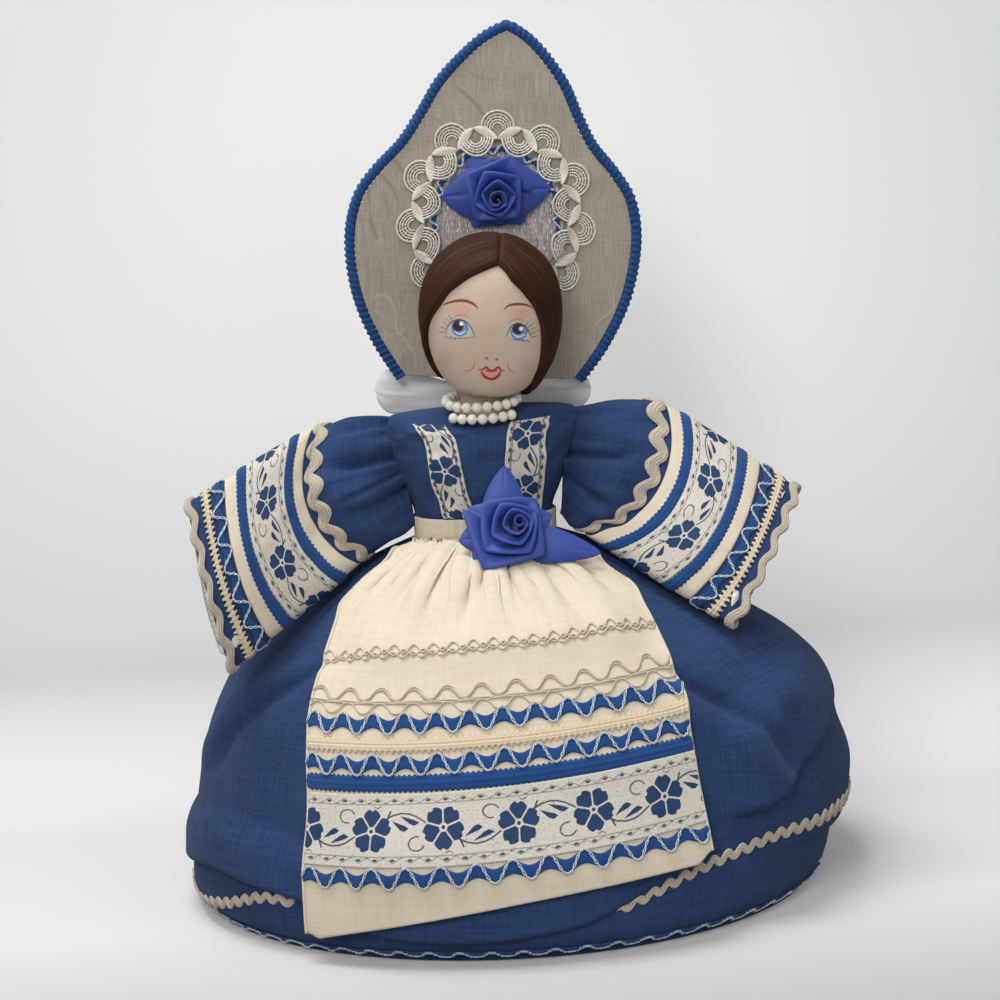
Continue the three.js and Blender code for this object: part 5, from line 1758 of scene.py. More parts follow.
class ApronFace(Surface):
    """The apron's face over the share of its width from her right edge, and the height."""

    step_a = 0.004

    def __init__(self, bell: Bell) -> None:
        """Lies on the folded bell.

        Args:
            bell: The skirt's surface.
        """
        self.bell = bell
        fine = np.linspace(0, len(APRON_EDGES) - 1, 400)
        self.edges = between(APRON_EDGES, fine)
        self.rumple = Ripple(11)

    def place(self, a: Array, b: Array) -> Array:
        """The bell's point at the apron's x, raised by the cloth, its gathers and its slack.

        Args:
            a: First coordinates on the surface.
            b: Second coordinates on the surface.

        Returns:
            Points in mm.
        """
        a, b = np.broadcast_arrays(a, b)
        right = np.interp(b, self.edges[:, 0], self.edges[:, 1])
        left = np.interp(b, self.edges[:, 0], self.edges[:, 2])
        angle = self.bell.angle(mix(right, left, a), b)
        roll = 4.6 * np.exp(-(((b - 127 - 4 * (a - 0.5)) / 8.5) ** 2))
        roll = roll * smooth(a, 0.02, 0.2) * smooth(-a, -0.99, -0.85)
        gathered = smooth(b, 118, 150) * (1 - 0.5 * smooth(b, 157, 163))
        down = 1 - smooth(b, 130, 156)
        valleys = 0.0
        for start, drift, width, depth in APRON_VALLEYS:
            off = (a - start - drift * down) / (width * (1 + 1.6 * down))
            valleys = valleys + depth * np.exp(-np.abs(off) ** 1.6)
        folds = gathered * (3.0 - np.minimum(valleys, 3.2))
        small = 0.35 * smooth(b, 148, 160) * np.cos(TAU * 11 * a + 3 * np.sin(7 * a))
        slack = 0.5 * self.rumple(a * 9, b / 22)
        return self.bell.lifted(angle, b, 1.6 + roll + folds + small + slack)


@dataclass
class Apron:
    """The linen apron with its rolled edges and the eight trims sewn across it."""

    hem: tuple = (11, 27, 35.5)
    top: float = 165.4
    cloth: float = 0.8

    def __post_init__(self) -> None:
        """Makes its face."""
        self.face = ApronFace(ApronBell(folded=True))

    def track(self, line: tuple) -> Track:
        """Track along a line.

        Args:
            line: Heights at the apron's right, middle and left.

        Returns:
            The track.
        """
        def where(share: Array, t: Array) -> tuple[Array, Array]:
            """Places of the track on its surface."""
            return np.broadcast_arrays(share, line_height(line, share) + t)

        return Track(self.face, where)

    def sheet(self) -> None:
        """The cloth, with its back and its edges closed."""
        u = np.linspace(0, 1, 221)[None, :]
        v = np.linspace(0, 1, 170)[:, None]
        corner = 2.6 * (1 - smooth(u, 0, 0.035)) + 4.0 * smooth(u, 0.95, 1) ** 1.5
        height = mix(line_height(self.hem, u) + corner, self.top, v)
        u = np.broadcast_to(u, height.shape)
        front = self.face.lifted(u, height, 0.0)
        back = self.face.lifted(u, height, -self.cloth)
        mesh = PieceMesh("apron")
        mesh.slab(front, back, stack(u * 168, height))
        for side in (0, -1):
            edge = front[:, side] + 0.1 * self.face.normal(u[:, side], height[:, side])
            mesh.tube(edge, 0.75, 6, (0, -1, 0))
        piece = mesh.on_doll("cream_linen", CREAM)

    def build(self) -> None:
        """Makes the cloth and its trims, each along its own line of heights, from the top one down."""
        self.sheet()
        scallops = ((0.9, 1.3, 0.0, 1), (-0.2, 0.9, 0.5, 1), (-0.9, 0.8, 0.05, 1))
        waves = (
            (2.6, 2.2, 0.0, 1), (2.0, 2.0, 0.01, 1), (-0.4, 0.12, 0.0, 1), (-1.0, 0.12, 0.5, 1),
            (-3.0, 2.0, 0.0, 1),
        )
        zigzag = ZigzagBraid(8.6, 14.6)
        ribbon = FlowerRibbon(29.4, 31.8, phase=1.0)
        blue = (GIMP, SILVER)
        for name, kind, line, finishes, slot in (
            ("scallop_lace", CordLace(8.6, scallops, 0.38), (122.8, 125.3, 128.4), (LACE,), "cream_lace"),
            ("zigzag_lace", CordLace(15.4, waves, 0.36), (107.8, 109.5, 114.5), (LACE,), "cream_lace"),
            ("zigzag_braid_high", zigzag, (98.8, 101.0, 106.2), blue, "zigzag_braid"),
            ("cream_braid", CombBraid(6.4, 4.2, 2.7, 3), (90.8, 92.8, 98), (CREAM_BRAID,), "cream_braid"),
            ("zigzag_braid_middle", zigzag, (83, 85.5, 91), blue, "zigzag_braid"),
            ("blue_braid", Gimp(7.4), (75.8, 78.2, 83.5), (GIMP,), "blue_gimp"),
            ("jacquard", ribbon, (56.6, 60, 66), (RIBBON,), "jacquard_ribbon"),
            ("zigzag_braid_low", zigzag, (37, 41.5, 47.5), blue, "zigzag_braid"),
        ):
            mesh = PieceMesh(f"apron_{name}")
            kind.sew(mesh, self.track(line), 0.15, False)
            mesh.on_doll(slot, *finishes)


# Body rings: height, middle in x and y, half-width and half-depth
BODY_RINGS = np.array([
    [163.4, -7.5, 0, 30, 21.4],
    [176, -7.5, 0, 30.5, 22.3],
    [190, -7.1, 0, 35, 24.3],
    [204, -6.7, 0, 40, 25],
    [213, -6.4, 0, 43, 23.5],
    [218, -6.2, -0.4, 42.5, 20],
    [221.3, -6, -1, 38, 14.5],
    [222.6, -5.6, -2.5, 14, 11.5],
    [224, -5.4, -3.5, 10.5, 9.5],
    [235.5, -5, -4.5, 10.5, 9.5],
])


class BodyFace(Surface):
    """The stuffed body over the angle from the front and the row of its rings."""

    step_b = 0.02

    def __init__(self, lift: float = 0.0, rumpled: bool = False) -> None:
        """Holds the distance out from the stuffing, and whether the cloth is rumpled.

        Args:
            lift: Distances out from the surface underneath.
            rumpled: True for cloth with gathers and slack.
        """
        self.lift = lift
        self.rumpled = rumpled
        self.ripple = Ripple(21)

    def place(self, a: Array, b: Array) -> Array:
        """Points of the rings, with the neckline dipped in front.

        Args:
            a: First coordinates on the surface.
            b: Second coordinates on the surface.

        Returns:
            Points in mm.
        """
        a, b = np.broadcast_arrays(a, b)
        ring = between(BODY_RINGS, b)
        height, x, y, width, depth = (ring[..., k] for k in range(5))
        rise = smooth(height, 213, 222.6)
        dip = 4.5 * rise * np.maximum(0, np.cos(a)) ** 2 * (1 - smooth(height, 222.6, 223.6))
        out = self.lift
        if self.rumpled:
            slack = 1.0 * self.ripple(a * 4 + 9, b * 1.8)
            pulls = 0.6 * np.cos(a * 9 + b) * (1 - smooth(b, 0.3, 2.0))
            out = out + (slack + pulls) * (1 - smooth(b, 4.5, 6))
        return stack(
            x + (width + out) * np.sin(a), y - (depth + out) * np.cos(a), height + self.lift * rise - dip
        )


@dataclass
class Torso:
    """Stuffed body, bodice, its two flowered straps and the apron's waistband."""

    bodice_lift: float = 1.5
    strap_rows: tuple = (1, 1.5, 2, 3, 4, 4.6, 5.3)

    def build(self) -> None:
        """Makes every piece."""
        self.bodice = BodyFace(self.bodice_lift, True)
        self.stuffing()
        self.cloth()
        self.strap("right_bodice_strap", ((-18, -3.5), (-34.5, -13.5)), 0.1)
        self.strap("left_bodice_strap", ((7.5, 25.5), (12.2, 32)), 0.55)
        self.waistband()

    def stuffing(self) -> None:
        """Body and neck in white cotton."""
        a = around(96)
        b = np.linspace(0, len(BODY_RINGS) - 1, 90)[:, None]
        points = BodyFace().place(a, b)
        mesh = PieceMesh("body_stuffing")
        mesh.shell(points, stack(a * 30, b * 10), columns_close=True, caps=Caps.POLES)
        mesh.on_doll("white_cotton", SKIN)

    def cloth(self) -> None:
        """Bodice linen, turned in at the neckline and the waist."""
        a = around(240)
        b = np.linspace(0, 7, 100)[:, None]
        face = self.bodice.place(a, b)
        inner = BodyFace(0.4).place(*np.broadcast_arrays(a, b[::-1]))
        points = np.concatenate([face, inner, face[:1]])
        cloth = stack(a * 32, np.concatenate([b, b[::-1], b[:1]]) * 10)
        mesh = PieceMesh("bodice")
        mesh.shell(points, cloth, rows_close=True, columns_close=True)
        mesh.on_doll("navy_linen", NAVY)

    def strap(self, name: str, edges: tuple, phase: float) -> None:
        """A flowered ribbon down the bodice.

        Args:
            name: Its node.
            edges: Where its two edges lie to the side, at its foot and at its top.
            phase: Where the first flower lies, in turns of the pattern.
        """
        rows = np.array(self.strap_rows)
        (foot_a, foot_b), (top_a, top_b) = edges

        def where(share: Array, t: Array) -> tuple[Array, Array]:
            """Places of the track on its surface.

            Args:
                share: Shares of the way along the line.
                t: Distances across it.

            Returns:
                Both coordinates on the surface.
            """
            share, t = np.broadcast_arrays(share, t)
            row = between(rows, share * (len(rows) - 1))
            first, last = mix(foot_a, top_a, share), mix(foot_b, top_b, share)
            x = (first + last) / 2 - t
            half = between(BODY_RINGS, row)[..., 3] + self.bodice_lift
            return np.arcsin(np.clip(x / half, -1, 1)), row

        ribbon = FlowerRibbon(foot_b - foot_a, 25.5, phase=phase, grain=0.32)
        mesh = PieceMesh(name)
        ribbon.sew(mesh, Track(self.bodice, where), 0.35, False)
        mesh.on_doll("jacquard_ribbon", RIBBON)

    def waistband(self) -> None:
        """Band of the apron round the waist, folded over and softly gathered."""
        face = BodyFace(self.bodice_lift)
        waist, foot, step, half = 170.0, 163.4, 12.6, 5.4
        a = around(300)
        turn = np.linspace(0, TAU, 33)[:, None]
        climb = np.sign(np.sin(turn)) * np.abs(np.sin(turn)) ** 0.7
        row = (waist - foot) / step + half * climb / step
        out = 0.9 - 0.6 * np.sign(np.cos(turn)) * -np.abs(np.cos(turn)) ** 0.5
        pleats = 0.22 * np.cos(70 * a + 4 * np.sin(7 * a)) * (1 + 0 * turn)
        lift = 0.35 + out * 0.8 + np.where(out > 0.9, pleats, 0)
        points = face.lifted(*np.broadcast_arrays(a, row), lift)
        mesh = PieceMesh("apron_waistband")
        mesh.shell(points[::-1], stack(a * 32, turn * 4)[::-1], rows_close=True, columns_close=True)
        mesh.on_doll("cream_linen", CREAM)


LEAN = math.radians(4.5)
CHIN = np.array([-2.2, -12.5, 228.8])

# The egg of the head: its widest half-width, its depth as a share of that, and its middle's height and reach
EGG_WIDTH = 29.5
EGG_DEPTH = 0.8
EGG_MIDDLE = 40
EGG_RISE = 32.4
HEAD_PROFILE = np.array([
    [0, 0], [9, 1.2], [17, 5], [23, 12], [27, 21], [29.3, 32],
    [29.5, 42], [27.5, 53], [22.5, 62], [13.5, 69.2], [5, 72], [0, 72.4],
])


def leaned(points: Array, origin: Array) -> Array:
    """Points of the head and headdress in the doll's frame: turned about y by the lean, then moved.

    Args:
        points: Points in the leaning group's own frame.
        origin: Where that frame's origin lies.

    Returns:
        The points in the doll's frame.
    """
    x, y, z = points[..., 0], points[..., 1], points[..., 2]
    c, s = math.cos(LEAN), math.sin(LEAN)
    return stack(x * c + z * s, y, z * c - x * s) + origin


class HeadFace(Surface):
    """The egg of the head over the angle from the front and the index of its profile."""

    step_b = 0.02

    def __init__(self, lift: Array | float = 0.0) -> None:
        """Holds the distance out, which may be a grid.

        Args:
            lift: Distances out from the surface underneath.
        """
        self.lift = lift
        fine = np.linspace(0, len(HEAD_PROFILE) - 1, 1200)
        self.fine = between(HEAD_PROFILE, fine)
        self.slope = unit(np.gradient(self.fine, axis=0))
        self.index = fine

    def at_height(self, height: Array) -> Array:
        """Index of the profile at a height above the chin."""
        return np.interp(height, self.fine[:, 1], self.index)

    def place(self, a: Array, b: Array) -> Array:
        """Points of the egg, flattened front to back and moved out by the lift.

        Args:
            a: First coordinates on the surface.
            b: Second coordinates on the surface.

        Returns:
            Points in mm.
        """
        a, b = np.broadcast_arrays(a, b)
        radius, height = (np.interp(b, self.index, self.fine[:, k]) for k in (0, 1))
        run, rise = (np.interp(b, self.index, self.slope[:, k]) for k in (0, 1))
        wide = radius + self.lift * rise
        deep = radius * EGG_DEPTH + self.lift * rise
        return leaned(stack(wide * np.sin(a), -deep * np.cos(a), height - self.lift * run), CHIN)


def face_paint() -> list[Mark]:
    """The painted features, in mm across the face and above the chin, from the lowest one up.

    Returns:
        The marks, in the order they are laid.
    """
    brown, navy, red = "7c4630", "3c4257", "b3242f"
    blue, ring, black = "7d96c4", "5c7cb4", "24262e"
    crease, white, glint = "a5705a", "c9c5bd", "f3f3f2"
    paint = [
        Spot((-13.2, 41.4), (5.7, 3.0), "d29a7f", 0.75, 1.6),
        Spot((12.6, 40.0), (4.9, 3.1), "d29a7f", 0.75, 1.6),
        Spot((-1.1, 31.5), (4.5, 3.0), "b99d88", 0.35, 1.8),
        Spot((-19.9, 18.6), (4.0, 4.5), "a88e7a", 0.45, 2.4),
        Spot((16.6, 16.3), (3.5, 3.0), "a88e7a", 0.4, 1.8),
    ]
    for fold in (
        ((-17.4, 37.1), (-15.7, 38.3), (-13.7, 39.1), (-11, 38.6), (-8.7, 37.1)),
        ((7.7, 35.4), (9.2, 36.9), (11.6, 37.6), (13.9, 37.3), (15.6, 36.2)),
    ):
        paint.append(Stroke(fold, 0.3, crease, 0.4, 0.8))
    for middle, size, whites in (
        ((-13.5, 32.0), (5.4, 3.9), (-13.4, 31.0)), ((12.8, 31.2), (4.9, 3.9), (13.0, 30.2)),
    ):
        paint.append(Spot(middle, size, white, 0.85, 0.7))
        paint.append(Spot(whites, (6.0, 2.0), white, 0.7, 0.7))
    for iris, pupil, light, crescent in (
        ((-13.6, 33.2), (-14.4, 34.1), (-12.9, 35.2), ((-16.3, 31.8), (-13.6, 30.6), (-10.6, 32.2))),
        ((12.7, 32.0), (12.2, 33.3), (13.6, 33.4), ((9.7, 31.3), (12.6, 29.7), (15.5, 30.9))),
    ):
        paint.append(Spot(iris, (3.7, 3.7), blue))
        paint.append(Spot(iris, (3.7, 3.7), ring, 0.9, 0.2, 0.7))
        paint.append(Spot(pupil, (2.5, 2.45), black, 1.0, 0.25))
        paint.append(Stroke(crescent, 0.4, "dfe3ec", 0.3, 0.9))
        paint.append(Spot(light, (0.95, 0.95), glint, 1.0, 0.2))
    for lid in (
        ((-20, 30.6), (-18.9, 33.7), (-16.9, 36), (-13.7, 37), (-10.7, 36), (-8.6, 33.6), (-6.7, 29.7)),
        ((7.2, 30), (8.5, 33.4), (10, 35.1), (12.4, 35.8), (15.2, 34.7), (17, 32.1), (18.8, 29)),
    ):
        paint.append(Stroke(lid, 0.36, navy, 0.5, 0.95))
    for lid in (
        ((-20, 28.9), (-15.5, 28.5), (-10.6, 28.9), (-6.8, 29.6)),
        ((7.8, 28.9), (12.3, 28.3), (15.3, 28.1), (18.4, 27.6)),
    ):
        paint.append(Stroke(lid, 0.22, navy, 0.4, 0.75))
    for root, tip in (
        ((-20.3, 31), (-23.1, 30.7)), ((-19.8, 32.3), (-22.3, 33.4)), ((-18.9, 33.9), (-21.4, 35.7)),
        ((-17.9, 35.3), (-20.1, 37.5)), ((-16.9, 36.3), (-18.9, 39)), ((-17.1, 29.2), (-18.3, 27.9)),
        ((-15.2, 29), (-16.3, 27.6)), ((-19.1, 29.2), (-20.4, 28.5)), ((15.4, 34.7), (16.9, 36.7)),
        ((16.4, 33.7), (19.2, 35.8)), ((17, 32.5), (20.3, 34)), ((17.7, 31.1), (21.4, 32.3)),
        ((18.5, 29.4), (21.7, 30)), ((14.1, 28.5), (15.5, 27.2)), ((16.1, 28.4), (17.5, 27)),
    ):
        paint.append(Stroke((root, tip), 0.24, navy, 0.4, 0.9))
    for brow, half in (
        (((-21.2, 43.1), (-17.7, 44.5), (-13.8, 45.4), (-10.1, 45.1), (-7.3, 43.8), (-5.6, 42.1)), 0.75),
        (((6.0, 41.9), (7.5, 43.5), (10.5, 44.2), (14.0, 44.2), (16.4, 43.7), (18.7, 42.6)), 0.65),
    ):
        paint.append(Stroke(brow, half, brown, 0.3))
    paint += [
        Spot((-1.4, 20), (0.8, 0.65), "6e5f55", 0.9, 0.3),
        Spot((3.0, 19.6), (0.8, 0.65), "6e5f55", 0.9, 0.3),
        Stroke(((-6.6, 18.6), (-7.3, 15.7), (-9.3, 14), (-11.6, 14.1)), 0.3, "b0524a", 0.4, 0.9),
        Stroke(((8.1, 18.9), (8.1, 16.5), (9.4, 14.1), (11.5, 13.2)), 0.3, "b0524a", 0.4, 0.9),
        Spot((0.8, 12.9), (3.4, 1.4), "e09a90", 0.9, 0.4),
        Stroke(((-3.6, 13.9), (-2.3, 11.6), (0.8, 10.4), (3.7, 11.7), (4.9, 14.1)), 0.75, red, 0.5),
        Stroke(((-5.3, 14.7), (-3.1, 14.9), (-1.6, 15.9), (-0.3, 14.9), (0.9, 14.3)), 0.55, red, 0.3),
        Stroke(((0.9, 14.3), (2.2, 15), (3.8, 15.9), (4.9, 14.9), (6.9, 14.2)), 0.55, red, 0.3),
        Spot((0.8, 14.4), (3.0, 0.6), red, 1.0, 0.2),
    ]
    return paint


def board_pattern() -> list[Mark]:
    """Woven pattern of the headdress cloth: darker leaf stripes, and the pale lines of its sprays.

    Returns:
        The marks, in the order they are laid.
    """
    dark, brown, pale = "7f7c71", "94897b", "bdb09a"
    leaf = [
        (((-18.6, 134.2), (-13.3, 130.3), (-7.1, 124.3), (-2, 116)), 1.1, dark),
        (((-47.2, 102), (-44.5, 98.5), (-41.8, 94.6), (-38, 87)), 1.0, dark),
        (((-53, 94.5), (-49.5, 91), (-46.2, 86.8), (-43.4, 80)), 1.1, dark),
        (((-57.9, 90), (-57.5, 84.9), (-57.4, 78.3)), 0.9, dark),
        (((-56.8, 75.5), (-55.6, 69.2), (-52.7, 63.6)), 1.2, dark),
        (((-50.8, 87), (-48.9, 79.6), (-48.0, 72)), 1.3, brown),
        (((-61.4, 75.4), (-59.6, 67.5), (-59.6, 58.9)), 0.9, brown),
        (((-58.6, 55.5), (-57.4, 46.3), (-58.2, 37)), 1.2, brown),
        (((-51.8, 55.5), (-51.1, 46.4), (-51.8, 39.5)), 1.0, brown),
        (((52.4, 91.2), (50.2, 87.3), (48.4, 82.8)), 0.8, brown),
        (((-22, 146), (-15, 142), (-6, 138), (4, 137)), 0.7, brown),
        (((-33, 121), (-27, 119), (-22, 114)), 0.8, brown),
        (((57.5, 33.0), (54.0, 29.5), (49.0, 25.5), (46.5, 20)), 0.7, brown),
    ]
    strokes = [Stroke(line, half, colour, 0.3, 0.8, 0.5) for line, half, colour in leaf]
    chain = np.array([
        (-53.6, 37.7), (-49.6, 38.4), (-47.3, 36.1), (-45.5, 32.6), (-44.2, 26.3), (-43.6, 21.7),
        (-40.1, 17.7), (-36.6, 12.6),
    ])
    beads = between(chain, np.linspace(0, len(chain) - 1, 26))
    strokes += [Spot(tuple(bead), (0.75, 0.95), pale, 0.7, 0.4) for bead in beads]
    for line in (
        ((-50.6, 23.3), (-47.6, 19.9), (-42.4, 20.6)),
        ((58.2, 36.0), (54.9, 31.7), (49.9, 27.4), (47.5, 21.5)),
        ((-39.5, 14), (-43, 9), (-42.5, 3)),
        ((-52, 30), (-49, 27), (-46, 27.5)),
    ):
        strokes.append(Stroke(line, 0.5, pale, 0.5, 0.75, 0.4))
    return strokes


@dataclass
class Head:
    """Painted cloth head and its hair, parted in the middle and swept to the back."""

    hair_gap: float = 0.5
    hair_height: float = 2.3
    right_line: tuple = (
        (7, 60.8), (-2, 59.4), (-19, 55.8), (-31, 51.7), (-40, 48.1), (-49, 42.4), (-60, 37.1),
        (-68, 32.8), (-78, 26), (-88, 18), (-97, 12),
    )
    left_line: tuple = (
        (7, 60.8), (13, 58.5), (19, 54.2), (26, 50.8), (32, 47.4), (40, 42.3), (48, 34.2),
        (53, 26.5), (58, 18.7), (64, 11), (72, 7),
    )

    def face(self) -> None:
        """The egg, with its points closest together on the face."""
        share = np.linspace(-1, 1, 331)[None, :]
        a = math.pi * (0.45 * share + 0.55 * share**3)
        surface = HeadFace()
        features = surface.at_height(np.linspace(8, 49, 155))
        chin = np.linspace(0.02, features[0], 20)[:-1]
        crown = np.linspace(features[-1], len(HEAD_PROFILE) - 1.02, 41)[1:]
        b = np.concatenate([chin, features, crown])[:, None]
        points = surface.place(a, b)
        radius, height = (np.interp(b, surface.index, surface.fine[:, k]) for k in (0, 1))
        across = np.where(np.abs(a) < math.pi / 2, radius * np.sin(a), 99.0)
        paint = painted_over(across, np.broadcast_to(height, across.shape), face_paint(), FACE.colour)
        mesh = PieceMesh("head")
        cloth = stack(a * 28, b * 7)
        mesh.shell(points, cloth, columns_close=True, caps=Caps.POLES, painted={"paint": paint})
        mesh.on_doll("face_cloth", FACE)

    def direction(self, angle: Array, height: Array) -> Array:
        """Unit directions from the head's middle, with its egg taken as a ball.

        Args:
            angle: Angles from the front.
            height: Heights above the chin.

        Returns:
            Vectors of length one.
        """
        surface = HeadFace()
        radius = np.interp(height, surface.fine[:, 1], surface.fine[:, 0]) / EGG_WIDTH
        up = (height - EGG_MIDDLE) / EGG_RISE
        return unit(stack(radius * np.sin(angle), -radius * np.cos(angle), up))

    def on_egg(self, way: Array, lift: Array) -> Array:
        """Points of the egg.

        Args:
            way: Unit directions from its middle.
            lift: Distances out from it.

        Returns:
            Points in the doll's frame.
        """
        surface = HeadFace()
        rise = np.arctan2((surface.fine[:, 1] - EGG_MIDDLE) / EGG_RISE, surface.fine[:, 0] / EGG_WIDTH)
        index = np.interp(np.arctan2(way[..., 2], np.hypot(way[..., 0], way[..., 1])), rise, surface.index)
        angle = np.arctan2(way[..., 0], -way[..., 1])
        return HeadFace(lift).place(angle, index)

    def hair(self) -> None:
        """Two halves of combed hair, from the parting down past the face and back to the nape."""
        mesh = PieceMesh("hair")
        for side, line in ((-1, self.right_line), (1, self.left_line)):
            self.half(mesh, side, np.array(line, float))
        mesh.on_doll("brown_hair", HAIR)

    def half(self, mesh: PieceMesh, side: int, line: Array) -> None:
        """One half: each strand lies part of the way from the hairline to the middle of the back.

        A strand's places are those shares of the great circle between two lines of directions.

        Args:
            mesh: The piece that it is added to.
            side: -1 for her right and 1 for her left.
            line: The hairline, as degrees from the front and heights above the chin.
        """
        u = np.linspace(0, 1, 76)
        front = between(line, u * (len(line) - 1))
        back = stack(180.0, np.array([47, 42, 36, 29, 21, 14], float))
        behind = between(back, u * (len(back) - 1))
        first = self.direction(np.radians(front[:, 0]), front[:, 1])
        last = self.direction(np.radians(behind[:, 0] * side), behind[:, 1])
        share = np.linspace(0, 1, 150)[:, None] ** 1.25
        gap = np.arccos(np.clip((first * last).sum(axis=1), -1, 1))[None, :]
        way = unit(np.sin((1 - share) * gap)[..., None] * first + np.sin(share * gap)[..., None] * last)
        across = share * gap * 29
        edge = smooth(across, -0.1, 3.2) ** 0.5
        parting = smooth(u[None, :], -0.01, 0.06)
        strands = Ripple(81)(across / 1.1 + 90 * (side + 1), u[None, :] * 3)
        locks = Ripple(83)(across / 4.5 + 40 * (side + 1), u[None, :] * 1.6)
        lift = self.hair_gap + self.hair_height * (0.25 + 0.75 * edge * (0.55 + 0.45 * parting))
        lift = lift + (0.16 * strands + 0.3 * locks) * edge
        out = self.on_egg(way, lift)
        inner = self.on_egg(way, np.full(lift.shape, self.hair_gap - 0.2))
        cloth = stack(u[None, :] * 85, across)
        if side > 0:
            out, inner, cloth = out[::-1], inner[::-1], cloth[::-1]
        mesh.slab(out, inner, cloth)

    def build(self) -> None:
        """Makes the face and the hair."""
        self.face()
        self.hair()


@dataclass
class Necklaces:
    """Two strings of round beads on their threads."""

    bead: float = 4.7
    pitch: float = 4.8
    middle: tuple = (-5.6, -5.0)

    def strand(self, angle: Array, radius: Array, height: Array) -> Array:
        """Points round the neck."""
        x, y = self.middle
        return stack(x + radius * np.sin(angle), y - radius * np.cos(angle), height)

    def string(self, name: str, path: Array, beads: Array, loop: bool) -> None:
        """A thread with its beads.

        Args:
            name: Its node.
            path: Points of the thread.
            beads: Middles of the beads.
            loop: True where the thread closes on itself.
        """
        mesh = PieceMesh(name)
        mesh.tube(path, 0.5, 6, loop=loop)
        turn = np.linspace(-math.pi, math.pi, 15)[None, :]
        climb = np.linspace(-1.45, 1.45, 10)[:, None]
        ball = stack(np.cos(climb) * np.sin(turn), -np.cos(climb) * np.cos(turn), np.sin(climb) + 0 * turn)
        skin = stack(turn * 2, climb * 2)
        for place in beads:
            mesh.shell(place + ball * self.bead / 2, skin, columns_close=True, caps=Caps.POLES)
        mesh.on_doll("pearl_bead", PEARL)

    def upper(self, angle: Array) -> Array:
        """The strand that goes right round the neck, lower in front.

        Args:
            angle: Angles from the front.

        Returns:
            Points in mm.
        """
        back = smooth(-np.cos(angle), -0.6, 0.5)
        height = 225.9 + 3.2 * smooth(-np.cos(angle), -1, 0.2)
        return self.strand(angle, mix(18.0, 13.4, back), height)

    def lower(self, angle: Array) -> Array:
        """The strand that hangs in front."""
        return self.strand(angle, 19.6 + 0 * angle, 220.7 + 2.2 * (1 - np.cos(angle)))

    def build(self) -> None:
        """Makes both strings."""
        fine = np.linspace(0, TAU, 400)
        path = self.upper(fine)
        length = run_along(path)
        count = round(length[-1] / self.pitch)
        spread = np.interp((np.arange(count) + 0.5) / count * length[-1], length, fine)
        self.string("necklace_upper", path, self.upper(spread), True)
        half = 7 * self.pitch / 19.6 / 2
        beads = mix(-half, half, (np.arange(7) + 0.5) / 7)
        self.string("necklace_lower", self.lower(np.linspace(-half, half, 60)), self.lower(beads), False)


@dataclass(frozen=True)
class ArmPlan:
    """Sizes of one arm: its hinge, its round face about it, and where the cuff lies."""

    name: str
    side: int
    hinge: tuple[float, float, float]
    face_middle: float
    face_half: float
    start_depth: tuple[float, float]
    reach: tuple[float, float, float]
    cuff_half: tuple[float, float, float]
    blend: tuple[tuple[float, float, float], tuple[float, float, float]]
    creases: tuple[tuple[float, float, float, float], ...]


RIGHT_ARM = ArmPlan(
    "right", -1, (-42.3, 0, 198.9), -16.7, 47.5, (0, -12), (-56, -42, -31), (-7.9, 8, 36.6),
    ((-44, 0, 197), (-88, 0, 183)),
    ((0.42, -0.12, 0.1, 4.6), (-0.5, -0.14, 0.12, 4.6), (0.93, 0.03, 0.05, 2.4), (-0.02, 0.1, 0.08, 1.6)),
)
LEFT_ARM = ArmPlan(
    "left", 1, (32.5, 0, 210.9), -37.2, 53, (0, -13), (65, -27, -43), (18.4, 19, 27.2),
    ((31, 0, 205), (70, 0, 178)),
    ((0.24, -0.3, 0.1, 4.4), (-0.45, 0.12, 0.13, 4.8), (0.92, -0.02, 0.05, 2.6), (0.6, 0.05, 0.08, 1.4)),
)
SLEEVE_LENGTH = 82.6
PUFF_LENGTH = 36.0
FACE_RADIUS = 42.8


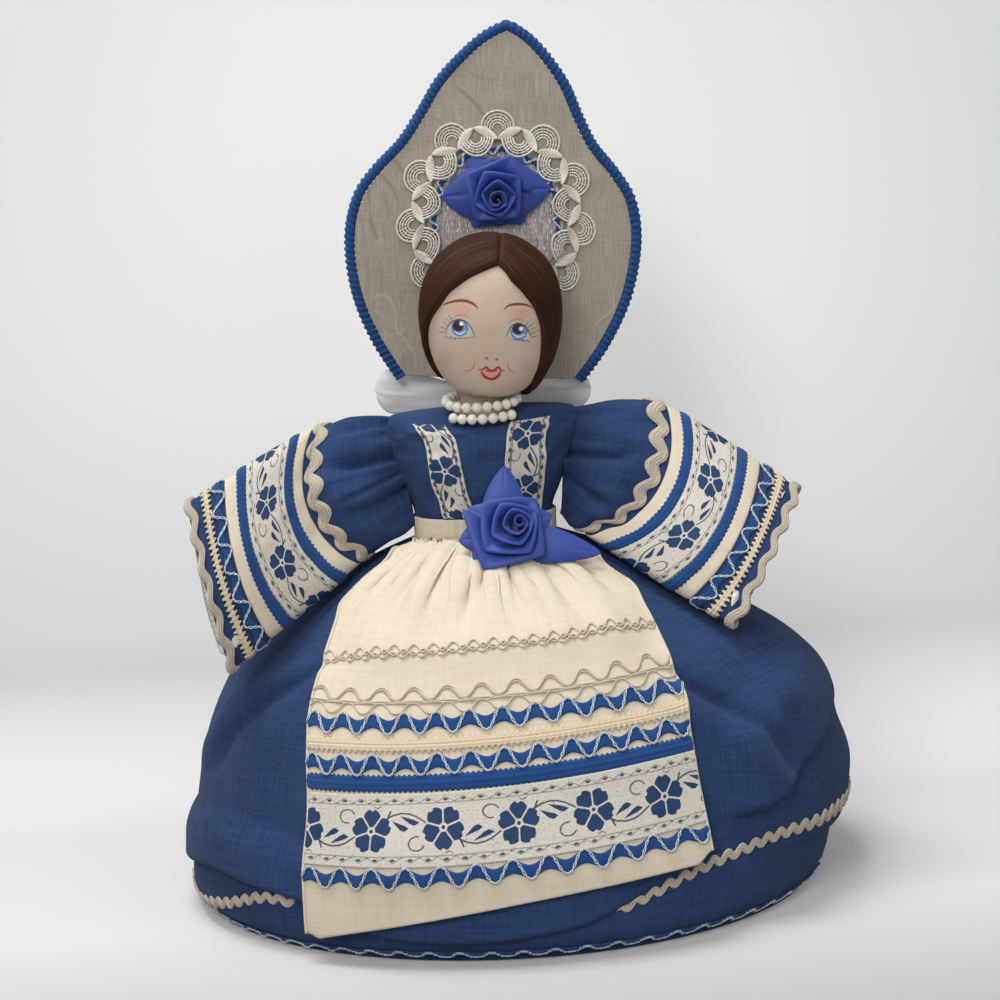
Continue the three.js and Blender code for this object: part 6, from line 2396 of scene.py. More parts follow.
class SleeveFace(Surface):
    """One arm's cloth over the turn round it and the distance from its round face.

    Below zero it is the gathered puff, back to the armhole, and above zero the sleeve, to the cuff.
    """

    step_b = 0.4

    def __init__(self, plan: ArmPlan, rumpled: bool = True) -> None:
        """Works out the middle of the cuff from the face's chord and the sleeve's reach.

        Args:
            plan: The arm's measures.
            rumpled: True for cloth with gathers and slack.
        """
        self.plan = plan
        self.rumpled = rumpled
        self.ripple = Ripple(31 if plan.side > 0 else 37)
        chord = (self.on_face(np.array(1.0)) + self.on_face(np.array(-1.0))) / 2
        self.cuff = chord + unit(np.array(plan.reach, float)) * SLEEVE_LENGTH

    def depth(self, c: Array) -> Array:
        """How far back the round face lies at height share c."""
        return mix(self.plan.start_depth[1], self.plan.start_depth[0], (c + 1) / 2)

    def on_face(self, c: Array) -> Array:
        """Point of the round face about the hinge, at height share c from -1 at its foot to 1.

        Args:
            c: Height shares, from -1 at the foot to 1.

        Returns:
            Points in mm.
        """
        p = self.plan
        angle = np.radians(p.face_middle + c * p.face_half)
        x = p.hinge[0] + p.side * FACE_RADIUS * np.cos(angle)
        return stack(x, self.depth(c), p.hinge[2] + FACE_RADIUS * np.sin(angle))

    def centre(self, c: Array, b: Array) -> Array:
        """Points of the arm's middle sheet, which is straight from each line that bounds it to the next.

        Args:
            c: Height shares, from -1 at the foot to 1.
            b: Distances from the round face.

        Returns:
            Points in mm.
        """
        face = self.on_face(c)
        end = self.cuff + c[..., None] * np.array(self.plan.cuff_half, float)
        sleeve = mix(face, end, (b / SLEEVE_LENGTH)[..., None])
        share = (c + 1) / 2
        x = -6.4 + self.plan.side * mix(34.0, 41.5, share**0.7)
        armhole = stack(x, self.depth(c) * 0.4, mix(171.5, 221.0, share))
        joint = mix(face, end, 2 / SLEEVE_LENGTH)
        puff = mix(armhole, joint, (1 + (b - 2) / (PUFF_LENGTH + 2))[..., None])
        return np.where((b < 2)[..., None], puff, sleeve)

    def half(self, b: Array) -> Array:
        """Half-thickness of the arm at distance b.

        Args:
            b: Second coordinates on the surface.

        Returns:
            Distances in mm.
        """
        puff = between([5.5, 14.5, 17.5, 15.3], 3 * np.clip(1 + (b - 2) / (PUFF_LENGTH + 2), 0, 1))
        sleeve = between([15, 17.5, 16, 11.5], 3 * np.clip(b / SLEEVE_LENGTH, 0, 1))
        return np.where(b < 2, puff, sleeve)

    def swell(self, a: Array, b: Array) -> Array:
        """How far the cloth stands out: gathers, creases from the armhole, billow and slack.

        Args:
            a: Turn round the arm.
            b: Distance from the round face.

        Returns:
            Distances in mm.
        """
        puff = smooth(-b, -6, 22)
        gathers = 0.4 * np.cos(14 * a + 2.2 * np.sin(2 * a + 1)) * puff
        height = np.cos(a)
        creases = 0.0
        for start, drop, width, depth in self.plan.creases:
            line = start - drop * (b + PUFF_LENGTH) / PUFF_LENGTH
            creases = creases - depth * np.exp(-(((height - line) / width) ** 2)) * smooth(-b, 3, 18)
        billow = 1.5 * np.sin(math.pi * np.clip((b + PUFF_LENGTH) / PUFF_LENGTH, 0, 1)) * (b < 0)
        broad = 1.8 * self.ripple(a * 10 / TAU * 2 + 20, b / 15) * (1 - smooth(b, 0, 20))
        fine = 0.5 * self.ripple(a * 4 + 3, b / 11 + 9) * smooth(b, 0, 10)
        return gathers + creases + billow + broad + fine

    def place(self, a: Array, b: Array) -> Array:
        """Points of the flattened tube.

        Args:
            a: First coordinates on the surface.
            b: Second coordinates on the surface.

        Returns:
            Points in mm.
        """
        a, b = np.broadcast_arrays(a, np.asarray(b, float))
        c = np.cos(a) * (1 - 0.3 * np.sin(a) ** 2)
        middle = self.centre(c, b)
        swell = self.swell(a, b) if self.rumpled else 0.0
        off = self.half(b) * np.sin(a) + swell * np.sin(a)
        shift = stack(0 * off, -self.plan.side * off, swell * np.cos(a) * 0.8)
        return middle + shift


@dataclass
class Arm:
    """One stuffed arm: its sleeve of one tube of cloth from armhole to cuff, and its eight trims."""

    plan: ArmPlan
    shoulder_strip: float = 7.2
    cream_edge: float = 7.2
    blue_braid: float = 6.5
    jacquard: float = 26.0
    zigzag: float = 9.0

    def __post_init__(self) -> None:
        """Makes the cloth's surface."""
        self.face = SleeveFace(self.plan)

    def named(self, part: str) -> str:
        """A node's name on this arm."""
        return f"{self.plan.name}_{part}"

    def track(self, distance: float) -> Track:
        """Track round the sleeve at a distance from the round face, with its seam underneath.

        Args:
            distance: Distance of the line from the round face.

        Returns:
            The track.
        """
        def where(share: Array, t: Array) -> tuple[Array, Array]:
            """Places of the track on its surface."""
            return np.broadcast_arrays(math.pi + TAU * share, distance + t)

        return Track(self.face, where, 1400)

    def cloth(self) -> None:
        """Puff and sleeve as one tube that bends at the shoulder, turned in at the cuff."""
        a = (math.pi + np.linspace(0, TAU, 241))[None, :]
        puff, sleeve = np.linspace(-PUFF_LENGTH - 2, 12, 75), np.linspace(13, SLEEVE_LENGTH, 90)
        b = np.concatenate([puff, sleeve])[:, None]
        outer = self.face.lifted(a, b, 0.0)
        back = np.linspace(SLEEVE_LENGTH, SLEEVE_LENGTH - 13, 12)[:, None]
        inner = self.face.lifted(a, back, -1.2)
        points = np.concatenate([outer, inner])
        cloth = stack(a * 32, np.concatenate([b, back]))
        mesh = PieceMesh(self.named("sleeve_cloth"))
        mesh.shell(points, cloth, columns_close=True)
        nodes = (self.named("sleeve_puff"), self.named("sleeve"))
        piece = mesh.build("navy_linen", NAVY, nodes=nodes)
        self.attach(piece)

    def attach(self, piece: bpy.types.Object) -> None:
        """Bakes a piece's placement into its points; the ends of the arm's blend are read but not used."""
        start, end = (tuple(c * MM for c in point) for point in self.plan.blend)
        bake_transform(piece)
        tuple(start)
        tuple(end)

    def stuffing(self) -> None:
        """Batting inside the sleeve, with a domed end behind the cuff."""
        a = (math.pi + np.linspace(0, TAU, 97))[None, :]
        stops = np.linspace(8, SLEEVE_LENGTH - 4, 40)
        b = np.concatenate([stops, [SLEEVE_LENGTH - 3.2, SLEEVE_LENGTH - 3.0]])[:, None]
        inward = np.concatenate([np.full(len(stops), -1.6), [-5.0, -12.0]])[:, None]
        plain = SleeveFace(self.plan, False)
        points = plain.lifted(a, b, np.broadcast_to(inward, (len(b), a.size)))
        mesh = PieceMesh(self.named("arm_stuffing"))
        mesh.shell(points, stack(a * 30, b), columns_close=True, caps=Caps.POLES)
        piece = mesh.build("batting", BATTING)
        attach(piece, f"{self.plan.name}_arm")

    def band(self, part: str, kind: Trim, middle: float, base: float, slot: str, *finishes: Finish) -> None:
        """Sews one trim round the sleeve.

        Args:
            part: Its node's name after the arm's.
            kind: The trim.
            middle: Distance of its middle from the round face.
            base: Height of its underside over the cloth.
            slot: The record's material slot.
            finishes: Its finishes.
        """
        mesh = PieceMesh(self.named(part))
        kind.sew(mesh, self.track(middle), base, True)
        self.attach(mesh.build(slot, *finishes))

    def cream(self, start: float, width: float) -> None:
        """Cream linen band under the ribbon and its two braids.

        Args:
            start: Distance of its inner edge from the round face.
            width: Its width.
        """
        track = self.track(start + width / 2)
        s = track.stations(0.7)
        v = np.linspace(-1, 1, 60)[:, None]
        t = np.broadcast_to(v * width / 2, (len(v), len(s)))
        lift = 0.7 * (1 - 0.5 * np.abs(v) ** 30) + 0.12 * Ripple(5)(s / 7, v * 3)
        mesh = PieceMesh(self.named("sleeve_cream_band"))
        strip(mesh, track, s, t, lift, 0.15, True)
        self.attach(mesh.build("cream_linen", CREAM))

    def build(self) -> None:
        """Makes the cloth, the stuffing and the trims, from the shoulder to the cuff."""
        self.cloth()
        self.stuffing()
        on_cloth, on_band = 0.2, 0.75
        self.band("shoulder_rickrack", Rickrack(6.0, 2.2, 12.9), 0.8, on_cloth, "silver_rickrack", RICKRACK)
        at = self.shoulder_strip
        width = 2 * self.cream_edge + 2 * self.blue_braid + self.jacquard
        self.cream(at, width)
        at += self.cream_edge
        self.band("sleeve_inner_blue_braid", Gimp(7.0), at + 3.2, on_band, "blue_gimp", GIMP)
        at += self.blue_braid
        ribbon = FlowerRibbon(26.2, 29.2, grain=0.36)
        self.band("sleeve_jacquard", ribbon, at + 13, on_band, "jacquard_ribbon", RIBBON)
        at += self.jacquard
        self.band("sleeve_outer_blue_braid", Gimp(7.0), at + 3.3, on_band, "blue_gimp", GIMP)
        at += self.blue_braid + self.cream_edge + 0.2
        zigzag = ZigzagBraid(8.2, 12.6)
        self.band("sleeve_zigzag_braid", zigzag, at + 4.3, on_cloth, "zigzag_braid", GIMP, SILVER)
        at += self.zigzag - 0.2
        comb = CombBraid(6.2, 2.6, 2.6, 1)
        self.band("sleeve_picot_braid", comb, at + 2.7, on_cloth, "cream_braid", CREAM_BRAID)
        edge = Rickrack(4.6, 1.5, 14.7, 1.3, 3)
        self.band("cuff_rickrack", edge, SLEEVE_LENGTH - 1.0, on_cloth, "silver_rickrack", RICKRACK)


class PlateFace(Surface):
    """The upright front plane of the headdress over x and z, both from its foot."""

    def __init__(self, depth: float = 0.0, relief: Callable | None = None) -> None:
        """Holds how far behind the board's face it lies, and a function for its relief.

        Args:
            depth: How far behind the board's face it lies.
            relief: Height of the relief, as a function of both coordinates.
        """
        self.depth = depth
        self.relief = relief
        back = CHIN[1] + EGG_WIDTH * EGG_DEPTH + 1 + 1.9 + 0.3
        self.origin = np.array([-1.2, back, 234.9])

    def place(self, a: Array, b: Array) -> Array:
        """Points of the plane, raised towards the front by the relief."""
        out = self.relief(a, b) if self.relief else 0.0
        return leaned(stack(a, self.depth - out, b), self.origin)


# Middle of the headdress's arch on the board, across and up
ARCH_X = 1.5
ARCH_Z = 78


def arc_track(face: Surface, radius: float, reach: float, spread: float) -> Track:
    """Track along the arch of the headdress, whose legs spread below its middle.

    Args:
        face: The plane that it lies on.
        radius: Radius of the arch's middle line.
        reach: Half-angle of the arch in degrees.
        spread: How far the legs lie out beside the circle.

    Returns:
        The track.
    """
    def where(share: Array, t: Array) -> tuple[Array, Array]:
        """Places of the track on its surface.

        Args:
            share: Shares of the way along the line.
            t: Distances across it.

        Returns:
            Both coordinates on the surface.
        """
        angle = np.radians(reach) * (2 * share - 1)
        out = radius + t + spread * np.maximum(0, -np.cos(angle))
        return ARCH_X + out * np.sin(angle), ARCH_Z + out * np.cos(angle)

    return Track(face, where)


@dataclass
class Headdress:
    """Stiff pointed headdress: covered board, corded edge, lace arch, braid and panel; its rose is made with
    the other roses.
    """

    half_outline: tuple = (
        (39.5, 1), (51.5, 19), (60.5, 40), (64, 64), (61, 82), (53, 94.5),
        (42, 107), (34.5, 119.5), (27, 134), (17.5, 146), (8.5, 154.5), (0, 159.5),
    )
    peak: float = 159.5
    peak_shift: float = 5.0
    thickness: float = 3.0
    seat: float = 0.2
    lace_outer: float = 44.5
    lace_inner: float = 27.0
    lace_reach: float = 139.0
    leg_spread: float = 7.0
    medallions: int = 17
    panel_radius: float = 30.4
    panel_foot: float = 48.0
    braid_width: float = 4.6
    braid_reach: float = 118.0

    def outline(self, count: int) -> tuple[Array, Array]:
        """Half-width and height of the board from foot to peak, at count points.

        Args:
            count: Number of points.

        Returns:
            The half-widths and the heights.
        """
        line = np.array(self.half_outline, float)
        half = between(line, np.linspace(0, len(line) - 1, count))
        return half[:, 0], half[:, 1]

    def shifted(self, x: Array, z: Array) -> Array:
        """x moved with the peak, which leans to her left."""
        return x + self.peak_shift * (z / self.peak) ** 3

    def relief(self, x: Array, z: Array) -> Array:
        """Soft waves of the cloth drawn over the board."""
        return 0.35 * Ripple(51)(x / 21, z / 30) + 0.12 * Ripple(52)(x / 6, z / 9)

    def board(self) -> None:
        """Board covered in silver brocade, front and back."""
        width, height = self.outline(250)
        width = np.maximum(width, 0.3)
        v = np.linspace(-1, 1, 171)[None, :]
        z = height[:, None] - 1.0 * (1 - v**2) * (1 - height[:, None] / self.peak)
        x = self.shifted(width[:, None] * v, z)
        near = PlateFace(0.0, self.relief).place(x, z)
        far = PlateFace(self.thickness).place(x, z)
        mesh = PieceMesh("headdress_board")
        mesh.slab(near, far, stack(x, z), {"paint": painted_over(x, z, board_pattern(), BROCADE.colour)})
        mesh.on_doll("silver_brocade", BROCADE)

    def edging(self) -> None:
        """Knotted cobalt cord round the board's edge."""
        width, height = self.outline(2200)
        x = np.concatenate([self.shifted(-width, height), self.shifted(width, height)[::-1]])
        z = np.concatenate([height, height[::-1]])
        length = np.concatenate([[0], np.cumsum(np.hypot(np.diff(x), np.diff(z)))])
        s = np.arange(0, length[-1], 0.25)
        x, z = np.interp(s, length, x), np.interp(s, length, z)
        out = unit(stack(-np.gradient(z), np.gradient(x)))
        ease = np.ones(25) / 25
        smoothed = [np.convolve(np.pad(out[:, k], 12, mode="edge"), ease, "valid") for k in (0, 1)]
        out = unit(np.stack(smoothed, axis=1))
        path = PlateFace(self.thickness / 2).place(x + 2.4 * out[:, 0], z + 2.4 * out[:, 1])
        turn = np.linspace(0, TAU, 15)[:, None]
        knots = 0.5 + 0.5 * np.cos(TAU * s / 2.75 + 2.0 * np.sin(turn + 0.02 * s))
        radius = 2.15 + 0.62 * knots + 0.15 * np.cos(5 * turn + s * 2.1)
        mesh = PieceMesh("headdress_edging")
        mesh.tube(path, radius, 14, (0, -1, 0))
        mesh.on_doll("blue_gimp", GIMP)

    def lace(self) -> None:
        """Lace arch of fine cords: fans that face out and in by turns, and a zigzag of pointed petals."""
        middle = (self.lace_outer + self.lace_inner) / 2
        face = PlateFace(-self.seat)
        track = arc_track(face, middle, self.lace_reach, self.leg_spread)
        mesh = PieceMesh("headdress_lace")
        step = track.length / self.medallions

        def cord(along: Array, across: Array, radius: float, height: float) -> None:
            """Lays one cord, raised where it climbs the panel's edge.

            Args:
                along: Distances along the track.
                across: Distances across it.
                radius: The cord's radius.
                height: Height of its middle over the board.
            """
            over_panel = 2.6 * smooth(-across, 0, 5)
            path = track.at(np.clip(along, 0, track.length), across, height + over_panel)
            mesh.tube(path, radius, 6, (0, -1, 0))

        turn = np.linspace(-math.pi / 2, math.pi / 2, 25)
        for k in range(self.medallions):
            side = -1 if k % 2 else 1
            wide, tall, root = (8.4, 8.0, -1.6) if side < 0 else (7.0, 8.2, 1.4)
            centre = (k + 0.5) * step
            for ring, radius in ((1.0, 0.5), (0.81, 0.36), (0.66, 0.36), (0.5, 0.36), (0.34, 0.4)):
                along = centre + ring * wide * np.sin(turn)
                cord(along, root + side * ring * tall * np.cos(turn), radius, 0.5)
            for spoke in np.radians((-60, -36, -12, 12, 36, 60)):
                reach = np.linspace(0.34, 1.0, 5)
                along = centre + reach * wide * np.sin(spoke)
                cord(along, root + side * reach * tall * np.cos(spoke), 0.2, 0.45)
        v = np.linspace(-1, 1, 11)[:, None]
        share = np.linspace(0, 1, 27)
        for k in range(-1, self.medallions):
            side = -1 if k % 2 else 1
            along = (k + 0.5 + share) * step
            across = -side * 3.0 * (1 - 2 * share)
            wide = 2.35 * np.sin(math.pi * share) ** 0.8 + 0.25
            inside = (along > 0.5) & (along < track.length - 0.5)
            if inside.sum() < 5:
                continue
            along, across, wide = along[inside], across[inside], wide[inside]
            height = 1.0 + 0.5 * (1 - v**2) + 0.12 * np.cos(v * 14) + 2.6 * smooth(-across, 0, 5)
            strip(mesh, track, along, across + v * wide, height, 0.1, False)
        mesh.on_doll("cream_lace", WHITE_LACE)

    def panel(self) -> None:
        """Silver panel inside the arch, its cloth in fine upright folds."""
        rows, columns = 90, 140
        share = np.linspace(0, 1, rows)[:, None]
        top = ARCH_Z + self.panel_radius - 0.4
        z = mix(self.panel_foot, top, share)
        up = np.clip((z - ARCH_Z) / self.panel_radius, -1, 1)
        width = self.panel_radius * np.sqrt(1 - up**2) + self.leg_spread * np.maximum(0, -up)
        x = ARCH_X + width * np.linspace(-1, 1, columns)[None, :]
        folds = Ripple(61)

        def relief(a: Array, b: Array) -> Array:
            """Fine creases of the panel's cloth."""
            return 0.25 * folds(a / 2.2, b / 26) + 0.15 * folds(a / 1.1 + 40, b / 14)

        z = np.broadcast_to(z, x.shape)
        near = PlateFace(-self.seat - 0.7, relief).place(x, z)
        far = PlateFace(-self.seat).place(x, z)
        mesh = PieceMesh("headdress_panel")
        mesh.slab(near, far, stack(x, z))
        mesh.on_doll("silver_lame", LAME)

    def braid(self) -> None:
        """Blue and silver zigzag braid along the inside of the arch."""
        radius = self.panel_radius - 0.3 - self.braid_width / 2
        track = arc_track(PlateFace(-1.25), radius, self.braid_reach, self.leg_spread)
        mesh = PieceMesh("headdress_zigzag_braid")
        ZigzagBraid(width=self.braid_width, pitch=8.6, height=0.8, cord=0.28).sew(mesh, track, 0.0, False)
        mesh.on_doll("zigzag_braid", GIMP, SILVER)

    def build(self) -> None:
        """Makes every piece of the headdress but its rose."""
        self.board()
        self.edging()
        self.lace()
        self.panel()
        self.braid()


@dataclass(frozen=True)
class RibbonRose:
    """Rose of satin ribbon, wound out from a bud in one spiral whose folds make corners."""

    middle: tuple[float, float, float]
    tilt: float
    radius: float
    depth: float
    bud: tuple[float, float]
    turns: float = 4.4
    corners: float = 4.35
    start: float = 0.0
    thickness: float = 0.8

    def set_in(self, right: Array, up: Array, out: Array) -> Array:
        """Points in the doll's frame, from distances right, up and out of the rose's root.

        Args:
            right: Distances across from the rose's root.
            up: Distances up from it.
            out: Distances out from it.

        Returns:
            Points in mm.
        """
        lean = math.radians(self.tilt)
        y = -out * math.cos(lean) - up * math.sin(lean)
        z = up * math.cos(lean) - out * math.sin(lean)
        return np.asarray(self.middle) + stack(right, y, z)

    def spiral(self, mesh: PieceMesh) -> None:
        """Winds the ribbon. Each turn rises from its root, arches outwards and ends in a rolled fold.

        Args:
            mesh: The piece that it is added to.
        """
        theta = np.linspace(0, TAU * self.turns, int(95 * self.turns))
        q = theta / theta[-1]
        v = np.concatenate([np.linspace(0, 0.9, 15), [0.94, 0.97, 0.99, 1.0]])[:, None]
        rim = 1.3 + (self.radius - 1.3) * q**1.15
        root = 0.7 + 0.42 * self.radius * q
        top = self.depth * (1 - 0.62 * q**1.6)
        foot = 0.25 * self.depth * (1 - q)
        nearness = np.abs(((theta * self.corners / TAU + self.start) % 1) - 0.5) * 2
        corner = 1 + (0.03 + 0.26 * q) * (nearness**2 - 0.35)
        knee = mix(root, rim, 0.28)
        crest = top + 0.06 * self.depth
        out = root * (1 - v) ** 2 + 2 * knee * v * (1 - v) + rim * v**2
        up = foot * (1 - v) ** 2 + 2 * crest * v * (1 - v) + top * v**2
        out = out * (1 + (corner - 1) * smooth(v, 0.1, 0.9))
        up = up - 1.4 * q * nearness**3 * v**2
        slope = unit(stack(np.gradient(out, axis=0), np.gradient(up, axis=0)))
        half = self.thickness / 2 * np.sqrt(np.clip(1 - np.clip((v - 0.9) / 0.1, 0, 1) ** 2, 0, 1))
        half = half * mix(0.7, 1.2, smooth(v, 0.6, 0.95))
        sides = []
        for side, order in ((1, slice(None)), (-1, slice(-2, None, -1))):
            reach = out - side * half * slope[..., 1]
            height = up + side * half * slope[..., 0]
            angle = theta + self.start
            right = self.bud[0] * (1 - q) + reach * np.sin(angle)
            above = self.bud[1] * (1 - q) + reach * np.cos(angle)
            sides.append(self.set_in(right, above, height)[order])
        points = np.concatenate(sides + [sides[0][:1]])
        along = np.cumsum(rim * np.gradient(theta))
        cloth = stack(along, np.concatenate([v * 20, 40 - v[-2::-1] * 20, v[:1] * 20 + 40]))
        mesh.shell(points, cloth, rows_close=True, caps=Caps.ENDS)

    def petal(
        self, mesh: PieceMesh, turn: float, reach: float, width: float, rise: float, crease: float
    ) -> None:
        """Adds a flat fold of ribbon that comes to a point, behind the spiral.

        Args:
            mesh: The piece that it is added to.
            turn: Direction of its point in degrees, clockwise from straight up.
            reach: Distance of its point from the middle.
            width: Half of its width at its root.
            rise: How far out of the root plane it lies.
            crease: Depth of the fold along its middle.
        """
        u = np.linspace(-1, 1, 41)[None, :]
        v = np.linspace(0, 1, 40)[:, None]
        wide = width * (1 - v**1.7) ** 0.8 + 0.25
        side = u * wide
        out = reach * v
        lift = rise * (1 - 0.4 * v) + 1.3 * np.sin(math.pi * v**0.8) * (1 - u**2)
        lift = lift - crease * np.exp(-((u / 0.12) ** 2)) * smooth(v, 0.3, 0.9) * (1 - v**4)
        half = self.thickness * np.sqrt(np.clip(1 - u**6, 0, 1)) * np.ones_like(v) * 0.5
        angle = math.radians(turn)
        right = side * math.cos(angle) + out * math.sin(angle)
        above = out * math.cos(angle) - side * math.sin(angle)
        near = self.set_in(right, above, lift + half)
        far = self.set_in(right, above, lift - half)[:, -2:0:-1]
        points = np.concatenate([near, far, near[:, :1]], axis=1)
        place = stack(side, out)
        cloth = np.concatenate([place, place[:, -2:0:-1], place[:, :1]], axis=1)
        mesh.shell(points, cloth, columns_close=True, caps=Caps.POLES)


@dataclass
class Roses:
    """The two satin roses: one on the headdress and one at the waist, with its leaves."""

    def on_headdress(self) -> None:
        """Rose on the headdress, over a ribbon folded to a long hexagon."""
        middle = PlateFace(-2.3).place(np.array(1.6), np.array(86.6))
        rose = RibbonRose(tuple(middle), 0.0, 16.0, 11.5, (-0.6, -4.5), 4.2, 4.4, 0.35)
        mesh = PieceMesh("headdress_rose")
        rose.spiral(mesh)
        mesh.on_doll("blue_satin", BLUE_SATIN)
        mesh = PieceMesh("headdress_rose_base")
        for turn, reach, width, crease in (
            (-92, 25.5, 15.5, 0.5), (90, 24.8, 15.5, 0.7), (-38, 20, 13, 0), (38, 19.5, 13, 0),
            (-142, 19.5, 13, 0), (142, 19, 13, 0),
        ):
            rose.petal(mesh, turn, reach, width, 1.2 if crease else 0.6, crease)
        mesh.on_doll("blue_satin", BLUE_SATIN)

    def at_waist(self) -> None:
        """Rose at the waist: the spiral over folded tips, and two pointed leaves behind it."""
        rose = RibbonRose((2.3, -37.03, 170.5), -21.0, 19.0, 13.0, (6.5, 2.0), 4.5, 4.2, 2.1)
        mesh = PieceMesh("waist_rose")
        rose.spiral(mesh)
        for turn, reach, width in (
            (-98, 22, 13), (72, 21.5, 12), (175, 22, 14), (122, 21, 12), (-130, 20.5, 13), (-54, 20.5, 12),
        ):
            rose.petal(mesh, turn, reach, width, 1.8, 0.4)
        mesh.on_doll("blue_satin", BLUE_SATIN)
        for name, root, turn, length, half in (
            ("waist_rose_top_leaf", (-1.0, 8.0), 4, 22.5, 10.0),
            ("waist_rose_side_leaf", (10.0, -5.0), 103, 32.0, 9.0),
        ):
            place = rose.set_in(*np.array((*root, 0.0)))
            leaf = RibbonRose(tuple(place), rose.tilt, 1.0, 1.0, (0, 0))
            mesh = PieceMesh(name)
            leaf.petal(mesh, turn, length, half, 0.9, 0.3)
            mesh.on_doll("blue_satin", BLUE_SATIN)

    def build(self) -> None:
        """Makes both roses."""
        self.on_headdress()
        self.at_waist()


@dataclass
class Bow:
    """White satin bow behind the neck: a knot and two drooping loops."""

    knot: tuple[float, float, float] = (-5.0, 21.6, 224.8)
    knot_radius: float = 4.6
    seat: float = 0.3

    def loop(self, name: str, side: int, length: float, height: float, rise: float) -> None:
        """A loop: a flattened tube that swells from the knot, with folds that run out from it.

        Args:
            name: Its node.
            side: -1 for her right and 1 for her left.
            length: How far it reaches from the middle of the knot.
            height: Its height where it is widest.
            rise: How far its far end lies above the knot.
        """
        v = np.linspace(0, 1, 90)[None, :]
        turn = np.linspace(0, TAU, 73)[:, None]
        swell = (0.22 + 0.78 * np.sqrt(v)) * np.sqrt(np.clip(1 - ((v - 0.82) / 0.18).clip(0, 1) ** 2, 0, 1))
        swell = np.maximum(swell, 0.02)
        fold = Ripple(71 + side)
        crease = 0.5 * fold(turn * 3.2, v * 1.5) * (1 - 0.5 * v) + 0.45 * np.sin(5 * turn + 2 * v) * (1 - v)
        thick = 2.4 * (0.45 + 0.55 * v) * (1 + 0.3 * crease)
        x = self.knot[0] + side * (self.knot_radius - 0.6 + v * (length - self.knot_radius + 0.6))
        z = self.knot[2] + rise * v - 2.5 * v**2 + height / 2 * swell * np.sin(turn)
        y = self.knot[1] - thick * swell * np.cos(turn) + 0.5 * fold(turn * 2, v * 4)
        points = stack(np.broadcast_to(x, z.shape), y, z)
        if side > 0:
            points = points[::-1]
        mesh = PieceMesh(name)
        mesh.shell(points, stack(v * length, turn * height / 2), rows_close=True, caps=Caps.ENDS)
        mesh.on_doll("white_satin", WHITE_SATIN)

    def build(self) -> None:
        """Makes the knot and both loops."""
        self.loop("bow_right_loop", -1, 50.5, 23.0, 9.5)
        self.loop("bow_left_loop", 1, 51.0, 19.0, 4.5)
        a = np.linspace(0, TAU, 49)[None, :]
        b = np.linspace(-math.pi / 2, math.pi / 2, 25)[:, None]
        bump = 1 + 0.05 * np.cos(9 * a) * np.cos(b)
        reach = self.knot_radius * np.cos(b) * bump
        up = self.knot_radius * 0.95 * np.sin(b) * np.ones_like(a)
        points = np.array(self.knot) + stack(reach * np.sin(a) * 0.95, -reach * np.cos(a) * 0.8, up)
        mesh = PieceMesh("bow_knot")
        mesh.shell(points, stack(a * 4, b * 4), columns_close=True, caps=Caps.POLES)
        mesh.on_doll("white_satin", WHITE_SATIN)


def sweep_out() -> None:
    """Empties the scene of what it starts with, apart from the frame."""
    for thing in list(bpy.data.objects):
        if thing.name in ("Cube", "Light", "Camera") and "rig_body" not in thing:
            bpy.data.objects.remove(thing)


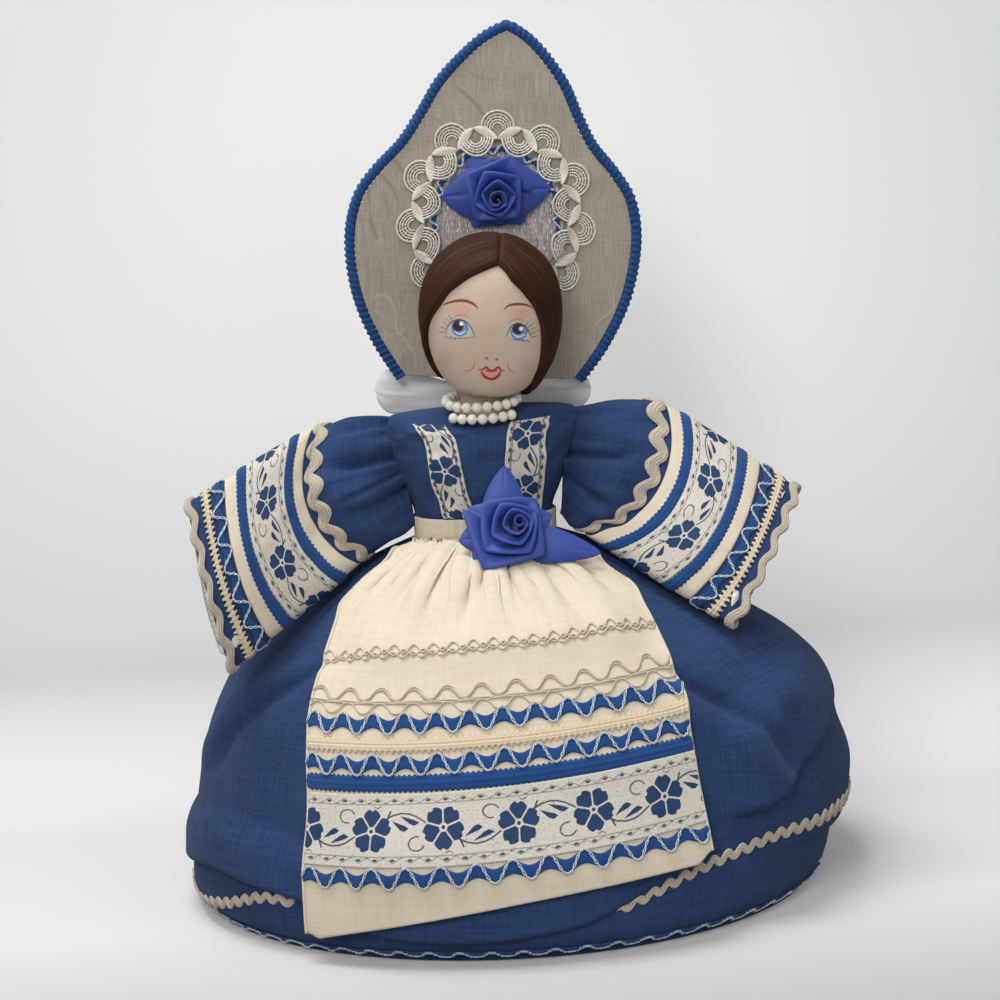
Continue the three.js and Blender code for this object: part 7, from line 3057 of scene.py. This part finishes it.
@dataclass
class Studio:
    """Pale floor and backdrop, soft lamps and the camera of the photograph."""

    tilt: float = math.radians(9.0)
    roll: float = math.radians(3.5)
    aim_height: float = 179.5
    distance: float = 1000.0
    lens: float = 77.4
    wall: float = 175.0

    def camera(self) -> None:
        """Camera in front of the doll and a little above it, rolled as the photograph is."""
        data = bpy.data.cameras.new("camera")
        data.lens, data.sensor_width = self.lens, 36.0
        right = np.array([1.0, 0.0, 0.0])
        up = np.array([0.0, math.sin(self.tilt), math.cos(self.tilt)])
        forward = np.array([0.0, math.cos(self.tilt), -math.sin(self.tilt)])
        c, s = math.cos(self.roll), math.sin(self.roll)
        axes = np.stack([c * right - s * up, s * right + c * up, -forward], axis=1)
        camera = bpy.data.objects.new("camera", data)
        pose = np.eye(4)
        pose[:3, :3] = axes
        pose[:3, 3] = (np.array([0, 0, self.aim_height]) - self.distance * forward) * MM
        camera.matrix_world = Matrix(pose.tolist())
        bpy.context.scene.collection.objects.link(camera)
        bpy.context.scene.camera = camera

    def backdrop(self) -> None:
        """Floor that curves up into a wall behind, in one sheet that is clear from its back, with a painted
        pool of light on the wall, painted shade on the floor in front and a faint glow.
        """
        x = np.linspace(-2500, 2500, 3)[None, :]
        turn = np.linspace(0, math.pi / 2, 16)
        near, bend = self.wall - 70, 70
        y = np.concatenate([[-3000], near + bend * np.sin(turn), [self.wall]])[:, None]
        z = np.concatenate([[0], bend - bend * np.cos(turn), [4000]])[:, None]
        mesh = PieceMesh("backdrop")
        mesh.shell(stack(x, y, z), stack(x, y + z))
        sheet = bpy.data.meshes.new("backdrop")
        sheet.from_pydata(np.concatenate(mesh.points) * MM, [], mesh.faces)
        sheet.polygons.foreach_set("use_smooth", [True] * len(mesh.faces))
        if sheet.polygons[0].normal.z < 0:
            sheet.flip_normals()
        material = bpy.data.materials.new("backdrop")
        material.use_nodes = True
        shader = material.node_tree.nodes["Principled BSDF"]
        shader.inputs["Roughness"].default_value = 0.95
        t = Tree(material.node_tree)
        across, deep, above = t.split(t.object_place())
        # painted pool of light: the wall is lighter near the doll's middle and greyer further out
        rise = t.math("SUBTRACT", above, 190.0)
        squares = [t.math("MULTIPLY", way, way) for way in (across, rise)]
        far = t.math("SQRT", t.math("ADD", *squares))
        wall = t.mix(t.rescale(far, 40.0, 330.0), hexed("f7f7f4"), hexed("d6d7d7"))
        # painted shade: the floor darkens towards the front
        floor = t.mix(t.rescale(deep, -260.0, -60.0), hexed("9c9c9b"), hexed("cdcdcc"))
        seen = t.mix(t.rescale(above, 1.0, 90.0), floor, wall)
        # painted glow: to the camera the sheet shows its painted colours and glows faintly with them; other
        # rays see a plain darker grey
        from_camera = t.add("LightPath").outputs["Is Camera Ray"]
        Finish.feed(t, shader, colour=t.mix(from_camera, hexed("9a9a98"), seen))
        camera_glow = t.mix(from_camera, (0, 0, 0, 1), seen)
        t.tree.links.new(camera_glow, shader.inputs["Emission Color"])
        shader.inputs["Emission Strength"].default_value = 0.2
        back, clear = t.add("NewGeometry").outputs["Backfacing"], t.add("BsdfTransparent").outputs[0]
        sides = t.add("MixShader", {0: back, 1: shader.outputs[0], 2: clear})
        t.tree.links.new(sides.outputs[0], t.tree.nodes["Material Output"].inputs["Surface"])
        sheet.materials.append(material)
        piece = bpy.data.objects.new("backdrop", sheet)
        bpy.context.scene.collection.objects.link(piece)

    def lamps(self) -> None:
        """A broad key from above on her right, a fill from her left, and an even world."""
        for name, place, size, power in (
            ("key", (-0.55, -1.6, 1.35), 0.7, 12.0),
            ("fill", (1.1, -1.5, 0.7), 1.4, 2.4),
            ("top", (-0.35, -0.1, 1.7), 0.7, 20.0),
        ):
            data = bpy.data.lights.new(name, "AREA")
            data.energy, data.size = power, size
            lamp = bpy.data.objects.new(name, data)
            lamp.location = place
            aim = np.array([0, 0, 0.18]) - np.array(place)
            lamp.rotation_mode = "QUATERNION"
            lamp.rotation_quaternion = Vector(aim).to_track_quat("-Z", "Y")
            bpy.context.scene.collection.objects.link(lamp)
        world = bpy.data.worlds.new("world")
        world.use_nodes = True
        world.node_tree.nodes["Background"].inputs["Color"].default_value = (0.94, 0.95, 0.97, 1)
        world.node_tree.nodes["Background"].inputs["Strength"].default_value = 0.5
        bpy.context.scene.world = world
        bpy.context.scene.view_settings.view_transform = "Standard"

    def build(self) -> None:
        """Sets the studio up."""
        sweep_out()
        self.camera()
        self.backdrop()
        self.lamps()


def main() -> None:
    """Builds the doll, one sub-assembly after the other."""
    logging.basicConfig(level=logging.INFO, format="%(message)s")
    Studio().build()
    Skirt().build()
    Apron().build()
    Torso().build()
    Head().build()
    Necklaces().build()
    Headdress().build()
    Roses().build()
    Bow().build()
    Arm(RIGHT_ARM).build()
    Arm(LEFT_ARM).build()


if __name__ == "__main__":
    main()
